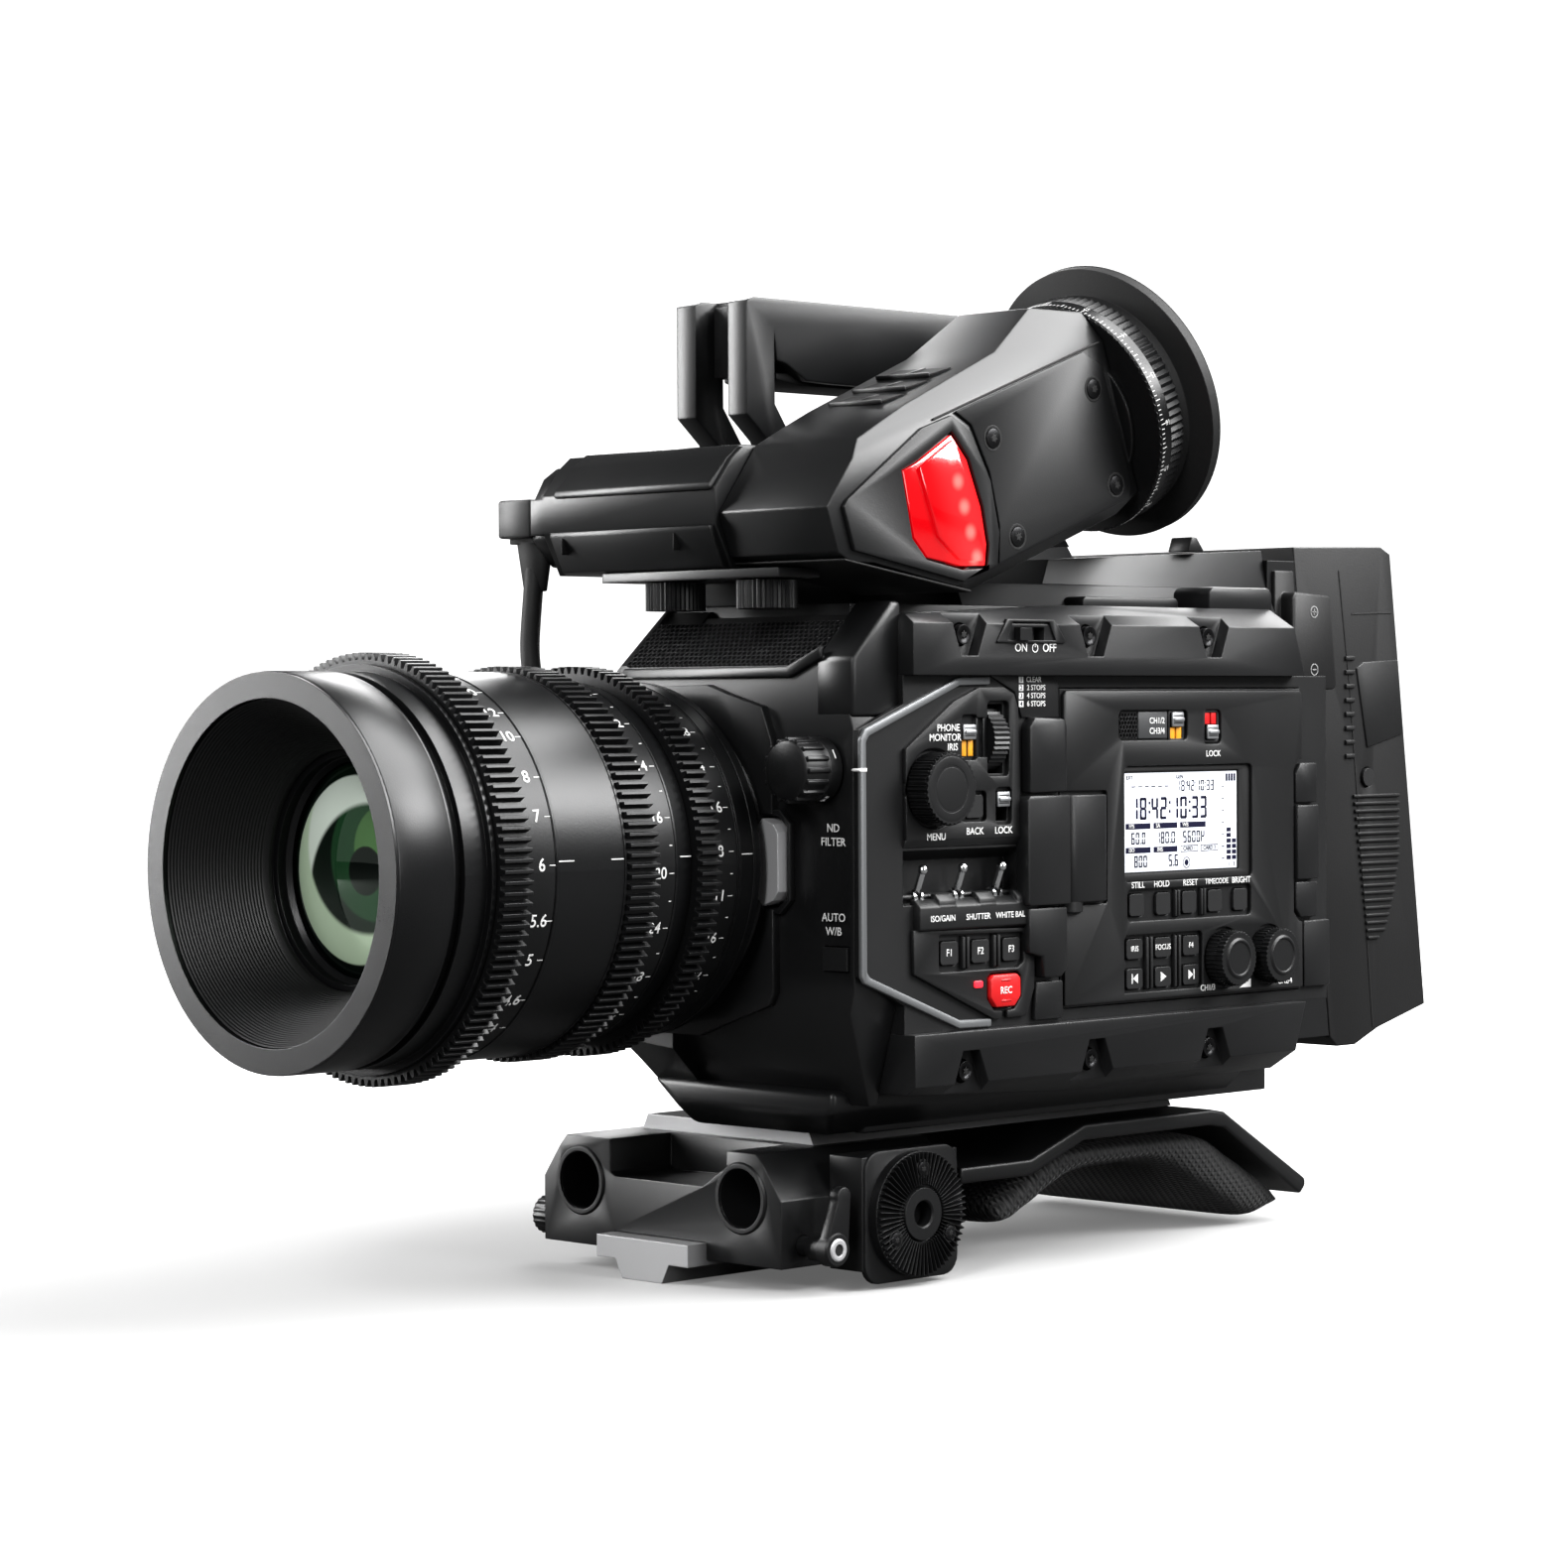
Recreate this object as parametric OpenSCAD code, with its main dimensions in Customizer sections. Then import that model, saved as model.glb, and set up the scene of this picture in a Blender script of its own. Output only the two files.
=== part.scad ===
// Digital cinema camera on a shoulder base, with cine zoom lens, viewfinder, top handle and battery.
// Origin: on the ground, straight under the image plane on the lens axis.
// +X points to the operator's control side, +Y to the rear, +Z up. Millimetres.

/* [Placement] */
// Height of the lens axis above the ground
axis_z = 108; // [104:0.5:112]
// Distance from the image plane forward to the lens flange
flange_back = 44; // [43:0.5:46]
// Distance from the image plane forward to the camera's front face
front_reach = 38; // [37:0.5:40]

/* [Body] */
// Half width of the camera at its control panel
body_half = 70; // [68:0.5:74]
// Depth of the side covers between the chassis box and the panel face
side_depth = 18; // [17.5:0.5:20]
// Thickness of the front casting
casting_t = 16; // [14:0.5:18]
// Distance from the image plane back to the rear of the chassis
chassis_reach = 148; // [146:1:156]
// Height of the chassis underside above the ground
underside_z = 47; // [46:0.5:48]
// Wall of the chassis box
chassis_wall = 3; // [2:0.5:4]
// Depth of the tray under the chassis
tray_h = 8.4; // [8:0.1:9]
// Thickness of the top cover over the chassis
cover_t = 12.4; // [12:0.2:14]
// Height of the ledge above the top cover
ledge_h = 6.1; // [5:0.1:7]
// Height of the ridge above the ledge at the rear
ridge_h = 11; // [9:0.5:13]

/* [Side rails] */
// How far the rails stand out past the panels
rail_out = 3.6; // [2:0.2:5]
// Height of each rail
rail_h = 18.2; // [17.4:0.2:18.6]
// Height of a rail's upright face
rail_face = 13; // [10:0.5:14]
// Width of a screw pocket
pocket_w = 17; // [14:0.5:18]
// Height of a screw pocket
pocket_h = 14; // [12:0.5:15]

/* [Lens] */
// Radius of the lens's front ring
lens_r = 47.5; // [46:0.5:49]
// Radius of the filter opening
filter_r = 41.2; // [38:0.1:43]
// Length of the lens from its front ring to the flange
lens_len = 121; // [119:1:125]
// Length of the front ring
front_ring_len = 17.4; // [15:0.2:19]
// Pitch radius of the follow-focus gear
focus_gear_r = 51.2; // [50.6:0.2:53]
// Pitch radius of the zoom and iris gears
rear_gear_r = 48; // [47.6:0.2:50]
// Depth of a gear tooth
tooth_depth = 1.8; // [1:0.1:2]
// Teeth on the focus gear
focus_teeth = 128; // [90:1:140]
// Teeth on the zoom and iris gears
rear_teeth = 120; // [90:1:130]
// Radius of the front glass
glass_r = 27.5; // [24:0.5:29]
// Radius of the camera's lens throat
throat_r = 27; // [26:0.5:29]
// Radius of the camera's mount ring
mount_r = 38; // [36:0.5:38.6]

/* [Control panel] */
// Length of the control panel along the camera
panel_len = 73.6; // [73:0.2:74]
// Radius of the menu knob
menu_r = 9; // [7:0.5:10]
// How far the menu knob stands out
menu_out = 7; // [5:0.5:9]
// Width of a square key
key_w = 6.4; // [5:0.2:7]
// Height of a square key
key_h = 5.8; // [5:0.2:6.4]
// Travel of a key
key_travel = 0.8; // [0.5:0.1:1]
// Width of the record button
rec_w = 11.5; // [9:0.5:12]
// Height of the record button
rec_h = 8.4; // [7:0.2:9]
// Radius of the neutral density knob
nd_r = 7.4; // [6:0.2:8]
// Length of the neutral density knob
nd_len = 12; // [9:0.5:13]

/* [Monitor door] */
// Length of the door
door_len = 99.4; // [98:0.2:99.8]
// Height of the door
door_h = 82.2; // [81:0.2:83]
// Frame above and below the door
door_margin = 3.4; // [3:0.1:4]
// Width of the status display
status_w = 52; // [46:1:54]
// Height of the status display
status_h = 29.6; // [26:0.5:31]
// Radius of a level knob
level_r = 7.3; // [6:0.2:8]
// How far a level knob stands out
level_out = 6; // [4:0.5:8]

/* [Handle] */
// Height of the handle over the ledge that it stands on
handle_h = 73.5; // [70:0.5:80]
// Half width of the handle
handle_half = 13.1; // [11:0.2:15]
// Half width of the slot between the front prongs
prong_gap_half = 6.1; // [4:0.2:7]
// Length of the handle
handle_len = 130; // [124:1:136]
// Radius of the accessory thread in the handle
thread_r = 3.175; // [2.5:0.005:3.5]

/* [Viewfinder] */
// Tilt of the viewfinder at rest
finder_tilt = 20; // [18:0.5:24]
// Inner side of the viewfinder block
finder_x = 32.4; // [32:0.2:33.2]
// Width of the viewfinder block
finder_w = 37.6; // [35:0.2:40]
// Length of the viewfinder block
finder_len = 112; // [108:1:114]
// Radius of the eyecup's rim
eyecup_r = 37; // [34:0.2:37.6]
// Radius of the dioptre ring
dioptre_r = 31; // [30:0.5:32]
// Radius of the eyepiece opening
eye_r = 20; // [16:0.5:21]
// Radius of the bore inside the viewfinder block
finder_bore_r = 15; // [12:0.5:16]
// Radius of a thumbscrew's head
thumb_r = 7.7; // [6:0.1:8]

/* [Base] */
// Half distance between the rod bores
rod_half = 30; // [29.5:0.5:31]
// Depth of the rod bores below the lens axis
rod_drop = 85; // [84:0.5:86]
// Radius of a rod bore
rod_r = 7.55; // [7.5:0.01:8]
// Half width of the base block
base_half = 44.4; // [43:0.2:46]
// Length of the base block
base_len = 62; // [60:1:64]
// Radius of the rosette
rosette_r = 15.875; // [14:0.125:16]
// Radius of the rosette's central thread
rosette_hole_r = 3; // [2.5:0.1:4]
// Half width of the shoulder frame
shoulder_half = 48; // [46:0.5:50]
// Length of the shoulder frame
shoulder_len = 144; // [140:1:148]

/* [Battery] */
// Half width of the battery
battery_half = 49; // [46:0.5:50]
// Height of the battery
battery_h = 142; // [138:1:144]
// Thickness of the battery
battery_t = 45; // [40:0.5:50]
// How far the battery leans back from top to bottom
battery_lean = 15.4; // [13:0.2:17]

/* [Hidden] */
$fn = 64;

// Overrun of every cut past the face that it opens
over = 1;
// Gap between plain neighbours on different bodies
gap = 0.3;
// Running clearance of a shaft or ring
run_fit = 0.05;
// Clearance round a key or slider
key_fit = 0.2;
// Corner radius of small round-cornered pieces
soft_r = 1;

// Chosen shares of the sizes named beside them
function at(shares, w, h) = [for (s = shares) [s[0] * w, s[1] * h]];

// Front of the camera and of the chassis behind its casting
front_y = -front_reach;
core_y = front_y + casting_t;
lens_y = -flange_back - lens_len;
floor_z = underside_z;
low_rail_z = underside_z + key_fit;
low_rail_top = low_rail_z + rail_h - key_fit;
panel_h = door_h + 2 * door_margin;
high_rail_z = low_rail_top + panel_h;
cover_z = high_rail_z + rail_h;
core_top_z = cover_z - cover_t;
ledge_z = cover_z + ledge_h;
core_half = body_half - side_depth;
door_t = side_depth * 0.89;
tray_half = core_half * 0.92;
ledge_half = core_half;
ridge_half = core_half * 0.96;
deck_z = underside_z - tray_h;

// Solid of revolution round the lens axis, from a profile of [radius, y] points
module lens_turn(profile) {
    translate([0, 0, axis_z]) rotate([-90, 0, 0]) rotate_extrude($fn = 120) polygon(profile);
}

// Cylinder along +Y
module bar_y(x, y, z, r, len) {
    translate([x, y, z]) rotate([-90, 0, 0]) cylinder(r = r, h = len);
}

// Cylinder along +X
module bar_x(x, y, z, r, len) {
    translate([x, y, z]) rotate([0, 90, 0]) cylinder(r = r, h = len);
}

// Outline drawn in Y and Z, from x0 to x1
module slab_x(x0, x1, outline) {
    translate([x0, 0, 0]) rotate([90, 0, 90]) linear_extrude(x1 - x0) polygon(outline);
}

// Outline drawn in X and Z, from y0 to y1
module slab_y(y0, y1, outline) {
    translate([0, y1, 0]) rotate([90, 0, 0]) linear_extrude(y1 - y0) polygon(outline);
}

// Box from its low corner to its high corner
module block(low, high) {
    translate(low) cube(high - low);
}

// Rounded key or button standing on the +X side, centred on its face
module side_key(x0, x1, y, z, w, h, r) {
    translate([x0, y, z]) rotate([90, 0, 90]) linear_extrude(x1 - x0) union() {
        square([w - 2 * r, h], center = true);
        square([w, h - 2 * r], center = true);
        for (sx = [-1, 1], sz = [-1, 1])
            translate([sx * (w / 2 - r), sz * (h / 2 - r)]) circle(r, $fn = 24);
    }
}

// Wheel with straight knurls, along +Z
module knurled(r, h, count, depth) {
    step = 180 / count;
    linear_extrude(h)
        polygon([for (i = [0 : 2 * count - 1]) (r - depth * (i % 2)) * [cos(i * step), sin(i * step)]]);
}

// Lens stations, measured back from the front ring
groove_len = lens_len * 0.024;
second_len = lens_len * 0.057;
bead_len = lens_len * 0.0116;
gear_len = lens_len * 0.072;
focus_len = lens_len * 0.09;
window_len = lens_len * 0.19;
zoom_gear_len = lens_len * 0.078;
zoom_len = lens_len * 0.068;
waist_len = lens_len * 0.047;
iris_gear_len = lens_len * 0.054;
iris_len = lens_len * 0.075;
ring_gap = 0.2;
focus_y = lens_y + front_ring_len + groove_len + second_len + bead_len;
window_y = focus_y + gear_len + focus_len;
zoom_y = window_y + window_len;
waist_y = zoom_y + zoom_gear_len + zoom_len;
iris_y = waist_y + waist_len;
rear_y = iris_y + iris_gear_len + iris_len;
flange_y = -flange_back;
groove_r = lens_r - tooth_depth;
bead_r = lens_r + tooth_depth;
core_r = lens_r * 0.91;
zoom_r = lens_r * 0.965;
iris_r = lens_r * 0.947;
iris_core_r = lens_r * 0.88;
hood_len = lens_len * 0.2;
hood_r = glass_r + tooth_depth;
tube_r = throat_r * 0.86;
bayonet_r = throat_r - gap;
bayonet_len = flange_back - front_reach;
glass_y = lens_y + hood_len;
glass_t = lens_len * 0.1;
seat_r = glass_r - tooth_depth;

module lens_barrel() {
    color("#17181a") lens_turn([
        [filter_r, lens_y], [lens_r, lens_y], [lens_r, lens_y + front_ring_len],
        [groove_r, lens_y + front_ring_len],
        [groove_r, lens_y + front_ring_len + groove_len], [lens_r, lens_y + front_ring_len + groove_len],
        [lens_r, focus_y - bead_len - ring_gap], [bead_r, focus_y - bead_len - ring_gap],
        [bead_r, focus_y - ring_gap],
        [core_r, focus_y - ring_gap], [core_r, window_y],
        [lens_r, window_y], [lens_r, zoom_y - ring_gap], [core_r, zoom_y - ring_gap],
        [core_r, waist_y], [zoom_r, waist_y], [iris_r, iris_y - ring_gap], [iris_core_r, iris_y - ring_gap],
        [iris_core_r, rear_y], [iris_r, rear_y], [iris_r, flange_y - bayonet_len / 2],
        [mount_r, flange_y], [bayonet_r, flange_y], [bayonet_r, flange_y + bayonet_len],
        [tube_r, flange_y + bayonet_len], [tube_r, glass_y + 2 * glass_t], [seat_r, glass_y + 2 * glass_t],
        [seat_r, glass_y + glass_t], [glass_r, glass_y + glass_t], [glass_r, glass_y],
        [hood_r, glass_y], [filter_r, lens_y + soft_r * 4]
    ]);
}

// Places of a tooth's four corners in one pitch
tooth_share = [0.08, 0.42, 0.6, 0.9];

// Ring with a toothed part and a plain scale part, turned by hand
module geared_ring(y, gear_w, scale_w, inner, pitch_r, scale_r, teeth) {
    step = 360 / teeth;
    root_r = pitch_r - tooth_depth / 2;
    tip_r = pitch_r + tooth_depth / 2;
    translate([0, y, axis_z]) rotate([-90, 0, 0]) difference() {
        union() {
            linear_extrude(gear_w) polygon([for (i = [0 : teeth - 1], k = [0 : 3])
                (k < 2 ? root_r : tip_r) * [cos(step * (i + tooth_share[k])), sin(step * (i + tooth_share[k]))]]);
            cylinder(r = scale_r, h = gear_w + scale_w, $fn = 120);
        }
        translate([0, 0, -over]) cylinder(r = inner, h = gear_w + scale_w + 2 * over, $fn = 120);
    }
}
module focus_ring() {
    color("#1c1d1f") geared_ring(focus_y, gear_len, focus_len - ring_gap,
        core_r + run_fit, focus_gear_r, lens_r, focus_teeth);
}

module zoom_ring() {
    color("#1c1d1f") geared_ring(zoom_y, zoom_gear_len, zoom_len - ring_gap,
        core_r + run_fit, rear_gear_r, zoom_r, rear_teeth);
}

module iris_ring() {
    color("#1c1d1f") geared_ring(iris_y, iris_gear_len, iris_len - ring_gap,
        iris_core_r + run_fit, rear_gear_r, iris_r, rear_teeth);
}

// Front group and rear group, two domed glasses in their seats
module lens_glass() {
    dome = glass_t * 0.55;
    color("#2f5a46") lens_turn([[0, glass_y + glass_t], [glass_r - run_fit, glass_y + glass_t],
        [glass_r - run_fit, glass_y + dome],
        for (i = [1 : 8]) [(glass_r - run_fit) * cos(90 * i / 8), glass_y + dome * (1 - sin(90 * i / 8))]]);
    color("#2f5a46") lens_turn([[0, glass_y + 4 * glass_t], [tube_r - run_fit, glass_y + 4 * glass_t],
        [tube_r - run_fit, glass_y + 3 * glass_t], [0, glass_y + 3 * glass_t - dome]]);
}

// Bayonet ring that the lens locks on
module lens_mount() {
    color("#222326") lens_turn([[throat_r, flange_y], [mount_r - soft_r, flange_y],
        [mount_r, flange_y + soft_r], [mount_r, front_y], [throat_r, front_y]]);
}

// Lens release beside the mount ring, pressed to the rear
release_x = mount_r + rail_h * 0.28;
release_w = mount_r * 0.19;
release_h = mount_r * 0.57;
release_out = casting_t * 0.3;
release_travel = 1.6;

module release_shape(w, h, y0, y1) {
    slab_y(y0, y1, [for (p = at([[-0.5, -0.42], [-0.5, 0.42], [-0.25, 0.5], [0.25, 0.44], [0.5, 0.34],
        [0.5, -0.34], [0.25, -0.44], [-0.25, -0.5]], w, h)) p + [release_x, axis_z]]);
}

module lens_release() {
    color("#b9bcbf") release_shape(release_w, release_h, front_y - release_out, front_y + release_travel);
}

// Outline of the camera seen from the front, shares of half width and of height over the underside
head_h = cover_z - floor_z - ledge_h;
side_skin = 1.6;
head_w = body_half - side_skin;
head_share = [[-0.88, 0], [0.88, 0], [1, 0.25], [1, 0.79], [0.92, 0.915], [0.88, 0.925],
    [-0.88, 0.925], [-0.92, 0.915], [-1, 0.79], [-1, 0.25]];
nd_x = body_half * 0.82;
nd_z = axis_z + mount_r * 0.605;
nd_shaft_r = nd_r * 0.4;
gate_r = throat_r * 0.58;
wheel_r = head_w * 0.55;
wheel_x = (wheel_r + nd_shaft_r) * 0.5;
filter_hole_r = wheel_x * 0.66;
wheel_t = casting_t * 0.16;
wheel_y = front_y + casting_t * 0.55;
wb_x = body_half * 0.89;
wb_z = axis_z - mount_r * 0.62;
wb_w = key_w * 1.3;

module front_casting() {
    color("#1e1f21") difference() {
        intersection() {
            slab_y(front_y, core_y, [for (p = at(head_share, head_w, head_h)) p + [0, floor_z]]);
            slab_x(-body_half, body_half, [
                [core_y, floor_z - gap], [core_y, high_rail_z + rail_h], [front_y, high_rail_z + rail_h],
                [front_y, floor_z + casting_t * 1.5], [core_y - casting_t * 0.15, floor_z - gap]]);
        }
        bar_y(0, front_y - over, axis_z, gate_r, casting_t + 2 * over);
        bar_y(wheel_x, wheel_y - gap, axis_z, wheel_r + gap, wheel_t + 2 * gap);
        bar_y(wheel_x, wheel_y - gap - wheel_t, axis_z, nd_shaft_r + run_fit, 3 * wheel_t + 2 * gap);
        bar_y(nd_x, front_y - over, nd_z, nd_shaft_r + run_fit, casting_t * 0.5 + over);
        release_shape(release_w + 2 * key_fit, release_h + 2 * key_fit, front_y - over,
            front_y + 2 * release_travel + gap);
        block([wb_x - wb_w / 2 - key_fit, front_y - over, wb_z - key_h / 2 - key_fit],
            [wb_x + wb_w / 2 + key_fit, front_y + 4 * key_travel, wb_z + key_h / 2 + key_fit]);
    }
}

// Knob on the front face with a shaft into the casting
module nd_knob() {
    color("#232426") {
        translate([nd_x, front_y - gap, nd_z]) rotate([90, 0, 0]) knurled(nd_r, nd_len, 30, nd_r * 0.06);
        bar_y(nd_x, front_y - gap - soft_r, nd_z, nd_shaft_r, casting_t * 0.5);
    }
}

// Wheel of four filters that swings one behind the lens
module nd_wheel() {
    color("#6d7175") difference() {
        union() {
            bar_y(wheel_x, wheel_y, axis_z, wheel_r, wheel_t);
            bar_y(wheel_x, wheel_y - wheel_t, axis_z, nd_shaft_r, 3 * wheel_t);
        }
        for (a = [0 : 90 : 270])
            bar_y(wheel_x - wheel_x * cos(a), wheel_y - over, axis_z + wheel_x * sin(a), filter_hole_r,
                wheel_t + 2 * over);
    }
}

module balance_button() {
    color("#26272a") block([wb_x - wb_w / 2, front_y - key_travel, wb_z - key_h / 2],
        [wb_x + wb_w / 2, front_y + 2 * key_travel, wb_z + key_h / 2]);
}

// Mesh grille across the front of the top, one slanted sheet
grille_half = body_half * 0.86;
grille_t = 1.6;
grille_low = floor_z + head_h * 0.925 + gap;
grille_high = cover_z - ledge_h * 0.9;

module front_grille() {
    color("#2a2b2d") slab_x(-grille_half, grille_half, [
        [front_y, grille_low], [core_y - grille_t, grille_high], [core_y, grille_high],
        [core_y, grille_high - grille_t], [front_y + 2 * grille_t, grille_low]]);
}

// Open-topped chassis box with its tray
module chassis() {
    inner = core_half - chassis_wall;
    color("#1b1c1e") union() {
        difference() {
            block([-core_half, core_y, floor_z], [core_half, chassis_reach, core_top_z]);
            block([-inner, core_y + chassis_wall, floor_z + chassis_wall],
                [inner, chassis_reach - chassis_wall, core_top_z + over]);
            bar_y(0, core_y - over, axis_z, throat_r, chassis_wall + 2 * over);
        }
        block([-tray_half, core_y + tray_h, deck_z], [tray_half, chassis_reach, floor_z]);
    }
}

// Cover over the chassis, with the ledge and the ridge that the handle sits along
ridge_y = panel_len * 0.72;

module top_cover() {
    w0 = core_half;
    color("#202123") union() {
        slab_y(core_y, chassis_reach, [[-w0, core_top_z], [w0, core_top_z], [w0, cover_z], [-w0, cover_z]]);
        slab_y(core_y + casting_t * 2.6, chassis_reach, [[-w0, cover_z - over], [w0, cover_z - over],
            [ledge_half - ledge_h * 0.5, ledge_z], [-ledge_half + ledge_h * 0.5, ledge_z]]);
        for (s = [-1, 1])
            scale([s, 1, 1]) intersection() {
                slab_y(ridge_y, chassis_reach, [[handle_half + prong_gap_half, ledge_z - over],
                    [ridge_half - soft_r, ledge_z - over], [ridge_half - 3 * soft_r, ledge_z + ridge_h],
                    [handle_half + 2 * prong_gap_half, ledge_z + ridge_h]]);
                slab_x(0, body_half, [[ridge_y, ledge_z - over], [chassis_reach, ledge_z - over],
                    [chassis_reach, ledge_z + ridge_h], [ridge_y + ridge_h * 0.4, ledge_z + ridge_h * 0.6]]);
            }
    }
}

// Rails along both sides, with screw pockets in their faces
rail_x = body_half + rail_out;
rail_end_y = chassis_reach - rail_h * 0.8;
pocket_share = [0.14, 0.42, 0.7];
pocket_depth = rail_out;
rail_screw_z = rail_h * 0.56;
screw_r = 1.5;
screw_head_r = 2.5;
screw_head_t = 1.6;
function rail_screw_y(s) = front_y + s * (rail_end_y - front_y) + panel_len * 0.17;

module rail_bar(z0) {
    chamfer = rail_h - rail_face;
    difference() {
        intersection() {
            slab_y(core_y, chassis_reach, [[core_half, z0], [rail_x, z0], [rail_x, z0 + rail_face],
                [rail_x - chamfer * 1.4, z0 + rail_h], [core_half, z0 + rail_h]]);
            slab_x(0, 2 * rail_x, [[core_y, z0 - over], [rail_end_y, z0 - over], [rail_end_y, z0],
                [rail_end_y - rail_h * 0.35, z0 + rail_h], [panel_len * 0.6, z0 + rail_h],
                [core_y, z0 + rail_h - chamfer * 0.6]]);
        }
        for (s = pocket_share) {
            y = rail_screw_y(s);
            slab_x(rail_x - pocket_depth, rail_x + over, [for (p = at([[-0.5, 0.62], [0.5, 0.62],
                [0.18, -0.38], [-0.18, -0.38]], pocket_w, pocket_h)) p + [y, z0 + rail_screw_z]]);
            bar_x(rail_x - pocket_depth - 3 * screw_head_r, y, z0 + rail_screw_z, screw_r + run_fit,
                pocket_depth + 3 * screw_head_r);
        }
    }
}

power_y = panel_len * 0.24;
power_z = high_rail_z + rail_face * 0.8;
power_w = key_w * 0.7;
power_h = key_h * 0.55;
power_travel = key_w;

module side_rails() {
    color("#1d1e20") {
        difference() {
            rail_bar(high_rail_z);
            block([rail_x - pocket_depth, power_y - power_w / 2 - key_fit, power_z - power_h / 2 - key_fit],
                [rail_x + over, power_y + power_w / 2 + power_travel + key_fit, power_z + power_h / 2 + key_fit]);
        }
        mirror([1, 0, 0]) rail_bar(high_rail_z);
        for (s = [0, 1])
            mirror([s, 0, 0]) translate([0, 0, low_rail_z + low_rail_top]) mirror([0, 0, 1]) rail_bar(low_rail_z);
    }
}

module power_switch() {
    color("#8d9093") block([rail_x - pocket_depth + gap, power_y - power_w / 2, power_z - power_h / 2],
        [rail_x + rail_out * 0.5, power_y + power_w / 2, power_z + power_h / 2]);
}

// Screws of the rails, both sides
module screw_x(x, y, z) {
    difference() {
        union() {
            bar_x(x, y, z, screw_head_r, screw_head_t);
            bar_x(x - 2 * screw_head_r, y, z, screw_r, 2 * screw_head_r + over);
        }
        translate([x + screw_head_t * 0.4, y, z]) rotate([0, 90, 0])
            cylinder(r = screw_head_r * 0.5, h = screw_head_t, $fn = 6);
    }
}

module screws() {
    color("#3a3b3d") for (m = [0, 1], s = pocket_share) mirror([m, 0, 0]) {
        screw_x(rail_x - pocket_depth, rail_screw_y(s), high_rail_z + rail_screw_z);
        screw_x(rail_x - pocket_depth, rail_screw_y(s), low_rail_top - rail_screw_z);
    }
}

// Places on the control panel and on the door, as shares of their length and height
panel_back_y = front_y + panel_len;
door_y = panel_back_y + 2 * gap;
door_z = low_rail_top + (panel_h - door_h) / 2;
function on_panel(s) = [front_y + s[0] * panel_len, low_rail_top + s[1] * panel_h];
function on_door(s) = [door_y + s[0] * door_len, door_z + s[1] * door_h];

menu_share = [0.349, 0.683];
back_share = [0.557, 0.63];
panel_lock_share = [0.7, 0.629];
monitor_share = [0.529, 0.821];
wheel_share = [0.671, 0.82];
toggle_share = [[0.304, 0.38], [0.503, 0.38], [0.701, 0.38]];
function_share = [[0.428, 0.22], [0.584, 0.22], [0.741, 0.22]];
rec_share = [0.698, 0.103];
level_share = [[0.655, 0.122], [0.845, 0.122]];
channel_share = [0.464, 0.88];
door_lock_share = [0.61, 0.88];
display_key_share = [for (i = [0 : 4]) [0.297 + i * 0.108, 0.31]];
transport_key_share = [for (i = [0 : 2], j = [0, 1]) [0.287 + i * 0.116, 0.17 - j * 0.095]];
status_share = [0.513, 0.57];
key_depth = 5;
key_proud = 0.8;
slider_w = 4.6;
slider_h = 3.8;
slider_proud = 1.4;
slider_travel = 3.4;
shaft_r = 3;
shaft_len = 8;
wheel_roll_r = 8.5;
wheel_roll_w = 5.6;
wheel_proud = 3;
wheel_roll_x = body_half + wheel_proud - wheel_roll_r;
wheel_pin_r = 1.5;
toggle_r = 1.6;
toggle_w = 3.4;
toggle_len = 7.4;
toggle_lean = 22;
toggle_x = body_half - 1.5 * toggle_r;
toggle_pin_r = 0.8;
frame_in = 0.6;

module key_pocket(c, w, h, depth) {
    side_key(body_half - depth, body_half + over, c[0], c[1], w + 2 * key_fit, h + 2 * key_fit, soft_r);
}

module side_button(c, w, h) {
    side_key(body_half - key_depth + key_travel + key_fit, body_half + key_proud, c[0], c[1], w, h, soft_r);
}

// Slot that a slider runs in; up is 1 where the knob rests at the top
module slider_slot(c) {
    side_key(body_half - key_depth, body_half + over, c[0], c[1], slider_w + 2 * key_fit,
        slider_h + slider_travel + 2 * key_fit, soft_r / 2);
}

module slider(c, up) {
    side_key(body_half - key_depth + key_fit, body_half + slider_proud, c[0], c[1] + up * slider_travel / 2,
        slider_w, slider_h, soft_r / 2);
}

module knob_bore(c) {
    bar_x(body_half - shaft_len, c[0], c[1], shaft_r + run_fit, shaft_len + over);
}

// Knurled knob on the side, with its shaft
module side_knob(c, r, out) {
    translate([body_half + gap, c[0], c[1]]) rotate([0, 90, 0]) knurled(r, out, 36, r * 0.05);
    bar_x(body_half - shaft_len + gap, c[0], c[1], shaft_r, shaft_len);
}

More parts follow.
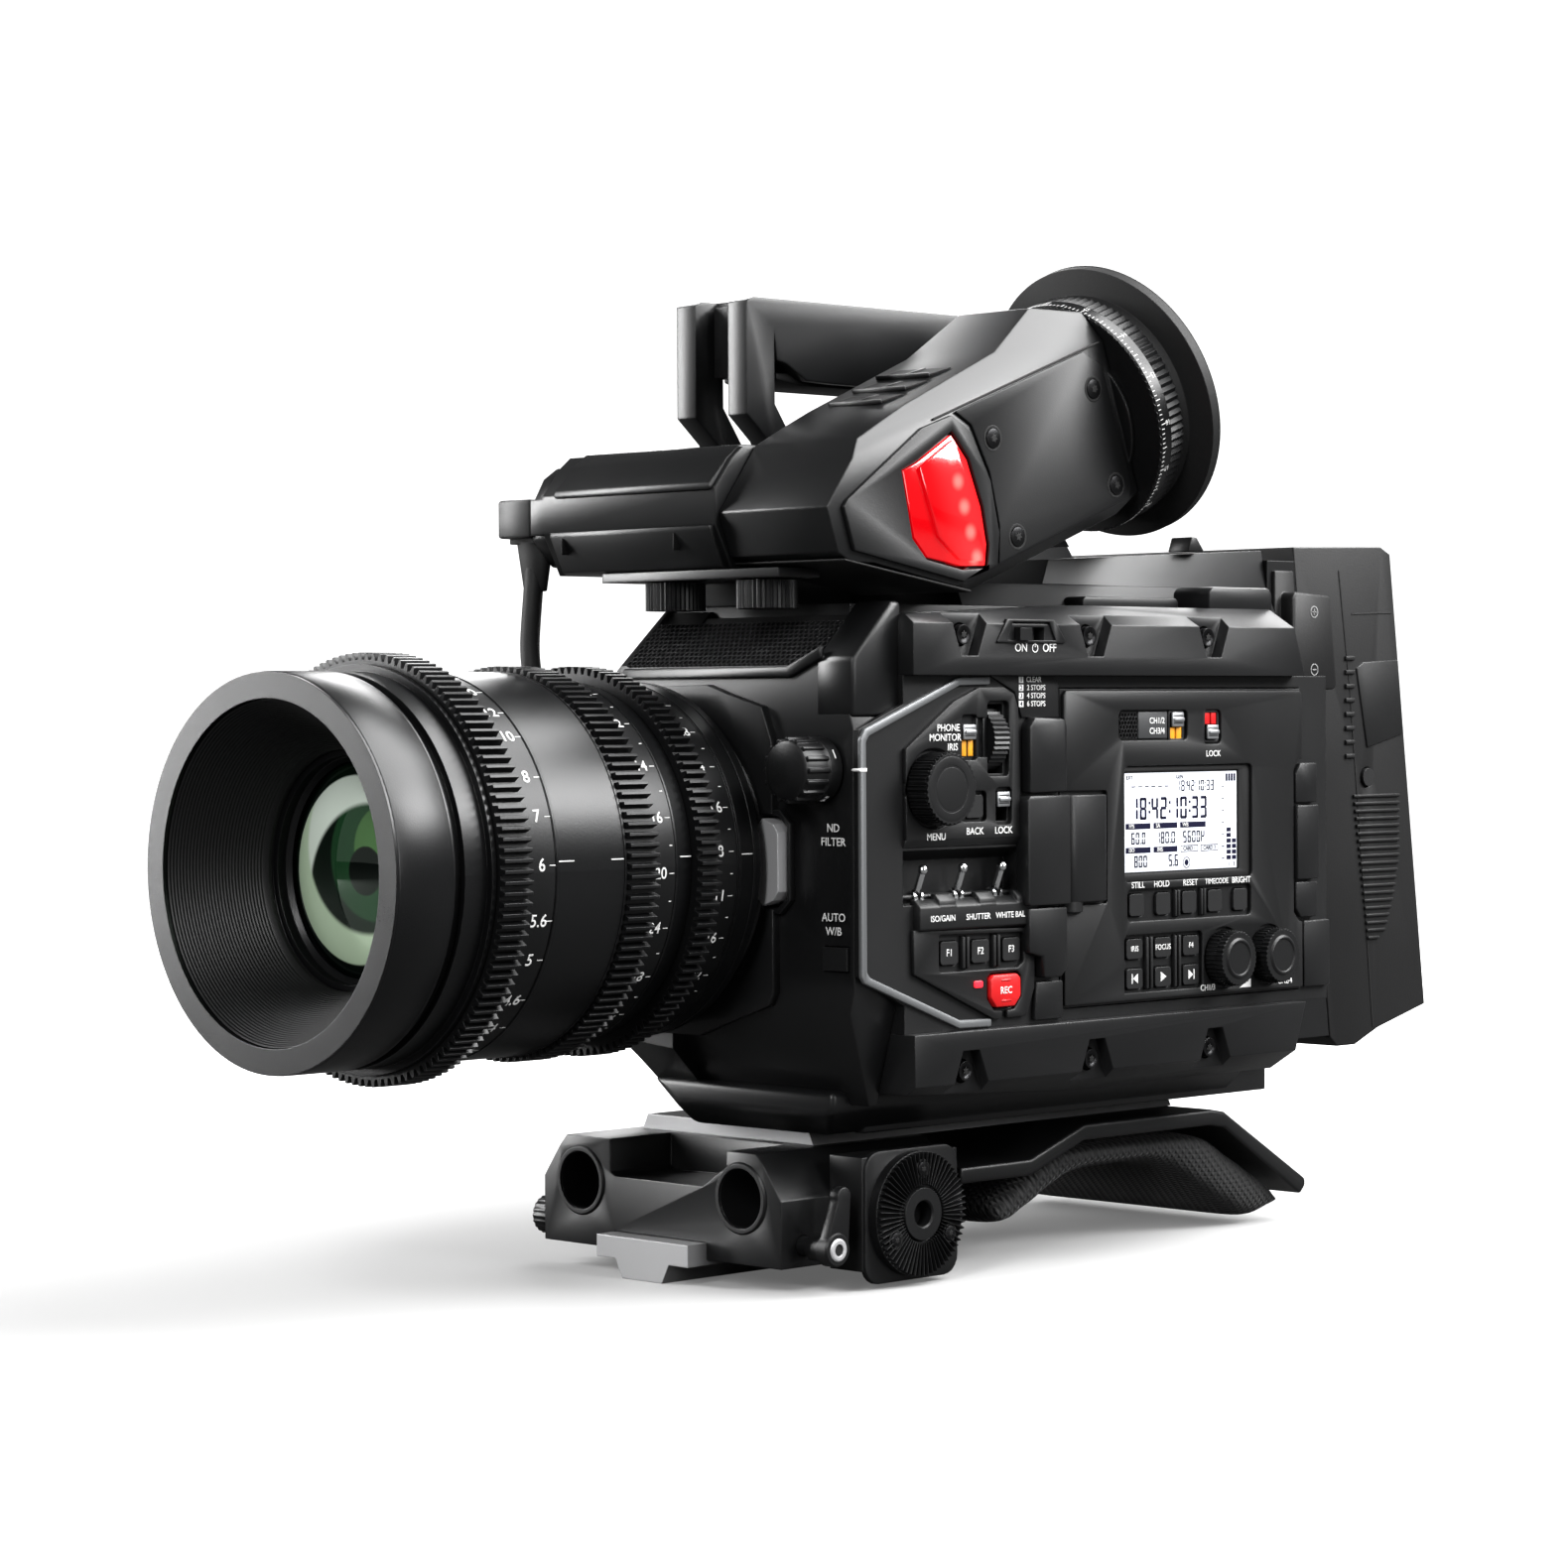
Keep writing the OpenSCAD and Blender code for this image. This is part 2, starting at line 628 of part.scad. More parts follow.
// Side casting of the control panel, with the frame round the monitor door
module control_panel() {
    out = body_half - frame_in;
    toggles_y0 = on_panel(toggle_share[0])[0] - 2 * toggle_w;
    toggles_y1 = on_panel(toggle_share[2])[0] + 2 * toggle_w;
    toggle_z = on_panel(toggle_share[0])[1];
    color("#1b1c1e") difference() {
        union() {
            block([core_half, core_y, low_rail_top], [body_half, panel_back_y, high_rail_z]);
            slab_x(body_half - side_skin, body_half, [[front_y, low_rail_top + panel_h * 0.17],
                [front_y, high_rail_z - panel_h * 0.15], [core_y, high_rail_z - panel_h * 0.08],
                [core_y, low_rail_top + panel_h * 0.08]]);
            block([core_half, panel_back_y, low_rail_top], [out, chassis_reach, door_z - gap]);
            block([core_half, panel_back_y, door_z + door_h + gap], [out, chassis_reach, high_rail_z]);
            block([core_half, door_y + door_len + gap, door_z - gap], [out, chassis_reach, door_z + door_h + gap]);
        }
        for (c = [menu_share]) knob_bore(on_panel(c));
        key_pocket(on_panel(back_share), key_w, key_h, key_depth);
        for (c = function_share) key_pocket(on_panel(c), key_w, key_h, key_depth);
        key_pocket(on_panel(rec_share), rec_w, rec_h, key_depth);
        slider_slot(on_panel(panel_lock_share));
        slider_slot(on_panel(monitor_share));
        block([wheel_roll_x - wheel_roll_r - gap, on_panel(wheel_share)[0] - wheel_roll_w / 2 - gap,
            on_panel(wheel_share)[1] - wheel_roll_r - gap], [body_half + over,
            on_panel(wheel_share)[0] + wheel_roll_w / 2 + gap, on_panel(wheel_share)[1] + wheel_roll_r + gap]);
        bar_y(wheel_roll_x, on_panel(wheel_share)[0] - wheel_roll_w, on_panel(wheel_share)[1],
            wheel_pin_r + run_fit, 2 * wheel_roll_w);
        slab_y(toggles_y0, toggles_y1, [[body_half + over, toggle_z - toggle_r - gap],
            [toggle_x - 2 * toggle_r, toggle_z - toggle_r - gap],
            [toggle_x - 2 * toggle_r, toggle_z + toggle_len + toggle_r],
            [body_half + over, toggle_z + toggle_len + 3 * toggle_r]]);
    }
    color("#1b1c1e") bar_y(toggle_x, toggles_y0 - over, toggle_z, toggle_pin_r, toggles_y1 - toggles_y0 + 2 * over);
}

// Bright trim round the front of the control panel
trim_w = 1.6;
trim_t = 0.6;
trim_share = [[0.6, 1], [0.48, 1], [0.02, 0.85], [0, 0.82], [0, 0.18], [0.02, 0.15], [0.48, 0], [0.63, 0]];

module panel_trim() {
    outer = [for (p = at(trim_share, panel_len, panel_h - 2 * gap)) p + [front_y, low_rail_top + gap]];
    n = len(trim_share);
    inner = [for (i = [n - 1 : -1 : 0]) outer[i] + (i < 3 ? [trim_w * 0.4, -trim_w]
        : i > 4 ? [trim_w * 0.4, trim_w] : [trim_w, 0])];
    color("#c3c6c8") slab_x(body_half, body_half + trim_t, concat(outer, inner));
}

// Menu knob, thumbwheel and toggles
module menu_knob() {
    color("#222325") side_knob(on_panel(menu_share), menu_r, menu_out);
}

module thumbwheel() {
    c = on_panel(wheel_share);
    color("#2b2c2e") {
        translate([wheel_roll_x, c[0] - wheel_roll_w / 2, c[1]]) rotate([-90, 0, 0])
            knurled(wheel_roll_r, wheel_roll_w, 40, wheel_roll_r * 0.05);
        bar_y(wheel_roll_x, c[0] - wheel_roll_w + gap, c[1], wheel_pin_r, 2 * (wheel_roll_w - gap));
    }
}

module toggle(i) {
    c = on_panel(toggle_share[i]);
    color("#c8cbcd") difference() {
        union() {
            bar_y(toggle_x, c[0] - toggle_w / 2, c[1], toggle_r, toggle_w);
            translate([toggle_x, c[0], c[1]]) rotate([0, toggle_lean, 0]) {
                cylinder(r = toggle_r * 0.6, h = toggle_len);
                translate([0, 0, toggle_len]) sphere(r = toggle_r * 0.8, $fn = 32);
            }
        }
        bar_y(toggle_x, c[0] - toggle_w, c[1], toggle_pin_r + run_fit, 2 * toggle_w);
    }
}

module gain_toggle() { toggle(0); }
module shutter_toggle() { toggle(1); }
module balance_toggle() { toggle(2); }

module back_button() {
    color("#2a2b2d") side_button(on_panel(back_share), key_w, key_h);
}

module function_keys() {
    color("#2a2b2d") for (c = function_share) side_button(on_panel(c), key_w, key_h);
}

module rec_button() {
    color("#c32a2a") side_button(on_panel(rec_share), rec_w, rec_h);
}

module monitor_slider() {
    color("#b7babc") slider(on_panel(monitor_share), 1);
}

module panel_lock_slider() {
    color("#b7babc") slider(on_panel(panel_lock_share), 1);
}

// Fold-out monitor door, hinged at its front edge
hinge_x = body_half - 1;
hinge_y = door_y + 4;
hinge_r = 4;
hinge_h = door_h * 0.36;
hinge_z = door_z + door_h * 0.3;
screen_t = 1.2;
screen_in = 4;

module door() {
    x0 = body_half - door_t;
    color("#202123") difference() {
        union() {
            translate([0, 0, door_z]) linear_extrude(door_h) polygon([[x0, door_y], [body_half, door_y],
                [body_half, door_y + door_len], [hinge_x, door_y + door_len], [x0, door_y + door_len - screen_in * 0.4]]);
            translate([hinge_x, hinge_y, hinge_z]) cylinder(r = hinge_r, h = hinge_h);
        }
        for (c = display_key_share) key_pocket(on_door(c), key_w * 0.9, key_h, key_depth);
        for (c = transport_key_share) key_pocket(on_door(c), key_w, key_h * 0.9, key_depth);
        for (c = level_share) knob_bore(on_door(c));
        slider_slot(on_door(channel_share));
        slider_slot(on_door(door_lock_share));
        side_key(body_half - screen_t, body_half + over, on_door(status_share)[0], on_door(status_share)[1],
            status_w, status_h, soft_r);
        block([x0 - over, door_y + 2 * screen_in, door_z + screen_in],
            [x0 + screen_t, door_y + door_len - screen_in, door_z + door_h - screen_in]);
    }
}

// Status display on the outside and touch screen on the inside of the door
module door_displays() {
    x0 = body_half - door_t;
    color("#dfe4ea") side_key(body_half - screen_t, body_half - screen_t / 3, on_door(status_share)[0],
        on_door(status_share)[1], status_w, status_h, soft_r);
    color("#101214") block([x0, door_y + 2 * screen_in, door_z + screen_in],
        [x0 + screen_t, door_y + door_len - screen_in, door_z + door_h - screen_in]);
}

module display_keys() {
    color("#2a2b2d") for (c = display_key_share) side_button(on_door(c), key_w * 0.9, key_h);
}

module transport_keys() {
    color("#2a2b2d") for (c = transport_key_share) side_button(on_door(c), key_w, key_h * 0.9);
}

module level_knob_front() {
    color("#222325") side_knob(on_door(level_share[0]), level_r, level_out);
}

module level_knob_rear() {
    color("#222325") side_knob(on_door(level_share[1]), level_r, level_out);
}

module channel_slider() {
    color("#b7babc") slider(on_door(channel_share), 1);
}

module door_lock_slider() {
    color("#b7babc") slider(on_door(door_lock_share), -1);
}

// Cover of the far side, with its vents and the lid of the card slots
vent_count = 9;
vent_pitch = 7;
vent_w = 3;

module far_cover() {
    z0 = low_rail_top;
    color("#1d1e20") difference() {
        block([-body_half, core_y, z0], [-core_half, chassis_reach, high_rail_z]);
        for (i = [0 : vent_count - 1])
            block([-body_half - over, chassis_reach - vent_pitch * (i + 2), z0 + panel_h * 0.25],
                [-core_half - chassis_wall, chassis_reach - vent_pitch * (i + 2) + vent_w, z0 + panel_h * 0.75]);
        block([-body_half - over, core_y + chassis_wall, z0 + panel_h * 0.2],
            [-body_half + soft_r, core_y + panel_len * 0.75, z0 + panel_h * 0.8]);
    }
}

// Sensor block behind the throat
sensor_half = throat_r * 1.2;

module sensor_block() {
    color("#4c4f52") difference() {
        block([-sensor_half, core_y + chassis_wall, axis_z - sensor_half], [sensor_half, casting_t / 2,
            axis_z + sensor_half]);
        bar_y(0, core_y, axis_z, throat_r * 0.85, -core_y);
    }
}

// Main board on four posts, with a pin for the fan
board_z = floor_z + chassis_wall * 4.3;
board_t = 2;
board_half = core_half * 0.8;
board_y0 = casting_t;
board_y1 = chassis_reach * 0.86;
post_r = 3;
fan_y = chassis_reach * 0.45;
fan_r = 20;
fan_h = 9;
fan_pin_r = 2;

module main_board() {
    color("#1f5a35") union() {
        block([-board_half, board_y0, board_z], [board_half, board_y1, board_z + board_t]);
        for (x = [-1, 1], y = [board_y0 + 2 * post_r, board_y1 - 2 * post_r])
            translate([x * (board_half - 2 * post_r), y, floor_z + chassis_wall]) cylinder(r = post_r,
                h = board_z - floor_z - chassis_wall + over);
        block([-fan_r * 0.8, fan_y - fan_r * 0.8, board_z + board_t - over],
            [fan_r * 0.8, fan_y + fan_r * 0.8, board_z + 3 * board_t]);
        translate([0, fan_y, board_z]) cylinder(r = fan_pin_r, h = 3 * board_t + fan_h * 0.7);
    }
}

module fan_rotor() {
    z0 = board_z + 3 * board_t + gap;
    color("#2c2d2f") translate([0, fan_y, z0]) difference() {
        union() {
            cylinder(r = fan_r * 0.36, h = fan_h);
            for (a = [0 : 360 / 7 : 359])
                rotate([0, 0, a]) translate([fan_r * 0.3, 0, 0]) rotate([0, 0, 24])
                    cube([fan_r * 0.68, board_t * 0.6, fan_h * 0.9]);
        }
        translate([0, 0, -over]) cylinder(r = fan_pin_r + run_fit, h = fan_h * 0.7 + gap + over);
    }
}

// Battery plate on the rear, its back face leaning as the battery does
plate_y = chassis_reach + 4 * chassis_wall;
plate_z0 = floor_z + tray_h * 0.6;
plate_z1 = ledge_z + ridge_h * 0.75;
tongue_w = 28;
tongue_t = 5;
tongue_h = 62;
function lean_y(z) = plate_y + battery_lean * (plate_z1 - z) / (plate_z1 - plate_z0);

module tongue_shape(w, h, t, y_out) {
    translate([0, lean_y(plate_z1) + y_out, plate_z1]) rotate([atan(battery_lean / (plate_z1 - plate_z0)), 0, 0])
        translate([0, 0, -h]) rotate([90, 0, 0]) linear_extrude(t)
            polygon([[-w * 0.38, 0], [w * 0.38, 0], [w / 2, h + over], [-w / 2, h + over]]);
}

module rear_plate() {
    color("#1a1b1d") difference() {
        slab_x(-battery_half, battery_half, [[chassis_reach, plate_z0], [lean_y(plate_z0), plate_z0],
            [lean_y(plate_z1), plate_z1], [chassis_reach, plate_z1]]);
        tongue_shape(tongue_w + 2 * gap, tongue_h + gap, tongue_t + gap, 0);
    }
}

// Battery with its tongue in the plate's slot
battery_z1 = plate_z1 + 4 * soft_r;
check_y = 0.58;
check_z = 0.54;
check_r = 2.6;
function battery_y(z) = lean_y(z) + gap;

module battery() {
    z1 = battery_z1;
    z0 = z1 - battery_h;
    cz = z0 + check_z * battery_h;
    color("#17181a") difference() {
        union() {
            slab_x(-battery_half, battery_half, [[battery_y(z1), z1], [battery_y(z1) + battery_t * 0.9, z1 + soft_r],
                [battery_y(z1) + battery_t, z1 - soft_r], [battery_y(z0) + battery_t, z0 + battery_h * 0.07],
                [battery_y(z0) + battery_t * 0.5, z0 + battery_h * 0.03], [battery_y(z0) + battery_t * 0.26, z0],
                [battery_y(z0) + battery_t * 0.07, z0], [battery_y(z0), z0 + battery_h * 0.02]]);
            tongue_shape(tongue_w, tongue_h, tongue_t, gap + soft_r * 0.02);
        }
        bar_x(battery_half - 2 * check_r, battery_y(cz) + check_y * battery_t, cz, check_r + key_fit,
            2 * check_r + over);
    }
}

module battery_button() {
    cz = battery_z1 - battery_h + check_z * battery_h;
    color("#2a2b2d") bar_x(battery_half - 2 * check_r + key_travel + key_fit, battery_y(cz) + check_y * battery_t,
        cz, check_r, 2 * check_r - key_fit);
}

// Top handle: two prongs at the front, a bar with finger room, a foot that carries the viewfinder
handle_y = -flange_back * 0.45;
handle_foot_z = ledge_z;
handle_z = ledge_z + handle_h;
foot_t = handle_h * 0.11;
lip_t = 2.4;
lip_x0 = -handle_half;
lip_x1 = finder_x + finder_w * 0.5;
handle_share = [[0, 0.985], [0, 0.59], [0.06, 0.5], [0.1, 0.34], [0.1, 0.11], [0.1, 0], [1, 0], [1, 0.07],
    [0.94, 0.2], [0.92, 0.9], [0.88, 1], [0.02, 1]];
finger_share = [[0.077, 0.88], [0.078, 0.63], [0.13, 0.5], [0.17, 0.11], [0.81, 0.11], [0.85, 0.25],
    [0.84, 0.68], [0.8, 0.715], [0.25, 0.715], [0.17, 0.72], [0.11, 0.775], [0.085, 0.785]];
thumb_y = handle_y - flange_back * 0.4;
thumb_share = [0.088, 0.725];
thumb_pin_r = 3.1;
function thumb_x(s) = s * (lip_x1 + gap * 4);

module handle() {
    color("#1f2022") difference() {
        union() {
            slab_x(-handle_half, handle_half,
                [for (p = at(handle_share, handle_len, handle_h)) p + [handle_y, handle_foot_z]]);
            block([lip_x0, thumb_y - thumb_r * 1.2, ledge_z], [lip_x1, thumb_y + thumb_r * 0.7, ledge_z + lip_t]);
            block([lip_x0, thumb_y, ledge_z], [handle_half, handle_y + handle_len * 0.12, ledge_z + lip_t]);
            block([-handle_half, core_y + gap, cover_z], [handle_half, casting_t * 1.2, ledge_z + lip_t]);
        }
        slab_x(-handle_half - over, handle_half + over,
            [for (p = at(finger_share, handle_len, handle_h)) p + [handle_y, handle_foot_z]]);
        slab_x(-prong_gap_half, prong_gap_half, [for (p = at([[-0.1, 1.1], [-0.1, 0.45], [0.11, 0.2],
            [0.2, 0.2], [0.12, 0.74], [0.06, 0.78], [0.06, 1.1]], handle_len, handle_h))
            p + [handle_y, handle_foot_z]]);
        translate([0, handle_y + handle_len * 0.5, handle_z - handle_h * 0.2])
            cylinder(r = thread_r, h = handle_h * 0.2 + over);
        for (s = thumb_share)
            translate([thumb_x(s), thumb_y, ledge_z - over])
                cylinder(r = thumb_pin_r + run_fit, h = lip_t + 2 * over);
    }
}

// Crossbar that carries the viewfinder, with the cable socket at its far end
bar_z = ledge_z + lip_t;
bar_h = handle_h * 0.42;
bar_depth = flange_back * 0.55;
bar_front_y = thumb_y - bar_depth * 0.5;
bar_x0 = -handle_half * 2.5;
pivot_y = thumb_y;
pivot_z = bar_z + bar_h * 0.42;
pivot_r = 5;
pivot_len = finder_w * 0.3;
bar_share = [[0, 0.36], [0, 0.66], [0.24, 0.9], [0.4, 1], [0.9, 1], [1, 0.92], [1, 0.08], [0.9, 0], [0.24, 0]];
socket_x0 = bar_x0 - handle_half * 1.3;
socket_r = 3.2;

module viewfinder_bar() {
    color("#202123") difference() {
        union() {
            slab_x(bar_x0, finder_x - gap, [for (p = at(bar_share, bar_depth, bar_h)) p + [bar_front_y, bar_z]]);
            block([socket_x0, bar_front_y, bar_z + bar_h * 0.34], [bar_x0, bar_front_y + bar_depth * 0.7,
                bar_z + bar_h * 0.64]);
            bar_x(finder_x - gap - over, pivot_y, pivot_z, pivot_r, pivot_len + over);
        }
        for (s = thumb_share) if (thumb_x(s) < finder_x - 2 * thumb_pin_r)
            translate([thumb_x(s), thumb_y, bar_z - over]) cylinder(r = thumb_pin_r + run_fit, h = bar_h * 0.25 + over);
    }
}

// Thumbscrews under the lip
module thumbscrew(s, len) {
    color("#2a2b2d") translate([thumb_x(s), thumb_y, ledge_z - gap]) {
        rotate([180, 0, 0]) knurled(thumb_r, ledge_h + soft_r, 40, thumb_r * 0.05);
        translate([0, 0, -over]) cylinder(r = thumb_pin_r, h = len + over);
    }
}

module thumbscrew_inner() { thumbscrew(thumb_share[0], lip_t + bar_h * 0.2); }
module thumbscrew_outer() { thumbscrew(thumb_share[1], lip_t); }

// Viewfinder, drawn level with its pivot at zero, then tilted
eye_z = -bar_h * 0.24;
finder_front = -bar_depth * 0.42;
finder_side_share = [[0, 0.62], [0, 0.42], [0.03, 0.36], [0.1, 0.31], [0.38, 0], [0.93, 0], [1, 0.06], [1, 0.9], [0.86, 1],
    [0.68, 0.9], [0.34, 0.86], [0.16, 0.82]];
finder_h = bar_h * 1.9;
finder_low = -bar_h * 1.02;
finder_mid_x = finder_x + finder_w / 2;
finder_wall = 2.5;

module finder_place() {
    translate([0, pivot_y, pivot_z]) rotate([finder_tilt, 0, 0]) children();
}

module finder_bar(y, r, len) {
    translate([finder_mid_x, y, eye_z]) rotate([-90, 0, 0]) cylinder(r = r, h = len, $fn = 96);
}

ring_y = finder_front + finder_len;
dioptre_len = finder_len * 0.09;
cup_len = finder_len * 0.07;
eye_tube_r = eye_r + finder_wall;
tally_share = [[0, 0.52], [0.02, 0.88], [0.44, 1], [0.86, 0.74], [1, 0.36], [0.86, 0.06], [0.4, 0], [0.28, 0.1]];

module viewfinder_body() {
    chamfer = finder_w * 0.22;
    color("#1e1f21") finder_place() difference() {
        union() {
            intersection() {
                slab_x(finder_x, finder_x + finder_w, [for (p = at(finder_side_share, finder_len, finder_h))
                    p + [finder_front, finder_low]]);
                slab_y(finder_front, ring_y, [[finder_x, finder_low + chamfer * 0.5], [finder_x + chamfer * 0.6,
                    finder_low], [finder_x + finder_w - chamfer * 0.3, finder_low],
                    [finder_x + finder_w, finder_low + chamfer * 0.4],
                    [finder_x + finder_w, finder_low + finder_h * 0.76],
                    [finder_x + finder_w - chamfer, finder_low + finder_h],
                    [finder_x + chamfer * 0.6, finder_low + finder_h], [finder_x, finder_low + finder_h * 0.84]]);
            }
            finder_bar(ring_y - over, eye_tube_r, dioptre_len + over);
        }
        finder_bar(ring_y - finder_bore_r, finder_bore_r, finder_bore_r + dioptre_len + over);
        finder_bar(ring_y + finder_wall, eye_r, dioptre_len);
        bar_x(finder_x - over, 0, 0, pivot_r + run_fit, pivot_len + over + gap);
        tally_cut(key_fit / 2);
    }
}

// Pocket of the tally lamp's lens in the outer front corner
tally_y = finder_front + finder_len * 0.27;
tally_h = finder_h * 0.46;
tally_len = finder_len * 0.19;
tally_t = 1.6;

module tally_cut(grow) {
    slab_x(finder_x + finder_w - tally_t - grow, finder_x + finder_w + over,
        [for (p = at(tally_share, tally_len + 2 * grow, tally_h + 2 * grow))
            p + [tally_y - grow, finder_low + finder_h * 0.1 - grow]]);
}

module tally_lens() {
    color("#e02222") finder_place() slab_x(finder_x + finder_w - tally_t, finder_x + finder_w + gap,
        [for (p = at(tally_share, tally_len, tally_h)) p + [tally_y, finder_low + finder_h * 0.1]]);
}

module dioptre_ring() {
    color("#232426") finder_place() difference() {
        translate([finder_mid_x, ring_y + gap, eye_z]) rotate([-90, 0, 0])
            knurled(dioptre_r, dioptre_len - gap, 90, dioptre_r * 0.02);
        finder_bar(ring_y - over, eye_tube_r + run_fit, dioptre_len + 2 * over);
    }
}

// Rubber eyecup that flares from the eyepiece
module eyecup() {
    y0 = ring_y + dioptre_len;
    rim = eyecup_r * 0.12;
    color("#141416") finder_place() translate([finder_mid_x, 0, eye_z]) rotate([-90, 0, 0])
        rotate_extrude($fn = 96) polygon([[eye_r, y0], [dioptre_r * 0.94, y0], [dioptre_r * 0.98, y0 + cup_len * 0.4],
            [eyecup_r, y0 + cup_len * 0.6], [eyecup_r, y0 + cup_len], [eyecup_r - rim, y0 + cup_len],
            [eye_r + rim, y0 + cup_len * 0.6], [eye_r, y0 + cup_len * 0.3]]);
}

// Cable from the crossbar's socket to the front of the camera, shares of its run chosen by hand
cable_r = 2.6;
cable_start = [socket_x0 + handle_half * 0.5, bar_front_y + bar_depth * 0.27, bar_z + bar_h * 0.34];
cable_end = [-body_half * 0.52, front_y, high_rail_z - cable_r * 3.54];
cable_route_shares = [[0, -1.91, 0], [0.03, -2, 0.14], [0.14, -2.5, 0.3], [0.36, -3.3, 0.46], [0.62, -4.1, 0.6],
    [0.84, -4.5, 0.72], [0.96, -4.3, 0.826], [1, -3.4, 0.922], [1, -2, 0.988], [1, -0.95, 1], [1, -0.03, 1]];
cable_route = [for (p = cable_route_shares) [
    cable_start[0] + (cable_end[0] - cable_start[0]) * p[0],
    front_y + cable_r * p[1],
    cable_start[2] + (cable_end[2] - cable_start[2]) * p[2]]];
cable_sides = 8;
cable_steps = 3;

// Catmull-Rom point between points i and i + 1 of the route
function smooth(p, i, t) =
    let (n = len(p) - 1, a = p[max(i - 1, 0)], b = p[i], c = p[min(i + 1, n)], d = p[min(i + 2, n)])
    0.5 * (2 * b + (c - a) * t + (2 * a - 5 * b + 4 * c - d) * t * t + (3 * b - a - 3 * c + d) * t * t * t);

module swept(route, r, sides, steps) {
    n = len(route) - 1;
    path = concat([for (i = [0 : n - 1], k = [0 : steps - 1]) smooth(route, i, k / steps)], [route[n]]);
    m = len(path);
    rings = [for (i = [0 : m - 1])
        let (t = path[min(i + 1, m - 1)] - path[max(i - 1, 0)], w = t / norm(t),
            u0 = cross(w, [1, 0, 0]), u = u0 / norm(u0), v = cross(w, u))
        [for (k = [0 : sides - 1]) path[i] + r * (cos(360 * k / sides) * u + sin(360 * k / sides) * v)]];
    points = [for (ring = rings) each ring];
    walls = [for (i = [0 : m - 2], k = [0 : sides - 1])
        let (a = i * sides + k, b = i * sides + (k + 1) % sides) each [[a, b, a + sides], [b, b + sides, a + sides]]];
    caps = concat([for (k = [1 : sides - 2]) [0, k + 1, k]],
        [for (k = [1 : sides - 2]) [(m - 1) * sides, (m - 1) * sides + k, (m - 1) * sides + k + 1]]);
    polyhedron(points = points, faces = concat(walls, caps));
}

module viewfinder_cable() {
    color("#151517") swept(cable_route, cable_r, cable_sides, cable_steps);
}

// Shoulder base: front block with the rod bores
rod_z = axis_z - rod_drop;
base_y = -flange_back + 4 * soft_r;
base_z0 = 6.3;
base_z1 = deck_z - 4;
wedge_half = base_half * 0.385;
wedge_t = 5.7;
wedge_z = base_z0 - 1.4;
tail_half = base_half * 0.167;
rosette_t = 5;
rosette_y = -4.4;
rosette_z = rosette_r + 2.5;
boss_half = rosette_r * 1.1;
boss_x = base_half + rosette_r * 0.66;
clamp_z = rod_z - rod_r - rod_r / 2;

module base_plate() {
    h = base_z1 - base_z0;
    color("#1d1e20") difference() {
        union() {
            slab_y(base_y, base_y + base_len, [for (p = at([[-1, 0], [1, 0], [1, 0.6], [0.86, 0.9], [0.8, 1], [-0.8, 1],
                [-0.86, 0.9], [-1, 0.6]], base_half, h)) p + [0, base_z0]]);
            slab_x(base_half - over, boss_x, [[rosette_y - boss_half, wedge_z], [rosette_y + boss_half, wedge_z],
                [rosette_y + boss_half, base_z1 - soft_r], [rosette_y - boss_half, base_z1 - soft_r]]);
        }
        for (s = [-1, 1]) bar_y(s * rod_half, base_y - over, rod_z, rod_r, base_len + 2 * over);
        slab_y(base_y - over, base_y + base_len * 0.35, [for (p = at([[-0.42, 1.2], [-0.42, 0.7], [-0.38, 0.66],
            [0.36, 0.66], [0.56, 0.86], [0.56, 1.2]], base_half, h)) p + [0, base_z0]]);
        block([-wedge_half - gap / 2, base_y - over, base_z0 - over],
            [wedge_half + gap / 2, base_y + base_len + over, wedge_z + wedge_t + gap / 2]);
        bar_x(boss_x - rosette_t * 2, rosette_y, rosette_z, rosette_hole_r, rosette_t * 2 + over);
        bar_x(base_half - rod_r, base_y + rod_r, clamp_z, clamp_pin_r + run_fit, rod_r + over);
        translate([-base_half + rod_r, base_y + rod_r, clamp_z]) rotate([0, -90, 0])
            cylinder(r = clamp_pin_r + run_fit, h = rod_r + over);
    }
}

// Rosette with radial teeth round its central thread
rosette_teeth = 30;

module rosette() {
    ring = rosette_r * 0.6;
    color("#26272a") translate([boss_x, rosette_y, rosette_z]) rotate([0, 90, 0]) difference() {
        union() {
            cylinder(r = rosette_r, h = rosette_t - soft_r, $fn = 96);
            cylinder(r = ring, h = rosette_t - soft_r * 1.5);
            for (i = [0 : rosette_teeth - 1]) rotate([0, 0, i * 360 / rosette_teeth])
                translate([ring, 0, rosette_t - soft_r - over]) rotate([90, 0, 90])
                    linear_extrude(rosette_r * 0.38)
                        polygon([[-soft_r, 0], [soft_r, 0], [0, soft_r + over]]);
        }
        translate([0, 0, -over]) cylinder(r = rosette_hole_r, h = rosette_t + 2 * over);
    }
}

// Bright wedge plate under the base and the plate between the base and the camera
module dovetail_plates() {
    quick_half = base_half * 0.72;
    color("#8e9194") {
        slab_y(base_y - base_half * 0.14, base_y + base_len, [
            [-tail_half, 0], [tail_half, 0], [tail_half * 1.35, wedge_z], [wedge_half, wedge_z],
            [wedge_half, wedge_z + wedge_t], [-wedge_half, wedge_z + wedge_t], [-wedge_half, wedge_z],
            [-tail_half * 1.35, wedge_z]]);
        slab_y(-casting_t, chassis_reach * 0.85, [[-quick_half, base_z1], [quick_half, base_z1],
            [quick_half - soft_r * 2, deck_z], [-quick_half + soft_r * 2, deck_z]]);
    }
}

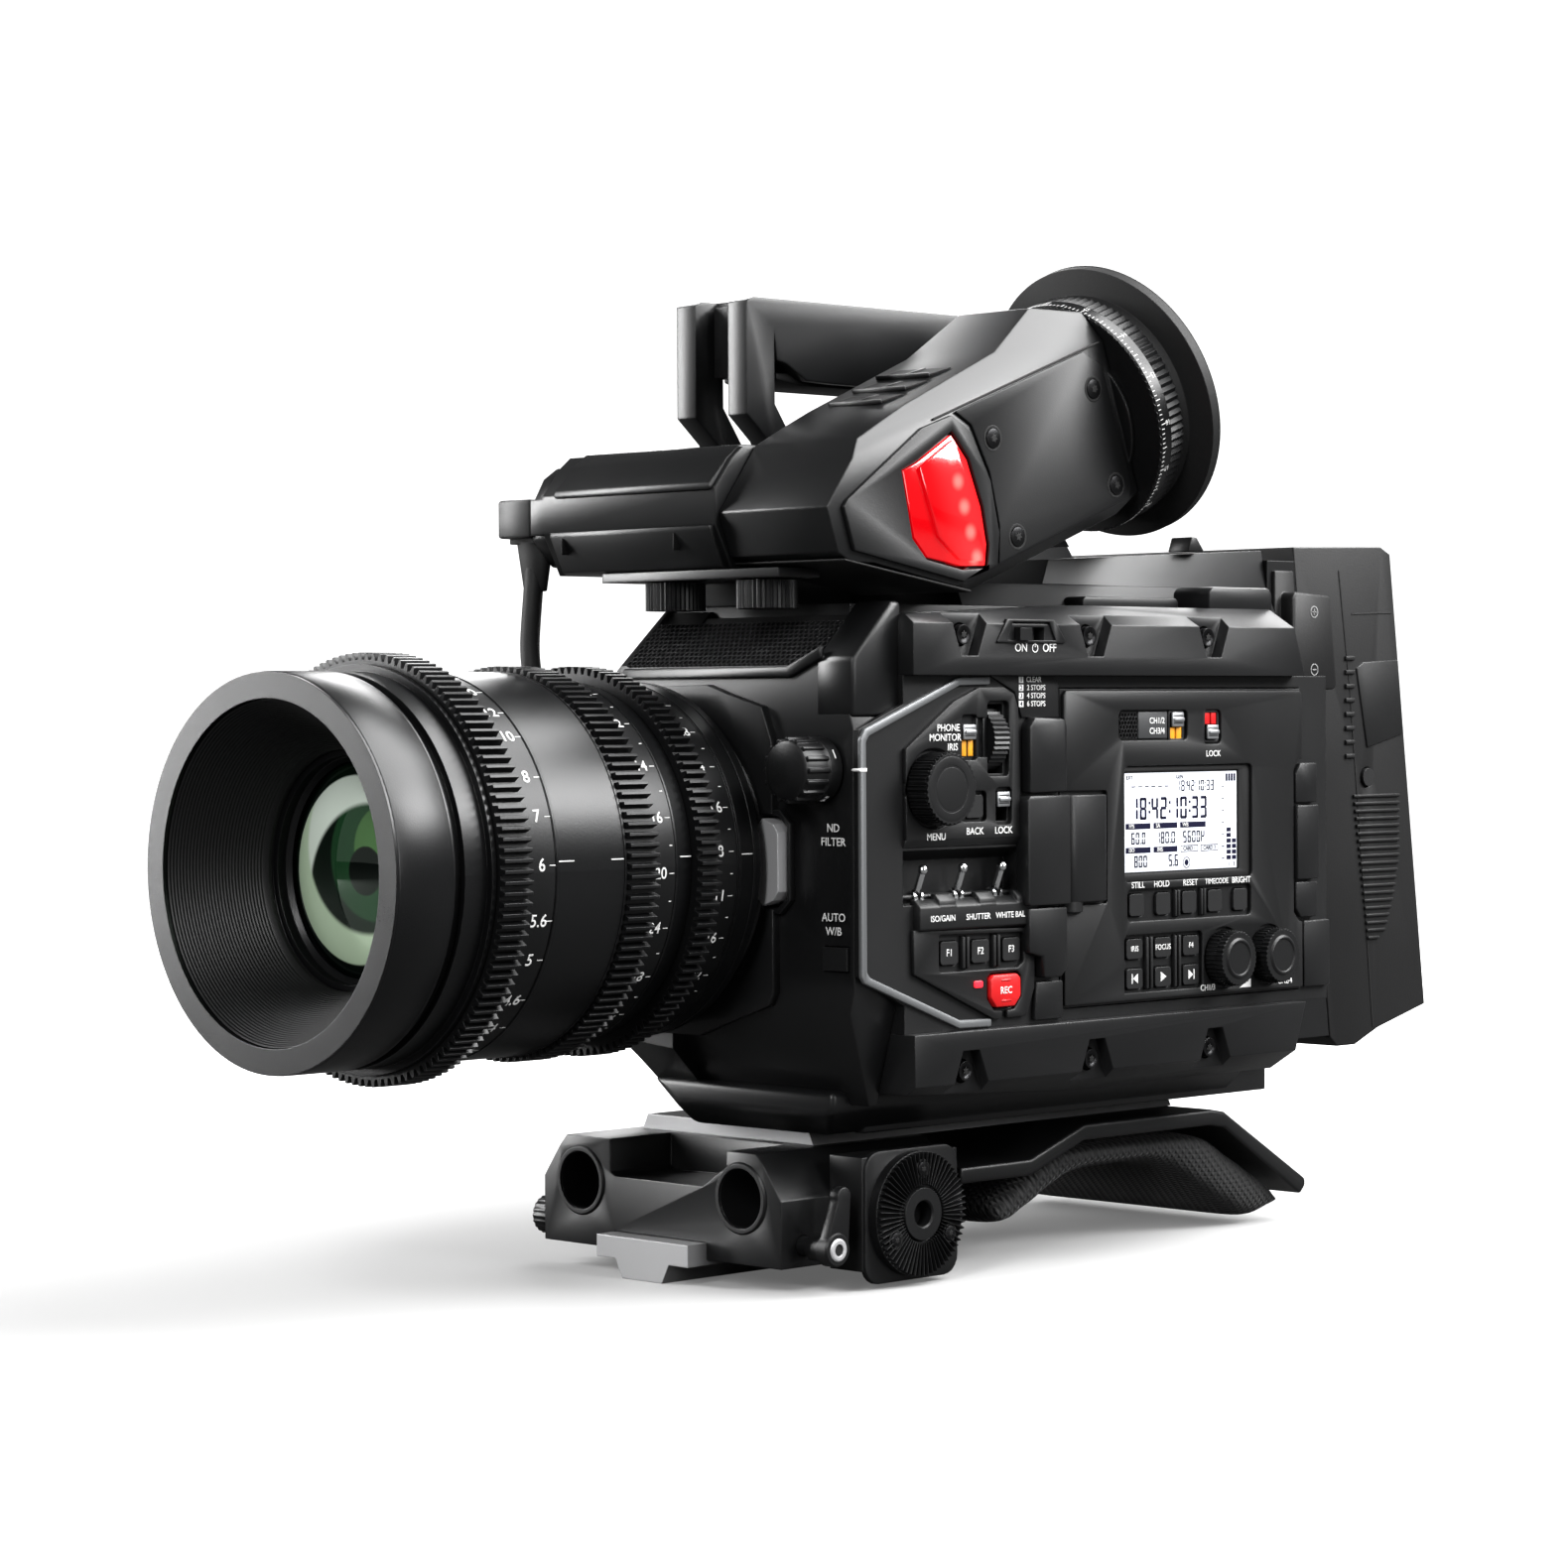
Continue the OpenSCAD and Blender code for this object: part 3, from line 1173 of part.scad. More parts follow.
// Shoulder frame, a bent plate, and the pad under it
frame_y = base_y + base_len;
frame_t = 4.4;
frame_share = [[0, 0.78], [0.19, 0.78], [0.34, 1], [0.71, 1], [0.75, 0.97], [1, 0.35], [1, 0.29]];
pad_t = 8.5;

module shoulder_frame() {
    top = [for (p = at(frame_share, shoulder_len, base_z1)) p + [frame_y, 0]];
    n = len(top);
    under = [for (i = [n - 2 : -1 : 0]) top[i] - [i == 5 ? frame_t * 0.5 : 0, frame_t]];
    color("#1c1d1f") slab_x(-shoulder_half, shoulder_half, concat(top, under));
}

// Pad of three crowned panels, its rear foot on the ground
pad_half = shoulder_half - 2 * soft_r;
pad_top_share = [[0.1, 0.38], [0.33, 0.868], [0.7, 0.868], [0.742, 0.83], [0.975, 0.245]];
pad_low_share = [[0.975, 0.12], [0.94, 0], [0.845, 0], [0.6, 0.62], [0.35, 0.6], [0.155, 0.16], [0.1, 0.16]];

module shoulder_pad() {
    outline = at(concat(pad_top_share, pad_low_share), shoulder_len, base_z1);
    color("#222325") intersection() {
        slab_x(-pad_half, pad_half, [for (p = outline) p + [frame_y, 0 - gap * (p[1] > soft_r * 2 ? 1 : 0)]]);
        slab_y(frame_y, frame_y + shoulder_len, [[-pad_half, pad_t * 0.1], [-pad_half + soft_r * 3, 0],
            [pad_half - soft_r * 3, 0], [pad_half, pad_t * 0.1], [pad_half, base_z1], [-pad_half, base_z1]]);
    }
}

// Lever and knob that clamp the rods
clamp_pin_r = 2.5;
lever_len = rod_r * 2;

module clamp_lever() {
    color("#2b2c2e") translate([base_half + gap, base_y + rod_r, clamp_z]) rotate([0, 90, 0]) {
        translate([0, 0, -rod_r * 0.8]) cylinder(r = clamp_pin_r, h = rod_r);
        cylinder(r = rod_r * 0.7, h = rod_r * 1.6);
        translate([-lever_len, -clamp_pin_r, rod_r * 0.8]) cube([lever_len, 2 * clamp_pin_r, rod_r * 0.7]);
    }
}

module rod_knob() {
    color("#2b2c2e") translate([-base_half - gap, base_y + rod_r, clamp_z]) rotate([0, -90, 0]) {
        translate([0, 0, -rod_r * 0.8]) cylinder(r = clamp_pin_r, h = rod_r);
        knurled(rod_r * 0.7, rod_r, 20, rod_r * 0.05);
    }
}

lens_barrel();
lens_glass();
focus_ring();
zoom_ring();
iris_ring();
lens_mount();
lens_release();
front_casting();
front_grille();
chassis();
top_cover();
side_rails();
control_panel();
panel_trim();
far_cover();
rear_plate();
sensor_block();
main_board();
fan_rotor();
nd_knob();
nd_wheel();
door();
door_displays();
menu_knob();
thumbwheel();
gain_toggle();
shutter_toggle();
balance_toggle();
power_switch();
monitor_slider();
panel_lock_slider();
channel_slider();
door_lock_slider();
back_button();
balance_button();
function_keys();
rec_button();
display_keys();
transport_keys();
level_knob_front();
level_knob_rear();
handle();
viewfinder_bar();
viewfinder_body();
tally_lens();
dioptre_ring();
eyecup();
thumbscrew_inner();
thumbscrew_outer();
viewfinder_cable();
base_plate();
rosette();
dovetail_plates();
shoulder_frame();
shoulder_pad();
clamp_lever();
rod_knob();
battery();
battery_button();
screws();
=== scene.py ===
"""Digital cinema camera: finishes, fine detail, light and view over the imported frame.

Sizes are in millimetres in the row frame: +X to the control side, +Y to the rear, +Z up.
"""

import logging  # noqa: E402
import math  # noqa: E402
from dataclasses import dataclass  # noqa: E402
from enum import Enum  # noqa: E402
from typing import Callable, Iterable, Optional, Sequence  # noqa: E402

import bmesh  # noqa: E402
import bpy  # noqa: E402
from mathutils import Matrix, Vector  # noqa: E402


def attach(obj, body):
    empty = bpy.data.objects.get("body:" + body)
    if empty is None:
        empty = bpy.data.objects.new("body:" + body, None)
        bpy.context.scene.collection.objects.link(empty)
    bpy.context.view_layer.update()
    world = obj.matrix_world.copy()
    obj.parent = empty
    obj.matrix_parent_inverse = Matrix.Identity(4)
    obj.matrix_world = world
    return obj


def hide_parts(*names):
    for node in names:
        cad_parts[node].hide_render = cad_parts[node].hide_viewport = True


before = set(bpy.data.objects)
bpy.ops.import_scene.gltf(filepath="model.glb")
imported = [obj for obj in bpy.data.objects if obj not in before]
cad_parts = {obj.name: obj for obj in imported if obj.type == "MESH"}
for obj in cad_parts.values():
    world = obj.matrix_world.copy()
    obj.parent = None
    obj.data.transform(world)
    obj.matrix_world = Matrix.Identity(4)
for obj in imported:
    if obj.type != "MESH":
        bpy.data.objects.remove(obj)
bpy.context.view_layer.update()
MM = 0.001
Point = Sequence[float]
# EDGE_MASK picks the edges that are lightened: partly rubbed edges, partly painted highlight.
EDGE_MASK = (0.02, 0.22)
PATCH_MASK = (0.42, 0.68)
SPECK_MASK = (0.16, 0.04)
SPECKS_PER_M = 900.0
THREADS_PER_M = 2400.0
WORD_WEIGHT = 0.012
INK = 0.12
MIRROR = Matrix.Scale(-1.0, 4, Vector((1.0, 0.0, 0.0)))
log = logging.getLogger("camera")


class Axis(Enum):
    """Direction that an outline is pushed along or a profile is turned about."""

    X = 0
    Y = 1
    Z = 2

    def spread(self, along: float, a: float, b: float) -> Vector:
        """Point from its place along this axis and its two places across it, in X, Y, Z order."""
        values = [a, b]
        values.insert(self.value, along)
        return Vector(values)


X, Y, Z = Axis


def grey(level: float) -> tuple[float, float, float, float]:
    """Opaque grey of a level between 0 and 1."""
    return level, level, level, 1.0


# Finishes


class Nodes:
    """Small builder of a node tree, of a material or of a group."""

    def __init__(self, tree: bpy.types.NodeTree) -> None:
        """Keeps the tree that the nodes go into.

        Args:
            tree: the node tree.
        """
        self.tree = tree

    def add(self, kind: str, **settings: object) -> bpy.types.Node:
        """Adds a node and sets its properties.

        Args:
            kind: the node's type name.
            **settings: properties of the node.

        Returns:
            The new node.
        """
        node = self.tree.nodes.new(kind)
        for name, value in settings.items():
            setattr(node, name, value)
        return node

    def link(self, out: bpy.types.NodeSocket, into: bpy.types.NodeSocket) -> None:
        """Joins an output to an input."""
        self.tree.links.new(out, into)

    def maths(self, operation: str, a: object, b: object = 0.0) -> bpy.types.NodeSocket:
        """Adds a Math node.

        Args:
            operation: the node's operation.
            a: first value or socket.
            b: second value or socket.

        Returns:
            The result's socket.
        """
        node = self.add("ShaderNodeMath", operation=operation)
        for place, value in enumerate((a, b)):
            if isinstance(value, bpy.types.NodeSocket):
                self.link(value, node.inputs[place])
            else:
                node.inputs[place].default_value = value
        return node.outputs[0]

    def ramp(self, value: bpy.types.NodeSocket, low: float, high: float) -> bpy.types.NodeSocket:
        """Smooth step of a value from low to high, between 0 and 1."""
        node = self.add("ShaderNodeMapRange", interpolation_type="SMOOTHSTEP")
        node.inputs["From Min"].default_value = low
        node.inputs["From Max"].default_value = high
        self.link(value, node.inputs["Value"])
        return node.outputs["Result"]

    def noise(self, place: bpy.types.NodeSocket, scale: object, detail: float = 3.0) -> bpy.types.NodeSocket:
        """Noise at a place, its scale a number or a socket."""
        node = self.add("ShaderNodeTexNoise")
        node.inputs["Detail"].default_value = detail
        if isinstance(scale, bpy.types.NodeSocket):
            self.link(scale, node.inputs["Scale"])
        else:
            node.inputs["Scale"].default_value = scale
        self.link(place, node.inputs["Vector"])
        return node.outputs["Fac"]

    def mix(self, share: object, a: object, b: object) -> bpy.types.NodeSocket:
        """Mix of two colours by a share between 0 and 1, each a value or a socket."""
        node = self.add("ShaderNodeMix", data_type="RGBA")
        for socket, value in ((node.inputs[0], share), (node.inputs[6], a), (node.inputs[7], b)):
            if isinstance(value, bpy.types.NodeSocket):
                self.link(value, socket)
            else:
                socket.default_value = value
        return node.outputs[2]

    def values(self, node: bpy.types.Node, values: dict[str, object]) -> bpy.types.Node:
        """Sets a node's inputs by their names and gives the node back."""
        for name, value in values.items():
            node.inputs[name].default_value = value
        return node

    def group(self, name: str, values: dict[str, object]) -> bpy.types.Node:
        """Adds a shared node group with its inputs set."""
        return self.values(self.add("ShaderNodeGroup", node_tree=bpy.data.node_groups[name]), values)

    def object_place(self) -> bpy.types.NodeSocket:
        """Object coordinates of the shaded point."""
        return self.add("ShaderNodeTexCoord").outputs["Object"]

    def reach(self, place: bpy.types.NodeSocket, centre: Point) -> bpy.types.NodeSocket:
        """Distance of a place from a fixed point, in metres."""
        node = self.add("ShaderNodeVectorMath", operation="DISTANCE")
        node.inputs[1].default_value = centre
        self.link(place, node.inputs[0])
        return node.outputs["Value"]

    def principled(self, values: dict[str, object]) -> bpy.types.Node:
        """Adds a Principled shader with its inputs set, joined to a material output."""
        out, shader = self.add("ShaderNodeOutputMaterial"), self.add("ShaderNodeBsdfPrincipled")
        self.link(shader.outputs[0], out.inputs[0])
        return self.values(shader, values)

    def split(self, output: str, seen: bpy.types.Node, unseen: bpy.types.Node) -> None:
        """Ends the tree with one shader for camera rays and another for all the rest.

        Args:
            output: type name of the output node.
            seen: the shader that the camera sees.
            unseen: the shader that lights the object.
        """
        out, path, mixed = self.add(output), self.add("ShaderNodeLightPath"), self.add("ShaderNodeMixShader")
        self.link(path.outputs["Is Camera Ray"], mixed.inputs[0])
        self.link(unseen.outputs[0], mixed.inputs[1])
        self.link(seen.outputs[0], mixed.inputs[2])
        self.link(mixed.outputs[0], out.inputs[0])


def fresh_nodes(owner: bpy.types.ID) -> Nodes:
    """Starts the node tree of a material or a world with nothing in it."""
    owner.use_nodes = True
    owner.node_tree.nodes.clear()
    return Nodes(owner.node_tree)


def group_tree(name: str, inputs: Sequence[tuple], outputs: Sequence[tuple]) -> Nodes:
    """Starts a shader node group.

    Args:
        name: the group's name.
        inputs: name, socket type and default value of each input.
        outputs: name and socket type of each output.

    Returns:
        A builder of the group's tree, with its group nodes named Inputs and Outputs.
    """
    tree = bpy.data.node_groups.new(name, "ShaderNodeTree")
    for label, kind, value in inputs:
        socket = tree.interface.new_socket(label, in_out="INPUT", socket_type=kind)
        socket.default_value = value
    for label, kind in outputs:
        tree.interface.new_socket(label, in_out="OUTPUT", socket_type=kind)
    nodes = Nodes(tree)
    nodes.add("NodeGroupInput", name="Inputs")
    nodes.add("NodeGroupOutput", name="Outputs")
    return nodes


def edge_wear_and_highlight_group() -> bpy.types.NodeTree:
    """Edges softened by a small radius and a mask of edges lightened, partly as rubbed edges and partly as painted
    highlight.

    Returns:
        The group's tree.
    """
    n = group_tree(
        "edge_wear",
        [
            ("Radius", "NodeSocketFloat", 0.0004), ("Amount", "NodeSocketFloat", 0.3),
            ("Breakup", "NodeSocketFloat", 260.0)
        ],
        [("Mask", "NodeSocketFloat"), ("Normal", "NodeSocketVector")],
    )
    given, out = n.tree.nodes["Inputs"], n.tree.nodes["Outputs"]
    bevel = n.add("ShaderNodeBevel", samples=4)
    n.link(given.outputs["Radius"], bevel.inputs["Radius"])
    flat = n.add("ShaderNodeNewGeometry")
    dot = n.add("ShaderNodeVectorMath", operation="DOT_PRODUCT")
    n.link(bevel.outputs["Normal"], dot.inputs[0])
    n.link(flat.outputs["Normal"], dot.inputs[1])
    # Edge mask: partly rubbed edges, partly painted highlight along the edges.
    edge = n.ramp(n.maths("SUBTRACT", 1.0, dot.outputs["Value"]), *EDGE_MASK)
    patches = n.ramp(n.noise(n.object_place(), given.outputs["Breakup"], 4.0), *PATCH_MASK)
    n.link(n.maths("MULTIPLY", n.maths("MULTIPLY", edge, patches), given.outputs["Amount"]), out.inputs["Mask"])
    n.link(bevel.outputs["Normal"], out.inputs["Normal"])
    return n.tree


def grain_group() -> bpy.types.NodeTree:
    """Fine grain of a moulded or coated surface, with slow clouds of dust and handling.

    Returns:
        The group's tree.
    """
    n = group_tree(
        "surface_grain",
        [("Scale", "NodeSocketFloat", 2600.0), ("Cloud Scale", "NodeSocketFloat", 22.0)],
        [("Height", "NodeSocketFloat"), ("Cloud", "NodeSocketFloat"), ("Speck", "NodeSocketFloat")],
    )
    given, out = n.tree.nodes["Inputs"], n.tree.nodes["Outputs"]
    place = n.object_place()
    n.link(n.noise(place, given.outputs["Scale"], 4.0), out.inputs["Height"])
    n.link(n.noise(place, given.outputs["Cloud Scale"], 3.0), out.inputs["Cloud"])
    speck = n.add("ShaderNodeTexVoronoi", feature="F1")
    speck.inputs["Scale"].default_value = SPECKS_PER_M
    n.link(place, speck.inputs["Vector"])
    n.link(n.ramp(speck.outputs["Distance"], *SPECK_MASK), out.inputs["Speck"])
    return n.tree


def brushed_group() -> bpy.types.NodeTree:
    """Fine straight lines of a brushed or turned metal.

    Returns:
        The group's tree.
    """
    n = group_tree(
        "brushed_lines",
        [("Stretch", "NodeSocketVector", (60.0, 9000.0, 9000.0))],
        [("Lines", "NodeSocketFloat")],
    )
    given, out = n.tree.nodes["Inputs"], n.tree.nodes["Outputs"]
    stretched = n.add("ShaderNodeVectorMath", operation="MULTIPLY")
    n.link(n.object_place(), stretched.inputs[0])
    n.link(given.outputs["Stretch"], stretched.inputs[1])
    n.link(n.noise(stretched.outputs[0], 1.0, 2.0), out.inputs["Lines"])
    return n.tree


@dataclass(frozen=True)
class Finish:
    """One finish: a base colour, how it shines, its grain and how its edges lighten, partly rubbed and partly as
    painted highlight.
    """

    name: str
    colour: tuple[float, float, float]
    rough: float = 0.42
    metal: float = 0.0
    grain: float = 0.05
    grain_scale: float = 2600.0
    grain_depth: float = 0.00004
    cloud: float = 0.12
    edge: float = 0.0004
    # The edge lightening below is partly rubbed edges and partly painted highlight along the edges.
    wear_and_highlight: float = 0.25
    worn_and_highlight_tone: tuple[float, float, float] = (0.16, 0.16, 0.165)
    coat: float = 0.0
    specular: float = 0.5
    brushed: Optional[tuple[float, float, float]] = None
    glow: float = 0.0
    sheen: float = 0.0
    fibre: bool = False
    coat_rough: float = 0.12
    lift: tuple[float, float] = (1.35, 0.004)
    cloud_gain: float = 4.0
    height_gain: float = 0.08
    polish: float = 0.1
    bump: float = 0.6

    def material(self) -> bpy.types.Material:
        """Builds the material once and gives it back at every later call.

        Returns:
            The material.
        """
        found = bpy.data.materials.get(self.name)
        if found is not None:
            return found
        made = bpy.data.materials.new(self.name)
        self.dress(fresh_nodes(made))
        made.diffuse_color = (*self.colour, 1.0)
        return made

    def dress(self, n: Nodes) -> None:
        """Puts the finish's nodes into a material's tree.

        Args:
            n: builder of the material's tree.
        """
        base, worn_and_highlight_tone = (*self.colour, 1.0), (*self.worn_and_highlight_tone, 1.0)
        lighter = (*(min(1.0, c * self.lift[0] + self.lift[1]) for c in self.colour), 1.0)
        shader = n.principled({
            "Metallic": self.metal, "Specular IOR Level": self.specular, "Coat Weight": self.coat,
            "Coat Roughness": self.coat_rough, "Sheen Weight": self.sheen,
        })
        if self.glow:
            n.values(shader, {"Emission Strength": self.glow, "Emission Color": base})
        grain = n.group("surface_grain", {"Scale": self.grain_scale})
        wear_and_highlight = n.group("edge_wear", {"Radius": self.edge, "Amount": self.wear_and_highlight})
        cloud, mask, height = grain.outputs["Cloud"], wear_and_highlight.outputs["Mask"], grain.outputs["Height"]
        tone = n.mix(n.maths("MULTIPLY", cloud, self.cloud * self.cloud_gain), base, lighter)
        tone = n.mix(n.maths("MULTIPLY", grain.outputs["Speck"], self.grain), tone, worn_and_highlight_tone)
        # Edges lightened towards the edge tone: partly rubbed edges, partly painted highlight.
        n.link(n.mix(mask, tone, worn_and_highlight_tone), shader.inputs["Base Color"])
        if self.brushed:
            height = n.group("brushed_lines", {"Stretch": self.brushed}).outputs["Lines"]
        if self.fibre:
            height = self.weave(n)
        rough = n.maths("ADD", n.maths("MULTIPLY", cloud, self.cloud), self.rough - self.cloud * 0.5)
        rough = n.maths("ADD", rough, n.maths("MULTIPLY", height, self.height_gain))
        n.link(n.maths("SUBTRACT", rough, n.maths("MULTIPLY", mask, self.polish)), shader.inputs["Roughness"])
        bump = n.values(n.add("ShaderNodeBump"), {"Strength": self.bump, "Distance": self.grain_depth})
        n.link(height, bump.inputs["Height"])
        n.link(wear_and_highlight.outputs["Normal"], bump.inputs["Normal"])
        n.link(bump.outputs["Normal"], shader.inputs["Normal"])

    def weave(self, n: Nodes) -> bpy.types.NodeSocket:
        """Raised diamond weave of a padded cover.

        Args:
            n: builder of the material's tree.

        Returns:
            The weave's height.
        """
        place = n.object_place()
        heights = []
        for way in ((1.0, 1.0, 1.0), (-1.0, 1.0, -1.0)):
            along = n.add("ShaderNodeVectorMath", operation="DOT_PRODUCT")
            along.inputs[1].default_value = way
            n.link(place, along.inputs[0])
            wave = n.maths("SINE", n.maths("MULTIPLY", along.outputs["Value"], THREADS_PER_M), 0.0)
            heights.append(n.maths("ADD", n.maths("MULTIPLY", wave, 0.5), 0.5))
        return n.maths("MAXIMUM", heights[0], heights[1])


class Finishes:
    """The camera's finishes by their own names."""

    body = Finish("body_satin_black", (0.0075, 0.0077, 0.0082), rough=0.34, grain_depth=0.00003, wear_and_highlight=0.34)
    panel = Finish("panel_fine_black", (0.0072, 0.0074, 0.0078), rough=0.4, wear_and_highlight=0.32)
    lens = Finish(
        "lens_black_anodised", (0.0048, 0.005, 0.0055), rough=0.27, metal=0.15, grain=0.02, edge=0.0003, wear_and_highlight=0.2
    )
    hood = Finish("hood_matt_black", (0.004, 0.004, 0.0043), rough=0.45, edge=0.0002, wear_and_highlight=0.05)
    gear = Finish("gear_black_anodised", (0.0065, 0.0067, 0.0072), rough=0.33, metal=0.2, edge=0.0002, wear_and_highlight=0.45)
    knob = Finish("knob_satin_black", (0.007, 0.0072, 0.0077), rough=0.36, metal=0.1, edge=0.0002, wear_and_highlight=0.3)
    key = Finish("key_soft_black", (0.008, 0.0082, 0.0087), rough=0.48, edge=0.0003, wear_and_highlight=0.28)
    steel = Finish(
        "steel_brushed", (0.6, 0.6, 0.61), rough=0.34, metal=0.6, brushed=(9000.0, 60.0, 9000.0), cloud=0.05,
        grain_depth=0.00001, worn_and_highlight_tone=(0.8, 0.8, 0.8)
    )
    chrome = Finish(
        "steel_bright", (0.75, 0.76, 0.77), rough=0.14, metal=1.0, cloud=0.04, grain_depth=0.000005,
        worn_and_highlight_tone=(0.9, 0.9, 0.9)
    )
    alloy = Finish(
        "alloy_satin", (0.42, 0.43, 0.44), rough=0.36, metal=0.9, brushed=(9000.0, 120.0, 9000.0), cloud=0.06,
        grain_depth=0.00001, worn_and_highlight_tone=(0.7, 0.7, 0.7)
    )
    screw = Finish(
        "screw_black_steel", (0.02, 0.02, 0.021), rough=0.3, metal=0.8, edge=0.0002, wear_and_highlight=0.5, worn_and_highlight_tone=(0.3, 0.3, 0.3)
    )
    mesh = Finish("mesh_black", (0.035, 0.035, 0.036), rough=0.36, metal=0.5, edge=0.0001, wear_and_highlight=0.4)
    rubber = Finish("rubber_soft_black", (0.0045, 0.0045, 0.0048), rough=0.62, grain_scale=1500.0, wear_and_highlight=0.05, cloud=0.2)
    battery = Finish(
        "battery_moulded_black", (0.0085, 0.0085, 0.0088), rough=0.44, grain_scale=1900.0, grain_depth=0.00006,
        wear_and_highlight=0.12
    )
    pad = Finish(
        "pad_woven_black", (0.0075, 0.0076, 0.008), rough=0.7, grain_depth=0.0007, sheen=0.12, fibre=True, wear_and_highlight=0.0,
        edge=0.0008
    )
    red = Finish("button_red", (0.55, 0.012, 0.014), rough=0.34, worn_and_highlight_tone=(0.7, 0.2, 0.2), wear_and_highlight=0.1)
    white = Finish("print_white", (0.78, 0.78, 0.77), rough=0.5, wear_and_highlight=0.0, grain=0.0)
    grey = Finish("print_grey", (0.3, 0.3, 0.3), rough=0.5, wear_and_highlight=0.0, grain=0.0)
    orange = Finish("print_orange", (0.72, 0.32, 0.02), rough=0.4, wear_and_highlight=0.05)
    board = Finish("board_green", (0.01, 0.09, 0.03), rough=0.4)
    trim = Finish("bezel_satin_grey", (0.19, 0.195, 0.2), rough=0.4, metal=0.55, cloud=0.06, worn_and_highlight_tone=(0.4, 0.4, 0.4))
    lamp = Finish("lamp_red", (0.9, 0.03, 0.05), rough=0.25, glow=0.7, wear_and_highlight=0.0)
    lcd = Finish("display_pale", (0.66, 0.68, 0.72), rough=0.6, specular=0.2, glow=0.4, grain=0.0, wear_and_highlight=0.0)
    ink = Finish("display_ink", (0.008, 0.008, 0.03), rough=0.6, specular=0.15, grain=0.0, wear_and_highlight=0.0)
    slab = Finish(
        "dovetail_alloy", (0.34, 0.34, 0.345), rough=0.42, metal=0.6, grain_depth=0.00003, worn_and_highlight_tone=(0.4, 0.4, 0.4)
    )
    plate = Finish("plate_mid_grey", (0.045, 0.046, 0.048), rough=0.45, wear_and_highlight=0.05)
    shell = Finish(
        "shell_satin_black", (0.0062, 0.0064, 0.0068), rough=0.29, grain_depth=0.00002, edge=0.0007, wear_and_highlight=0.22
    )
    ocular = Finish(
        "ocular_dark", (0.006, 0.008, 0.012), rough=0.04, coat=0.8, grain=0.0, grain_depth=0.0, cloud=0.0, wear_and_highlight=0.0
    )
    # Plain black of dark parts, also laid as painted shade in screw sockets, slots, vents, grooves and behind meshes.
    dark = Finish("recess_black", (0.003, 0.003, 0.0032), rough=0.6, wear_and_highlight=0.0)


NODE_GROUPS: tuple[tuple[Finish, tuple[str, ...]], ...] = (
    (Finishes.lens, ("lens_barrel",)),
    (Finishes.gear, ("focus_ring", "zoom_ring", "iris_ring")),
    (Finishes.steel, ("lens_mount", "lens_release")),
    (Finishes.mesh, ("front_grille",)),
    (Finishes.body, (
        "front_casting", "chassis", "top_cover", "side_rails", "far_cover", "rear_plate", "handle", "viewfinder_bar",
        "viewfinder_body", "base_plate", "shoulder_frame",
    )),
    (Finishes.panel, ("control_panel", "door")),
    (Finishes.trim, ("panel_trim",)),
    (Finishes.alloy, (
        "sensor_block", "nd_wheel", "monitor_slider", "panel_lock_slider", "channel_slider", "door_lock_slider",
    )),
    (Finishes.board, ("main_board",)),
    (Finishes.key, (
        "fan_rotor", "back_button", "balance_button", "function_keys", "display_keys", "transport_keys",
        "battery_button",
    )),
    (Finishes.knob, (
        "nd_knob", "menu_knob", "thumbwheel", "power_switch", "level_knob_front", "level_knob_rear", "dioptre_ring",
        "thumbscrew_inner", "thumbscrew_outer", "rosette", "clamp_lever", "rod_knob",
    )),
    (Finishes.dark, ("door_displays",)),
    (Finishes.chrome, ("gain_toggle", "shutter_toggle", "balance_toggle")),
    (Finishes.red, ("rec_button",)),
    (Finishes.rubber, ("eyecup", "viewfinder_cable")),
    (Finishes.slab, ("dovetail_plates",)),
    (Finishes.battery, ("battery",)),
    (Finishes.screw, ("screws",)),
)
NODE_FINISH: dict[str, Finish] = {node: finish for finish, nodes in NODE_GROUPS for node in nodes}


# Shapes


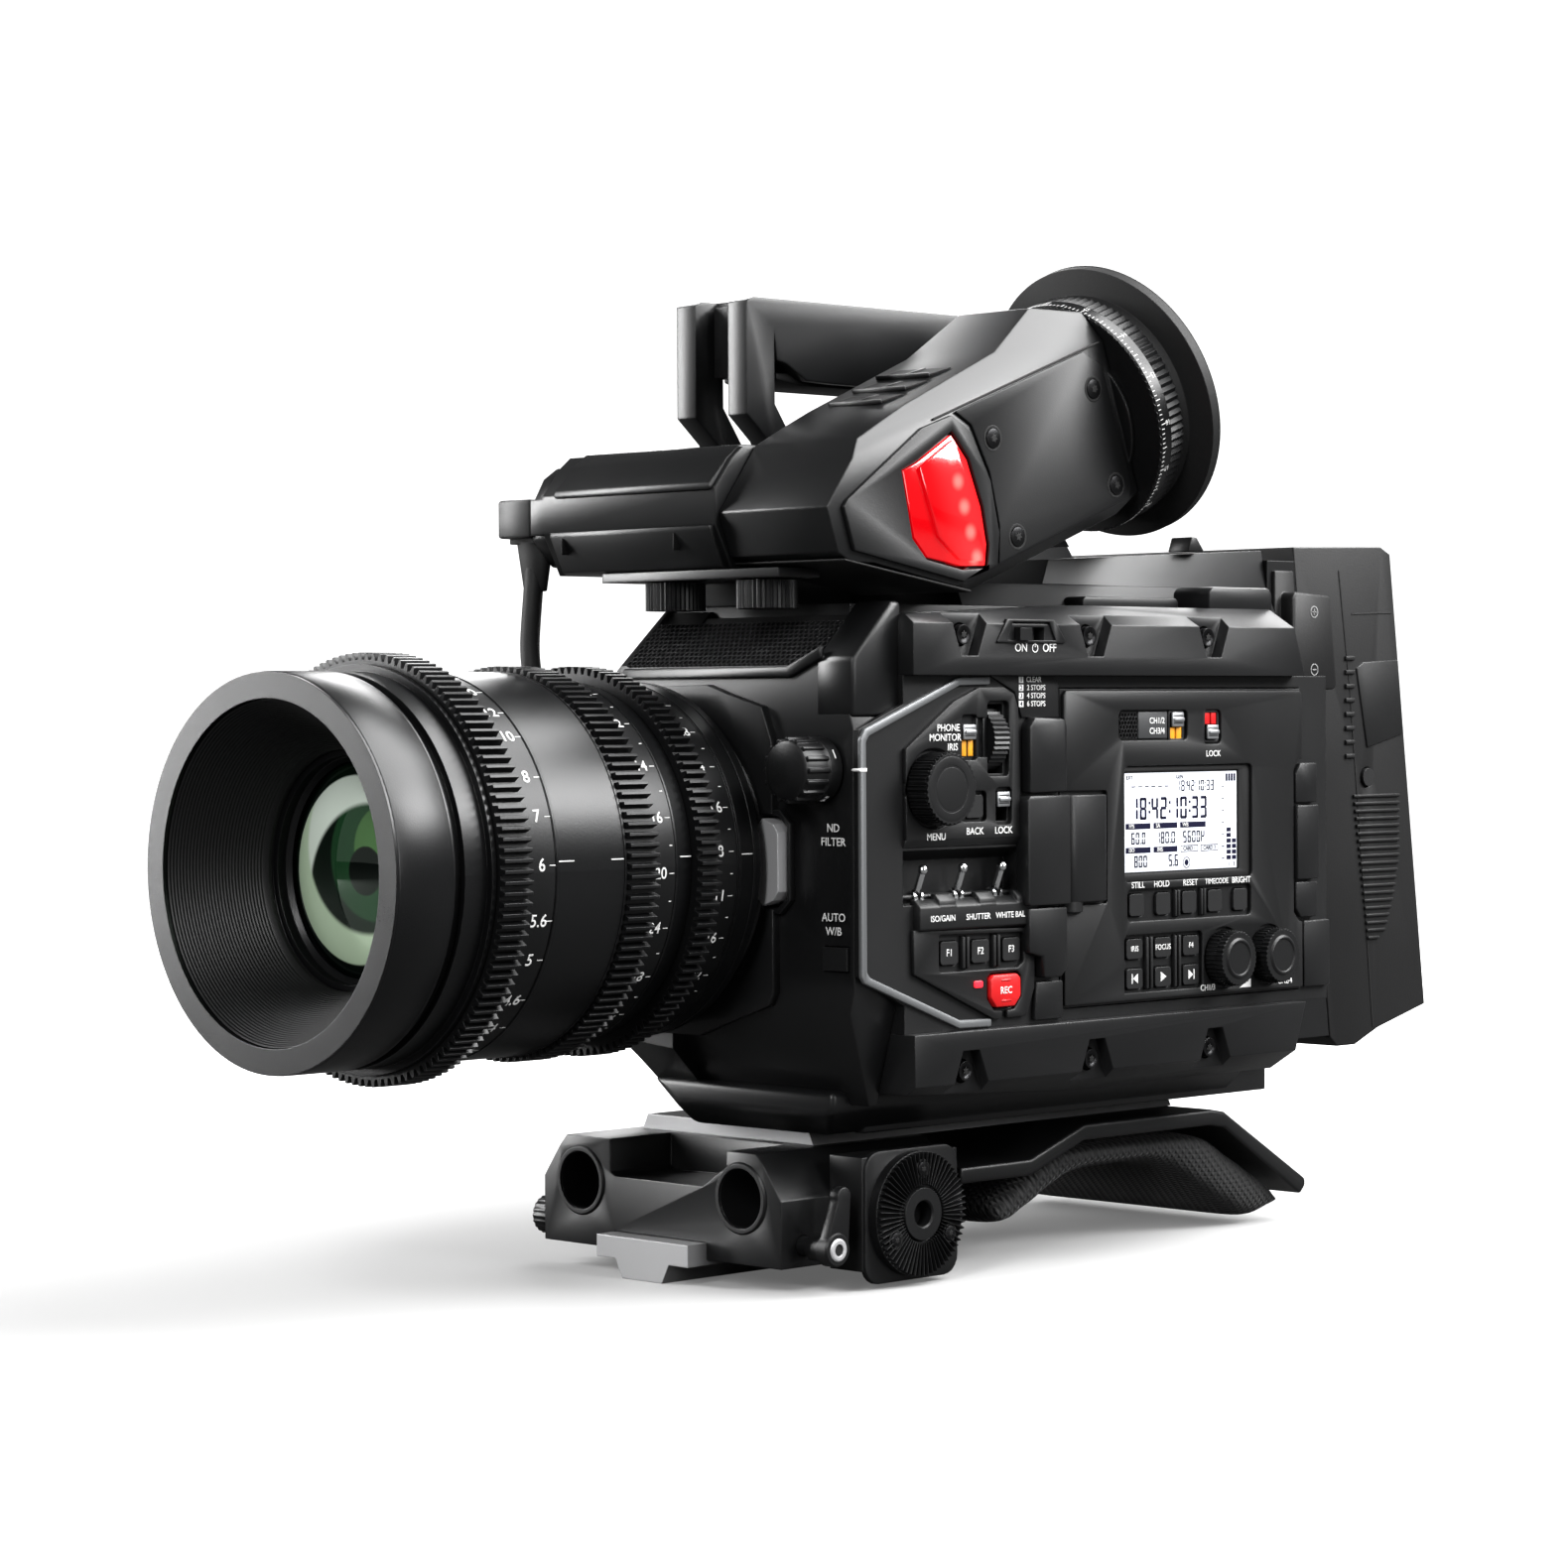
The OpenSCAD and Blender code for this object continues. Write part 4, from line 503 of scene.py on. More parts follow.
class Shape:
    """A mesh under construction in millimetres that becomes one finished piece."""

    def __init__(self) -> None:
        """Starts with nothing in it."""
        self.bm = bmesh.new()

    def _soften(
        self, verts: Iterable[bmesh.types.BMVert], width: float, segments: int = 2, sharp: float = 30.0
    ) -> None:
        """Bevels the sharp edges among some vertices.

        Args:
            verts: the vertices of the new form.
            width: width of the bevel.
            segments: its segments.
            sharp: least angle of an edge that is bevelled, in degrees.
        """
        if width <= 0:
            return
        edges = {e for v in verts for e in v.link_edges}
        chosen = [e for e in edges if e.is_manifold and e.calc_face_angle(0.0) > math.radians(sharp)]
        bmesh.ops.bevel(
            self.bm, geom=chosen, offset=width, segments=segments, profile=0.5, affect="EDGES", material=-1,
            clamp_overlap=True,
        )

    def block(self, low: Point, high: Point, soft: float = 0.3) -> "Shape":
        """Adds a box from its low corner to its high corner.

        Args:
            low: low corner.
            high: high corner.
            soft: bevel width.

        Returns:
            The shape.
        """
        lo, hi = Vector(low), Vector(high)
        place = Matrix.Translation((lo + hi) / 2) @ Matrix.Diagonal((*(hi - lo), 1.0))
        made = bmesh.ops.create_cube(self.bm, size=1.0, matrix=place)
        self._soften(made["verts"], soft)
        return self

    def prism(self, axis: Axis, start: float, end: float, outline: Sequence[Point], soft: float = 0.3) -> "Shape":
        """Adds an outline pushed along an axis.

        Args:
            axis: the direction that it is pushed along.
            start: where it starts on that axis.
            end: where it ends.
            outline: its points across the axis, in X, Y, Z order.
            soft: bevel width.

        Returns:
            The shape.
        """
        verts = [self.bm.verts.new(axis.spread(start, *p)) for p in outline]
        face = self.bm.faces.new(verts)
        grown = bmesh.ops.extrude_face_region(self.bm, geom=[face])
        moved = [g for g in grown["geom"] if isinstance(g, bmesh.types.BMVert)]
        bmesh.ops.translate(self.bm, verts=moved, vec=axis.spread(end, 0, 0) - axis.spread(start, 0, 0))
        faces = list({f for v in verts + moved for f in v.link_faces})
        bmesh.ops.recalc_face_normals(self.bm, faces=faces)
        self._soften(verts + moved, soft)
        return self

    def turned(self, axis: Axis, centre: Point, profile: Sequence[Point], steps: int = 96) -> "Shape":
        """Adds a profile turned once about an axis.

        Args:
            axis: the axis that it turns about.
            centre: a point on that axis, the zero of the profile's second numbers.
            profile: radius and place along the axis of each point; closed profiles repeat their first point.
            steps: steps of the turn.

        Returns:
            The shape.
        """
        c = Vector(centre)
        closed = tuple(profile[0]) == tuple(profile[-1])
        points = profile[:-1] if closed else profile
        verts = [self.bm.verts.new(c + axis.spread(p[1], p[0], 0.0)) for p in points]
        pairs = list(zip(verts, verts[1:] + ([verts[0]] if closed else []), strict=False))
        edges = [self.bm.edges.new(pair) for pair in pairs]
        bmesh.ops.spin(
            self.bm, geom=[*verts, *edges], cent=c, axis=axis.spread(1.0, 0.0, 0.0), dvec=(0, 0, 0),
            angle=math.radians(360.0), steps=steps, use_merge=True, use_normal_flip=False, use_duplicate=False,
        )
        bmesh.ops.remove_doubles(self.bm, verts=self.bm.verts, dist=1e-5)
        bmesh.ops.recalc_face_normals(self.bm, faces=self.bm.faces)
        return self

    def ring(
        self, axis: Axis, centre: Point, inner: float, outer: float, low: float, high: float, steps: int,
    ) -> "Shape":
        """Adds a ring of rectangular section.

        Args:
            axis: the axis that it lies round.
            centre: a point on that axis.
            inner: its inner radius.
            outer: its outer radius.
            low: where it starts along the axis, from the centre.
            high: where it ends.
            steps: its sides.

        Returns:
            The shape.
        """
        section = [(inner, low), (outer, low), (outer, high), (inner, high), (inner, low)]
        return self.turned(axis, centre, section, steps)

    def rod(
        self, axis: Axis, base: Point, radius: float, length: float, sides: int = 40, soft: float = 0.2,
        top: Optional[float] = None
    ) -> "Shape":
        """Adds a round bar or cone along an axis.

        Args:
            axis: its direction.
            base: centre of its first end.
            radius: its radius.
            length: its length, negative to run the other way.
            sides: its sides.
            soft: bevel width of its ends.
            top: radius of its far end, or None for the same.

        Returns:
            The shape.
        """
        turn = Vector((0, 0, 1)).rotation_difference(axis.spread(math.copysign(1, length), 0, 0)).to_matrix().to_4x4()
        middle = Vector(base) + axis.spread(length / 2, 0, 0)
        made = bmesh.ops.create_cone(
            self.bm, cap_ends=True, cap_tris=False, segments=sides, radius1=radius,
            radius2=radius if top is None else top, depth=abs(length), matrix=Matrix.Translation(middle) @ turn,
        )
        self._soften(made["verts"], soft, 2, 50.0)
        return self

    def text(self, words: str, size: float, place: Matrix, depth: float = INK) -> "Shape":
        """Adds plain figures or short words, standing a little out of a face.

        Args:
            words: what is written.
            size: height of the letters' line.
            place: their place: X along the line, Y up the letters, Z out of the face.
            depth: how thick they are.

        Returns:
            The shape.
        """
        curve = bpy.data.curves.new("words", "FONT")
        curve.body, curve.size, curve.extrude = words, size, depth / 2
        curve.offset = size * WORD_WEIGHT
        curve.align_x, curve.align_y, curve.resolution_u = "CENTER", "CENTER", 3
        holder = bpy.data.objects.new("words", curve)
        bpy.context.scene.collection.objects.link(holder)
        bpy.context.view_layer.update()
        mesh = bpy.data.meshes.new_from_object(holder.evaluated_get(bpy.context.evaluated_depsgraph_get()))
        mesh.transform(place)
        self.bm.from_mesh(mesh)
        bpy.data.objects.remove(holder)
        bpy.data.curves.remove(curve)
        bpy.data.meshes.remove(mesh)
        return self

    def cut(self, *tools: "Shape") -> "Shape":
        """Takes other shapes away from this one and uses them up.

        Args:
            tools: the shapes that are taken away.

        Returns:
            The shape.
        """
        holders = []
        for number, shape in enumerate((self, *tools)):
            bmesh.ops.recalc_face_normals(shape.bm, faces=shape.bm.faces)
            mesh = bpy.data.meshes.new("cut_%d" % number)
            shape.bm.to_mesh(mesh)
            shape.bm.free()
            holders.append(bpy.data.objects.new("cut_%d" % number, mesh))
            bpy.context.scene.collection.objects.link(holders[-1])
        for tool in holders[1:]:
            change = holders[0].modifiers.new("cut", "BOOLEAN")
            change.operation, change.solver, change.object = "DIFFERENCE", "EXACT", tool
        bpy.context.view_layer.update()
        made = bpy.data.meshes.new_from_object(holders[0].evaluated_get(bpy.context.evaluated_depsgraph_get()))
        self.bm = bmesh.new()
        self.bm.from_mesh(made)
        bpy.data.meshes.remove(made)
        for holder in holders:
            mesh = holder.data
            bpy.data.objects.remove(holder)
            bpy.data.meshes.remove(mesh)
        bmesh.ops.remove_doubles(self.bm, verts=self.bm.verts, dist=1e-4)
        return self

    def eased(self, width: float, segments: int = 2, sharp: float = 40.0) -> "Shape":
        """Bevels every sharp edge of the shape.

        Args:
            width: width of the bevel.
            segments: its segments.
            sharp: least angle of an edge that is bevelled, in degrees.

        Returns:
            The shape.
        """
        bmesh.ops.dissolve_limit(self.bm, angle_limit=math.radians(1.0), verts=self.bm.verts, edges=self.bm.edges)
        self._soften(list(self.bm.verts), width, segments, sharp)
        return self

    def honeycomb(self, u0: float, u1: float, v0: float, v1: float, pitch: float, wall: float, thick: float) -> "Shape":
        """Adds a level mesh of six-sided holes between two corners.

        Args:
            u0: its low side along X.
            u1: its high side along X.
            v0: its low side along Y.
            v1: its high side along Y.
            pitch: distance between the middles of two holes.
            wall: width of the walls between the holes.
            thick: thickness upwards.

        Returns:
            The shape.
        """
        cell = bmesh.new()
        bmesh.ops.create_circle(cell, cap_ends=True, segments=6, radius=pitch / math.sqrt(3) * 1.01)
        hole = list(cell.faces)
        bmesh.ops.inset_individual(cell, faces=hole, thickness=wall / 2, use_even_offset=True)
        bmesh.ops.delete(cell, geom=hole, context="FACES")
        grown = bmesh.ops.extrude_face_region(cell, geom=list(cell.faces))
        bmesh.ops.translate(
            cell, verts=[g for g in grown["geom"] if isinstance(g, bmesh.types.BMVert)], vec=(0, 0, thick)
        )
        bmesh.ops.recalc_face_normals(cell, faces=cell.faces)
        mesh, flat = bpy.data.meshes.new("cell"), pitch * math.sqrt(3) / 2
        cell.to_mesh(mesh)
        cell.free()
        row, v = 0, v0 + pitch / 2
        while v < v1 - pitch / 3:
            u = u0 + pitch / 2 + (row % 2) * pitch / 2
            while u < u1 - pitch / 3:
                place = Matrix.Translation((u, v, 0)) @ Matrix.Rotation(math.radians(30), 4, "Z")
                mesh.transform(place)
                self.bm.from_mesh(mesh)
                mesh.transform(place.inverted())
                u += pitch
            v += flat
            row += 1
        bpy.data.meshes.remove(mesh)
        return self

    def node(self, name: str) -> "Shape":
        """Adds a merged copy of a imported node.

        Args:
            name: the node's name.

        Returns:
            The shape.
        """
        self.bm.from_mesh(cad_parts[name].data)
        bmesh.ops.scale(self.bm, vec=(1 / MM, 1 / MM, 1 / MM), verts=self.bm.verts)
        bmesh.ops.remove_doubles(self.bm, verts=self.bm.verts, dist=1e-3)
        return self

    def moved(self, place: Matrix) -> "Shape":
        """Moves or turns everything in the shape."""
        bmesh.ops.transform(self.bm, matrix=place, verts=self.bm.verts)
        return self

    def join(self, other: "Shape", place: Optional[Matrix] = None, keep: bool = False) -> "Shape":
        """Adds a copy of another shape.

        Args:
            other: the shape that is copied.
            place: where it goes, or None to leave it.
            keep: whether the other shape is still needed.

        Returns:
            The shape.
        """
        mesh = bpy.data.meshes.new("part")
        other.bm.to_mesh(mesh)
        if place is not None:
            mesh.transform(place)
        self.bm.from_mesh(mesh)
        bpy.data.meshes.remove(mesh)
        if not keep:
            other.bm.free()
        return self

    def repeated(self, tool: "Shape", axis: Axis, centre: Point, count: int) -> "Shape":
        """Adds copies of a shape evenly round an axis and uses the shape up.

        Args:
            tool: the shape, built round the axis through the origin.
            axis: the axis.
            centre: where the axis really is.
            count: how many copies.

        Returns:
            The shape.
        """
        for i in range(count):
            turn = Matrix.Rotation(math.radians(i * 360 / count), 4, axis.name)
            self.join(tool, Matrix.Translation(centre) @ turn, keep=True)
        tool.bm.free()
        return self

    def framed(
        self, axis: Axis, start: float, end: float, outline: Sequence[Point], holes: Iterable[Sequence[Point]],
        width: float, *tools: "Shape",
    ) -> "Shape":
        """Makes the shape a plate with holes through it and eased edges.

        Args:
            axis: the direction that it is pushed along.
            start: where it starts on that axis.
            end: where it ends.
            outline: its points across the axis.
            holes: outlines of the holes.
            width: bevel width of every edge.
            *tools: other shapes that are taken away.

        Returns:
            The shape.
        """
        self.prism(axis, start, end, outline, 0.0)
        cuts = [Shape().prism(axis, start - 2.0, end + 2.0, hole, 0.0) for hole in holes]
        return self.cut(*cuts, *tools).eased(width)

    def piece(
        self, name: str, finish: Finish, body: str = "camera", slot: str = "body_black", replaces: Sequence[str] = (),
        smooth: float = 35.0, recalc: bool = False,
    ) -> bpy.types.Object:
        """Makes the piece's object, dresses it and lets it ride.

        Args:
            name: the piece's name.
            finish: its finish.
            body: the body that it rides on.
            slot: name of a material slot, not used.
            replaces: nodes that it stands for.
            smooth: angle under which faces shade smoothly, in degrees.
            recalc: whether its normals are worked out again.

        Returns:
            The object.
        """
        if recalc:
            bmesh.ops.recalc_face_normals(self.bm, faces=self.bm.faces)
        bmesh.ops.scale(self.bm, vec=(MM, MM, MM), verts=self.bm.verts)
        mesh = bpy.data.meshes.new(name)
        self.bm.to_mesh(mesh)
        self.bm.free()
        mesh.shade_smooth()
        mesh.set_sharp_from_angle(angle=math.radians(smooth))
        made = bpy.data.objects.new(name, mesh)
        bpy.context.scene.collection.objects.link(made)
        made.data.materials.append(finish.material())
        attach(made, body)
        if replaces:
            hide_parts(*replaces)
        log.info("piece %s on %s", name, body)
        return made


def facing(axis: Axis, sign: float, at: Point) -> Matrix:
    """Place of words or a form on a face.

    Args:
        axis: the face's normal direction.
        sign: 1 or -1 along that axis.
        at: the place on the face.

    Returns:
        A matrix whose Z is the face's normal and whose Y is up.
    """
    normal, up = axis.spread(sign, 0, 0), Vector((0, 0, 1))
    basis = Matrix((up.cross(normal), up, normal)).transposed().to_4x4()
    return Matrix.Translation(Vector(at)) @ basis


def on_barrel(centre: Point, radius: float, degrees: float, turn: float = 0.0) -> Matrix:
    """Place on a round barrel that lies along Y.

    Args:
        centre: a point on the barrel's axis.
        radius: radius of the barrel.
        degrees: angle from the top, positive to the control side.
        turn: turn on the spot, in degrees.

    Returns:
        A matrix whose X runs along the turn, whose Y runs along the barrel and whose Z points outwards.
    """
    a = math.radians(degrees)
    out, along = Vector((math.sin(a), 0.0, math.cos(a))), Vector((0.0, 1.0, 0.0))
    basis = Matrix((along.cross(out), along, out)).transposed().to_4x4()
    return Matrix.Translation(Vector(centre) + out * radius) @ basis @ Matrix.Rotation(math.radians(turn), 4, "Z")


def polar(a: float, b: float, radius: float, degrees: float) -> tuple[float, float]:
    """Point at a distance and an angle from another."""
    turn = math.radians(degrees)
    return a + radius * math.cos(turn), b + radius * math.sin(turn)


def six_lobes(y: float, z: float, outer: float, inner: float) -> list[tuple[float, float]]:
    """Outline of a six-lobed screw recess round a point."""
    return [polar(y, z, outer if i % 2 else inner, i * 30) for i in range(12)]


def torx(x: float, y: float, z: float, radius: float, head: Shape, star: Shape) -> None:
    """Adds one round screw head, with its six-lobed recess and the gap round it drawn as painted shade.

    Args:
        x: place of the face that it sits on.
        y: its place along the side.
        z: its height.
        radius: radius of the head.
        head: shape for the head.
        star: shape for the painted shade of the recess and of the gap round the head.
    """
    dome = [(0.0, 0.5), (radius * 0.7, 0.48), (radius * 0.95, 0.3), (radius, 0.0), (0.0, 0.0)]
    head.turned(X, (x, y, z), dome, 32)
    # Painted shade: a dark six-lobed mark for the recess and a dark ring for the gap round the head.
    star.prism(X, x + 0.3, x + 0.53, six_lobes(y, z, radius * 0.5, radius * 0.3), 0.0)
    star.ring(X, (x, y, z), radius * 1.02, radius * 1.3, -0.1, 0.05, 32)


# Studio


@dataclass(frozen=True)
class SoftBox:
    """One soft light: its place, its width and height in metres, and its power in watts."""

    name: str
    at: tuple[float, float, float]
    size: tuple[float, float]
    watts: float


@dataclass
class Studio:
    """Pale floor, soft lights and the photograph's view."""

    eye: tuple[float, float, float] = (0.76698, -0.75514, 0.14660)
    right: tuple[float, float, float] = (0.70439, 0.70979, -0.00528)
    up: tuple[float, float, float] = (-0.00971, 0.01707, 0.99981)
    forward: tuple[float, float, float] = (-0.70974, 0.70421, -0.01892)
    focal_mm: float = 93.99
    sensor_mm: float = 36.0
    floor_half: float = 6.0
    floor_near: float = 0.12
    floor_ramp: tuple[float, float] = (0.22, 0.8)
    floor_bounce: float = 0.1
    room_seen: float = 1.1
    room_light: float = 0.13
    target: tuple[float, float, float] = (0.0, 0.0, 0.12)
    boxes: tuple[SoftBox, ...] = (
        SoftBox("key_top", (0.5, 0.55, 1.15), (1.2, 0.9), 30.0),
        SoftBox("side_sheen", (1.15, 1.1, 0.95), (1.0, 0.45), 22.0),
        SoftBox("strip_front", (0.75, -1.5, 0.95), (0.3, 1.0), 20.0),
        SoftBox("strip_side", (1.6, 0.1, 0.7), (0.25, 1.2), 10.0),
        SoftBox("rim_back", (-0.7, 1.2, 0.75), (1.2, 0.7), 18.0),
        SoftBox("left_soft", (-1.3, -0.8, 0.6), (0.3, 1.3), 30.0),
    )

    def build(self) -> None:
        """Makes the camera, the floor, the world and the lights."""
        self.camera()
        self.floor()
        self.world()
        bpy.context.scene.view_settings.view_transform = "Standard"
        bpy.context.scene.view_settings.look = "Medium High Contrast"
        for box in self.boxes:
            self.hang(box)
        log.info("studio ready")

    def camera(self) -> None:
        """Makes the camera at the photograph's viewpoint."""
        data = bpy.data.cameras.new("view")
        data.lens, data.sensor_width, data.sensor_fit = self.focal_mm, self.sensor_mm, "HORIZONTAL"
        data.clip_start, data.clip_end = 0.01, 50.0
        holder = bpy.data.objects.new("view", data)
        bpy.context.scene.collection.objects.link(holder)
        basis = Matrix((Vector(self.right), Vector(self.up), -Vector(self.forward))).transposed().to_4x4()
        holder.matrix_world = Matrix.Translation(Vector(self.eye)) @ basis
        bpy.context.scene.camera = holder

    def floor(self) -> None:
        """Lays the floor, pale to the camera and darker in what it throws back."""
        bm = bmesh.new()
        bmesh.ops.create_grid(bm, x_segments=1, y_segments=1, size=self.floor_half)
        mesh = bpy.data.meshes.new("floor")
        bm.to_mesh(mesh)
        bm.free()
        holder = bpy.data.objects.new("floor", mesh)
        bpy.context.scene.collection.objects.link(holder)
        pale = bpy.data.materials.new("floor_pale")
        n = fresh_nodes(pale)
        shader = n.values(n.add("ShaderNodeBsdfPrincipled"), {
            "Base Color": grey(0.45), "Roughness": 0.8, "Specular IOR Level": 0.1, "Emission Strength": 1.0,
        })
        bounce = n.values(n.add("ShaderNodeBsdfDiffuse"), {"Color": grey(self.floor_bounce)})
        n.split("ShaderNodeOutputMaterial", shader, bounce)
        far = n.ramp(n.reach(n.object_place(), (0.0, 0.0, 0.0)), *self.floor_ramp)
        n.link(n.mix(far, grey(self.floor_near), grey(1.0)), shader.inputs["Emission Color"])
        mesh.materials.append(pale)

    def world(self) -> None:
        """Lights the room with a plain pale grey that looks white behind the camera."""
        world = bpy.data.worlds.new("room")
        bpy.context.scene.world = world
        n = fresh_nodes(world)
        seen, soft = (
            n.values(n.add("ShaderNodeBackground"), {"Color": grey(1.0), "Strength": strength})
            for strength in (self.room_seen, self.room_light)
        )
        n.split("ShaderNodeOutputWorld", seen, soft)

    def hang(self, box: SoftBox) -> None:
        """Hangs one soft box, pointed at the middle of the object.

        Args:
            box: the soft box.
        """
        light = bpy.data.lights.new(box.name, "AREA")
        light.shape, light.size, light.size_y, light.energy = "RECTANGLE", *box.size, box.watts
        holder = bpy.data.objects.new(box.name, light)
        bpy.context.scene.collection.objects.link(holder)
        holder.location = box.at
        holder.rotation_euler = (Vector(self.target) - Vector(box.at)).to_track_quat("-Z", "Y").to_euler()


def dress_nodes() -> None:
    """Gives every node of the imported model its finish."""
    for name, finish in NODE_FINISH.items():
        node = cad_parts[name]
        node.data.materials.clear()
        node.data.materials.append(finish.material())
        log.info("dressed %s as %s", name, finish.name)


# Lens


@dataclass
class LensScales:
    """Printed scales, index lines and front hood of the lens, turned round its axis."""

    axis_z: float = 108.0
    front_y: float = -165.0
    window_y: float = -116.79
    ring_r: float = 47.5
    zoom_scale_r: float = 45.84
    zoom_scale_y: float = -80.6
    iris_scale_r: float = 44.98
    iris_scale_y: float = -59.6
    index_degs: tuple[float, float] = (87.0, -91.0)
    focus_digits: float = 4.4
    ring_digits: float = 4.0
    steps: int = 144
    hood_r: float = 40.9
    hood_taper: float = 11.4
    hood_depth: float = 20.6
    hood_ribs: int = 30
    near_marks: tuple[tuple[float, str], ...] = (
        (16, "50"), (27, "20"), (38, "12"), (48, "10"), (62, "8"), (74, "7"), (88, "6"), (104, "5.6"), (116, "5"),
        (130, "4.6"), (142, "4"), (156, "3.6"), (172, "3.3"), (4, "100"),
    )
    far_marks: tuple[tuple[float, str], ...] = (
        (-20, "15"), (-34, "10"), (-52, "5"), (-70, "4"), (-88, "3"), (-104, "2.5"), (-122, "2"), (-144, "1.5"),
    )

    def around(self, radius: float, y: float, degrees: float, turn: float = 90.0) -> Matrix:
        """Place on one of the lens's barrels.

        Args:
            radius: radius of the barrel.
            y: place along the lens.
            degrees: angle from the top, positive to the control side.
            turn: turn of the words on the spot, in degrees.

        Returns:
            The place.
        """
        return on_barrel((0.0, y, self.axis_z), radius, degrees, turn)

    def tick(self, shape: Shape, radius: float, y: float, degrees: float, length: float, wide: float = 0.22) -> None:
        """Adds one fine line along the lens.

        Args:
            shape: the shape that it goes into.
            radius: radius of the barrel.
            y: middle of the line along the lens.
            degrees: angle from the top.
            length: its length.
            wide: its width.
        """
        mark = Shape().block((-wide / 2, -length / 2, -0.12), (wide / 2, length / 2, 0.05), 0.0)
        shape.join(mark, self.around(radius, y, degrees, 0.0))

    def focus_scale(self) -> None:
        """Prints the distances on the focus ring, in white on the near side and in grey on the far side."""
        y0 = self.window_y - 0.2
        for name, finish, marks in (
            ("focus_scale_white", Finishes.white, self.near_marks),
            ("focus_scale_far", Finishes.grey, self.far_marks),
        ):
            shape = Shape()
            for place, words in marks:
                shape.text(words, self.focus_digits, self.around(self.ring_r, y0 - 4.2, place))
                self.tick(shape, self.ring_r, y0 - 0.9, place, 1.8)
            shape.piece(name, finish, "focus", "lens_black")

    def ring_scale(
        self, name: str, body: str, radius: float, y: float, words: Sequence[str], start: float, step: float
    ) -> None:
        """Prints plain numbers round a ring.

        Args:
            name: the piece's name.
            body: the body that it rides on.
            radius: radius of the ring.
            y: middle of the numbers along the lens.
            words: the numbers in order.
            start: angle of the first.
            step: angle between them.
        """
        shape = Shape()
        for place, number in enumerate(words):
            a = start + place * step
            shape.text(number, self.ring_digits, self.around(radius, y - 1.0, a))
            self.tick(shape, radius, y + 2.6, a, 1.6)
            self.tick(shape, radius, y + 2.6, a + step / 2, 0.9)
        shape.piece(name, Finishes.white, body, "lens_black")

    def index_lines(self) -> None:
        """Prints the fixed index lines between the rings."""
        shape = Shape()
        for a in self.index_degs:
            for radius, y, length in (
                (self.ring_r, self.window_y + 3.0, 5.6), (self.ring_r, self.window_y + 19.6, 4.0),
                (self.zoom_scale_r, -73.3, 3.6), (self.iris_scale_r, -52.0, 4.4),
            ):
                self.tick(shape, radius, y, a, length, 0.3)
        shape.piece("lens_index_lines", Finishes.white, slot="lens_black")

    def hood(self) -> None:
        """Turns the ribbed hood, the front ring's skin and the beads between the rings."""
        y0, r0, r, depth = self.front_y + 1.2, self.hood_r, self.ring_r, self.hood_depth
        ribs = [(r0, y0)]
        for i in range(self.hood_ribs):
            t0, t1 = i / self.hood_ribs, (i + 0.5) / self.hood_ribs
            inner = r0 - self.hood_taper * t0
            ribs += [(inner, y0 + depth * t0 + 0.05), (inner - 0.28, y0 + depth * t1)]
        ribs += [
            (29.0, y0 + depth + 0.9), (29.0, y0 + depth + 1.8), (31.4, y0 + depth + 1.8), (41.0, y0 + 3.4), (41.0, y0),
            (r0, y0),
        ]
        hood = Shape().turned(Y, (0, 0, self.axis_z), ribs, self.steps)
        hood.piece("hood_ribs", Finishes.hood, slot="lens_black", smooth=20.0)
        lip = Shape().turned(Y, (0, self.front_y, self.axis_z), [
            (r - 5.6, 0.02), (r - 0.7, 0.02), (r - 0.05, 0.55), (r + 0.12, 1.1), (r + 0.12, 16.6), (r - 0.2, 17.3),
            (r - 1.0, 17.36), (r - 1.0, 1.6), (r - 5.6, 1.4), (r - 5.6, 0.02),
        ], self.steps)
        lip.piece("front_ring_skin", Finishes.lens, slot="lens_black")
        seams = Shape()
        for y, radius in (
            (self.window_y + 0.5, r), (self.window_y + 22.2, r), (-76.3, self.zoom_scale_r),
            (-54.0, self.iris_scale_r), (-49.2, self.iris_scale_r),
        ):
            seams.ring(Y, (0, y, self.axis_z), radius - 0.5, radius + 0.18, -0.3, 0.3, self.steps)
        seams.piece("barrel_beads", Finishes.lens, slot="lens_black")

    def build(self) -> None:
        """Makes every printed scale and the hood."""
        self.hood()
        self.focus_scale()
        zooms, stops = ("10", "12", "14", "16", "20", "24", "28", "30"), ("2", "2.8", "4", "5.6", "8", "11", "16", "22")
        self.ring_scale("zoom_scale", "zoom", self.zoom_scale_r, self.zoom_scale_y, zooms, 24.0, 17.0)
        self.ring_scale("iris_scale", "iris", self.iris_scale_r, self.iris_scale_y, stops, 30.0, 14.0)
        self.index_lines()


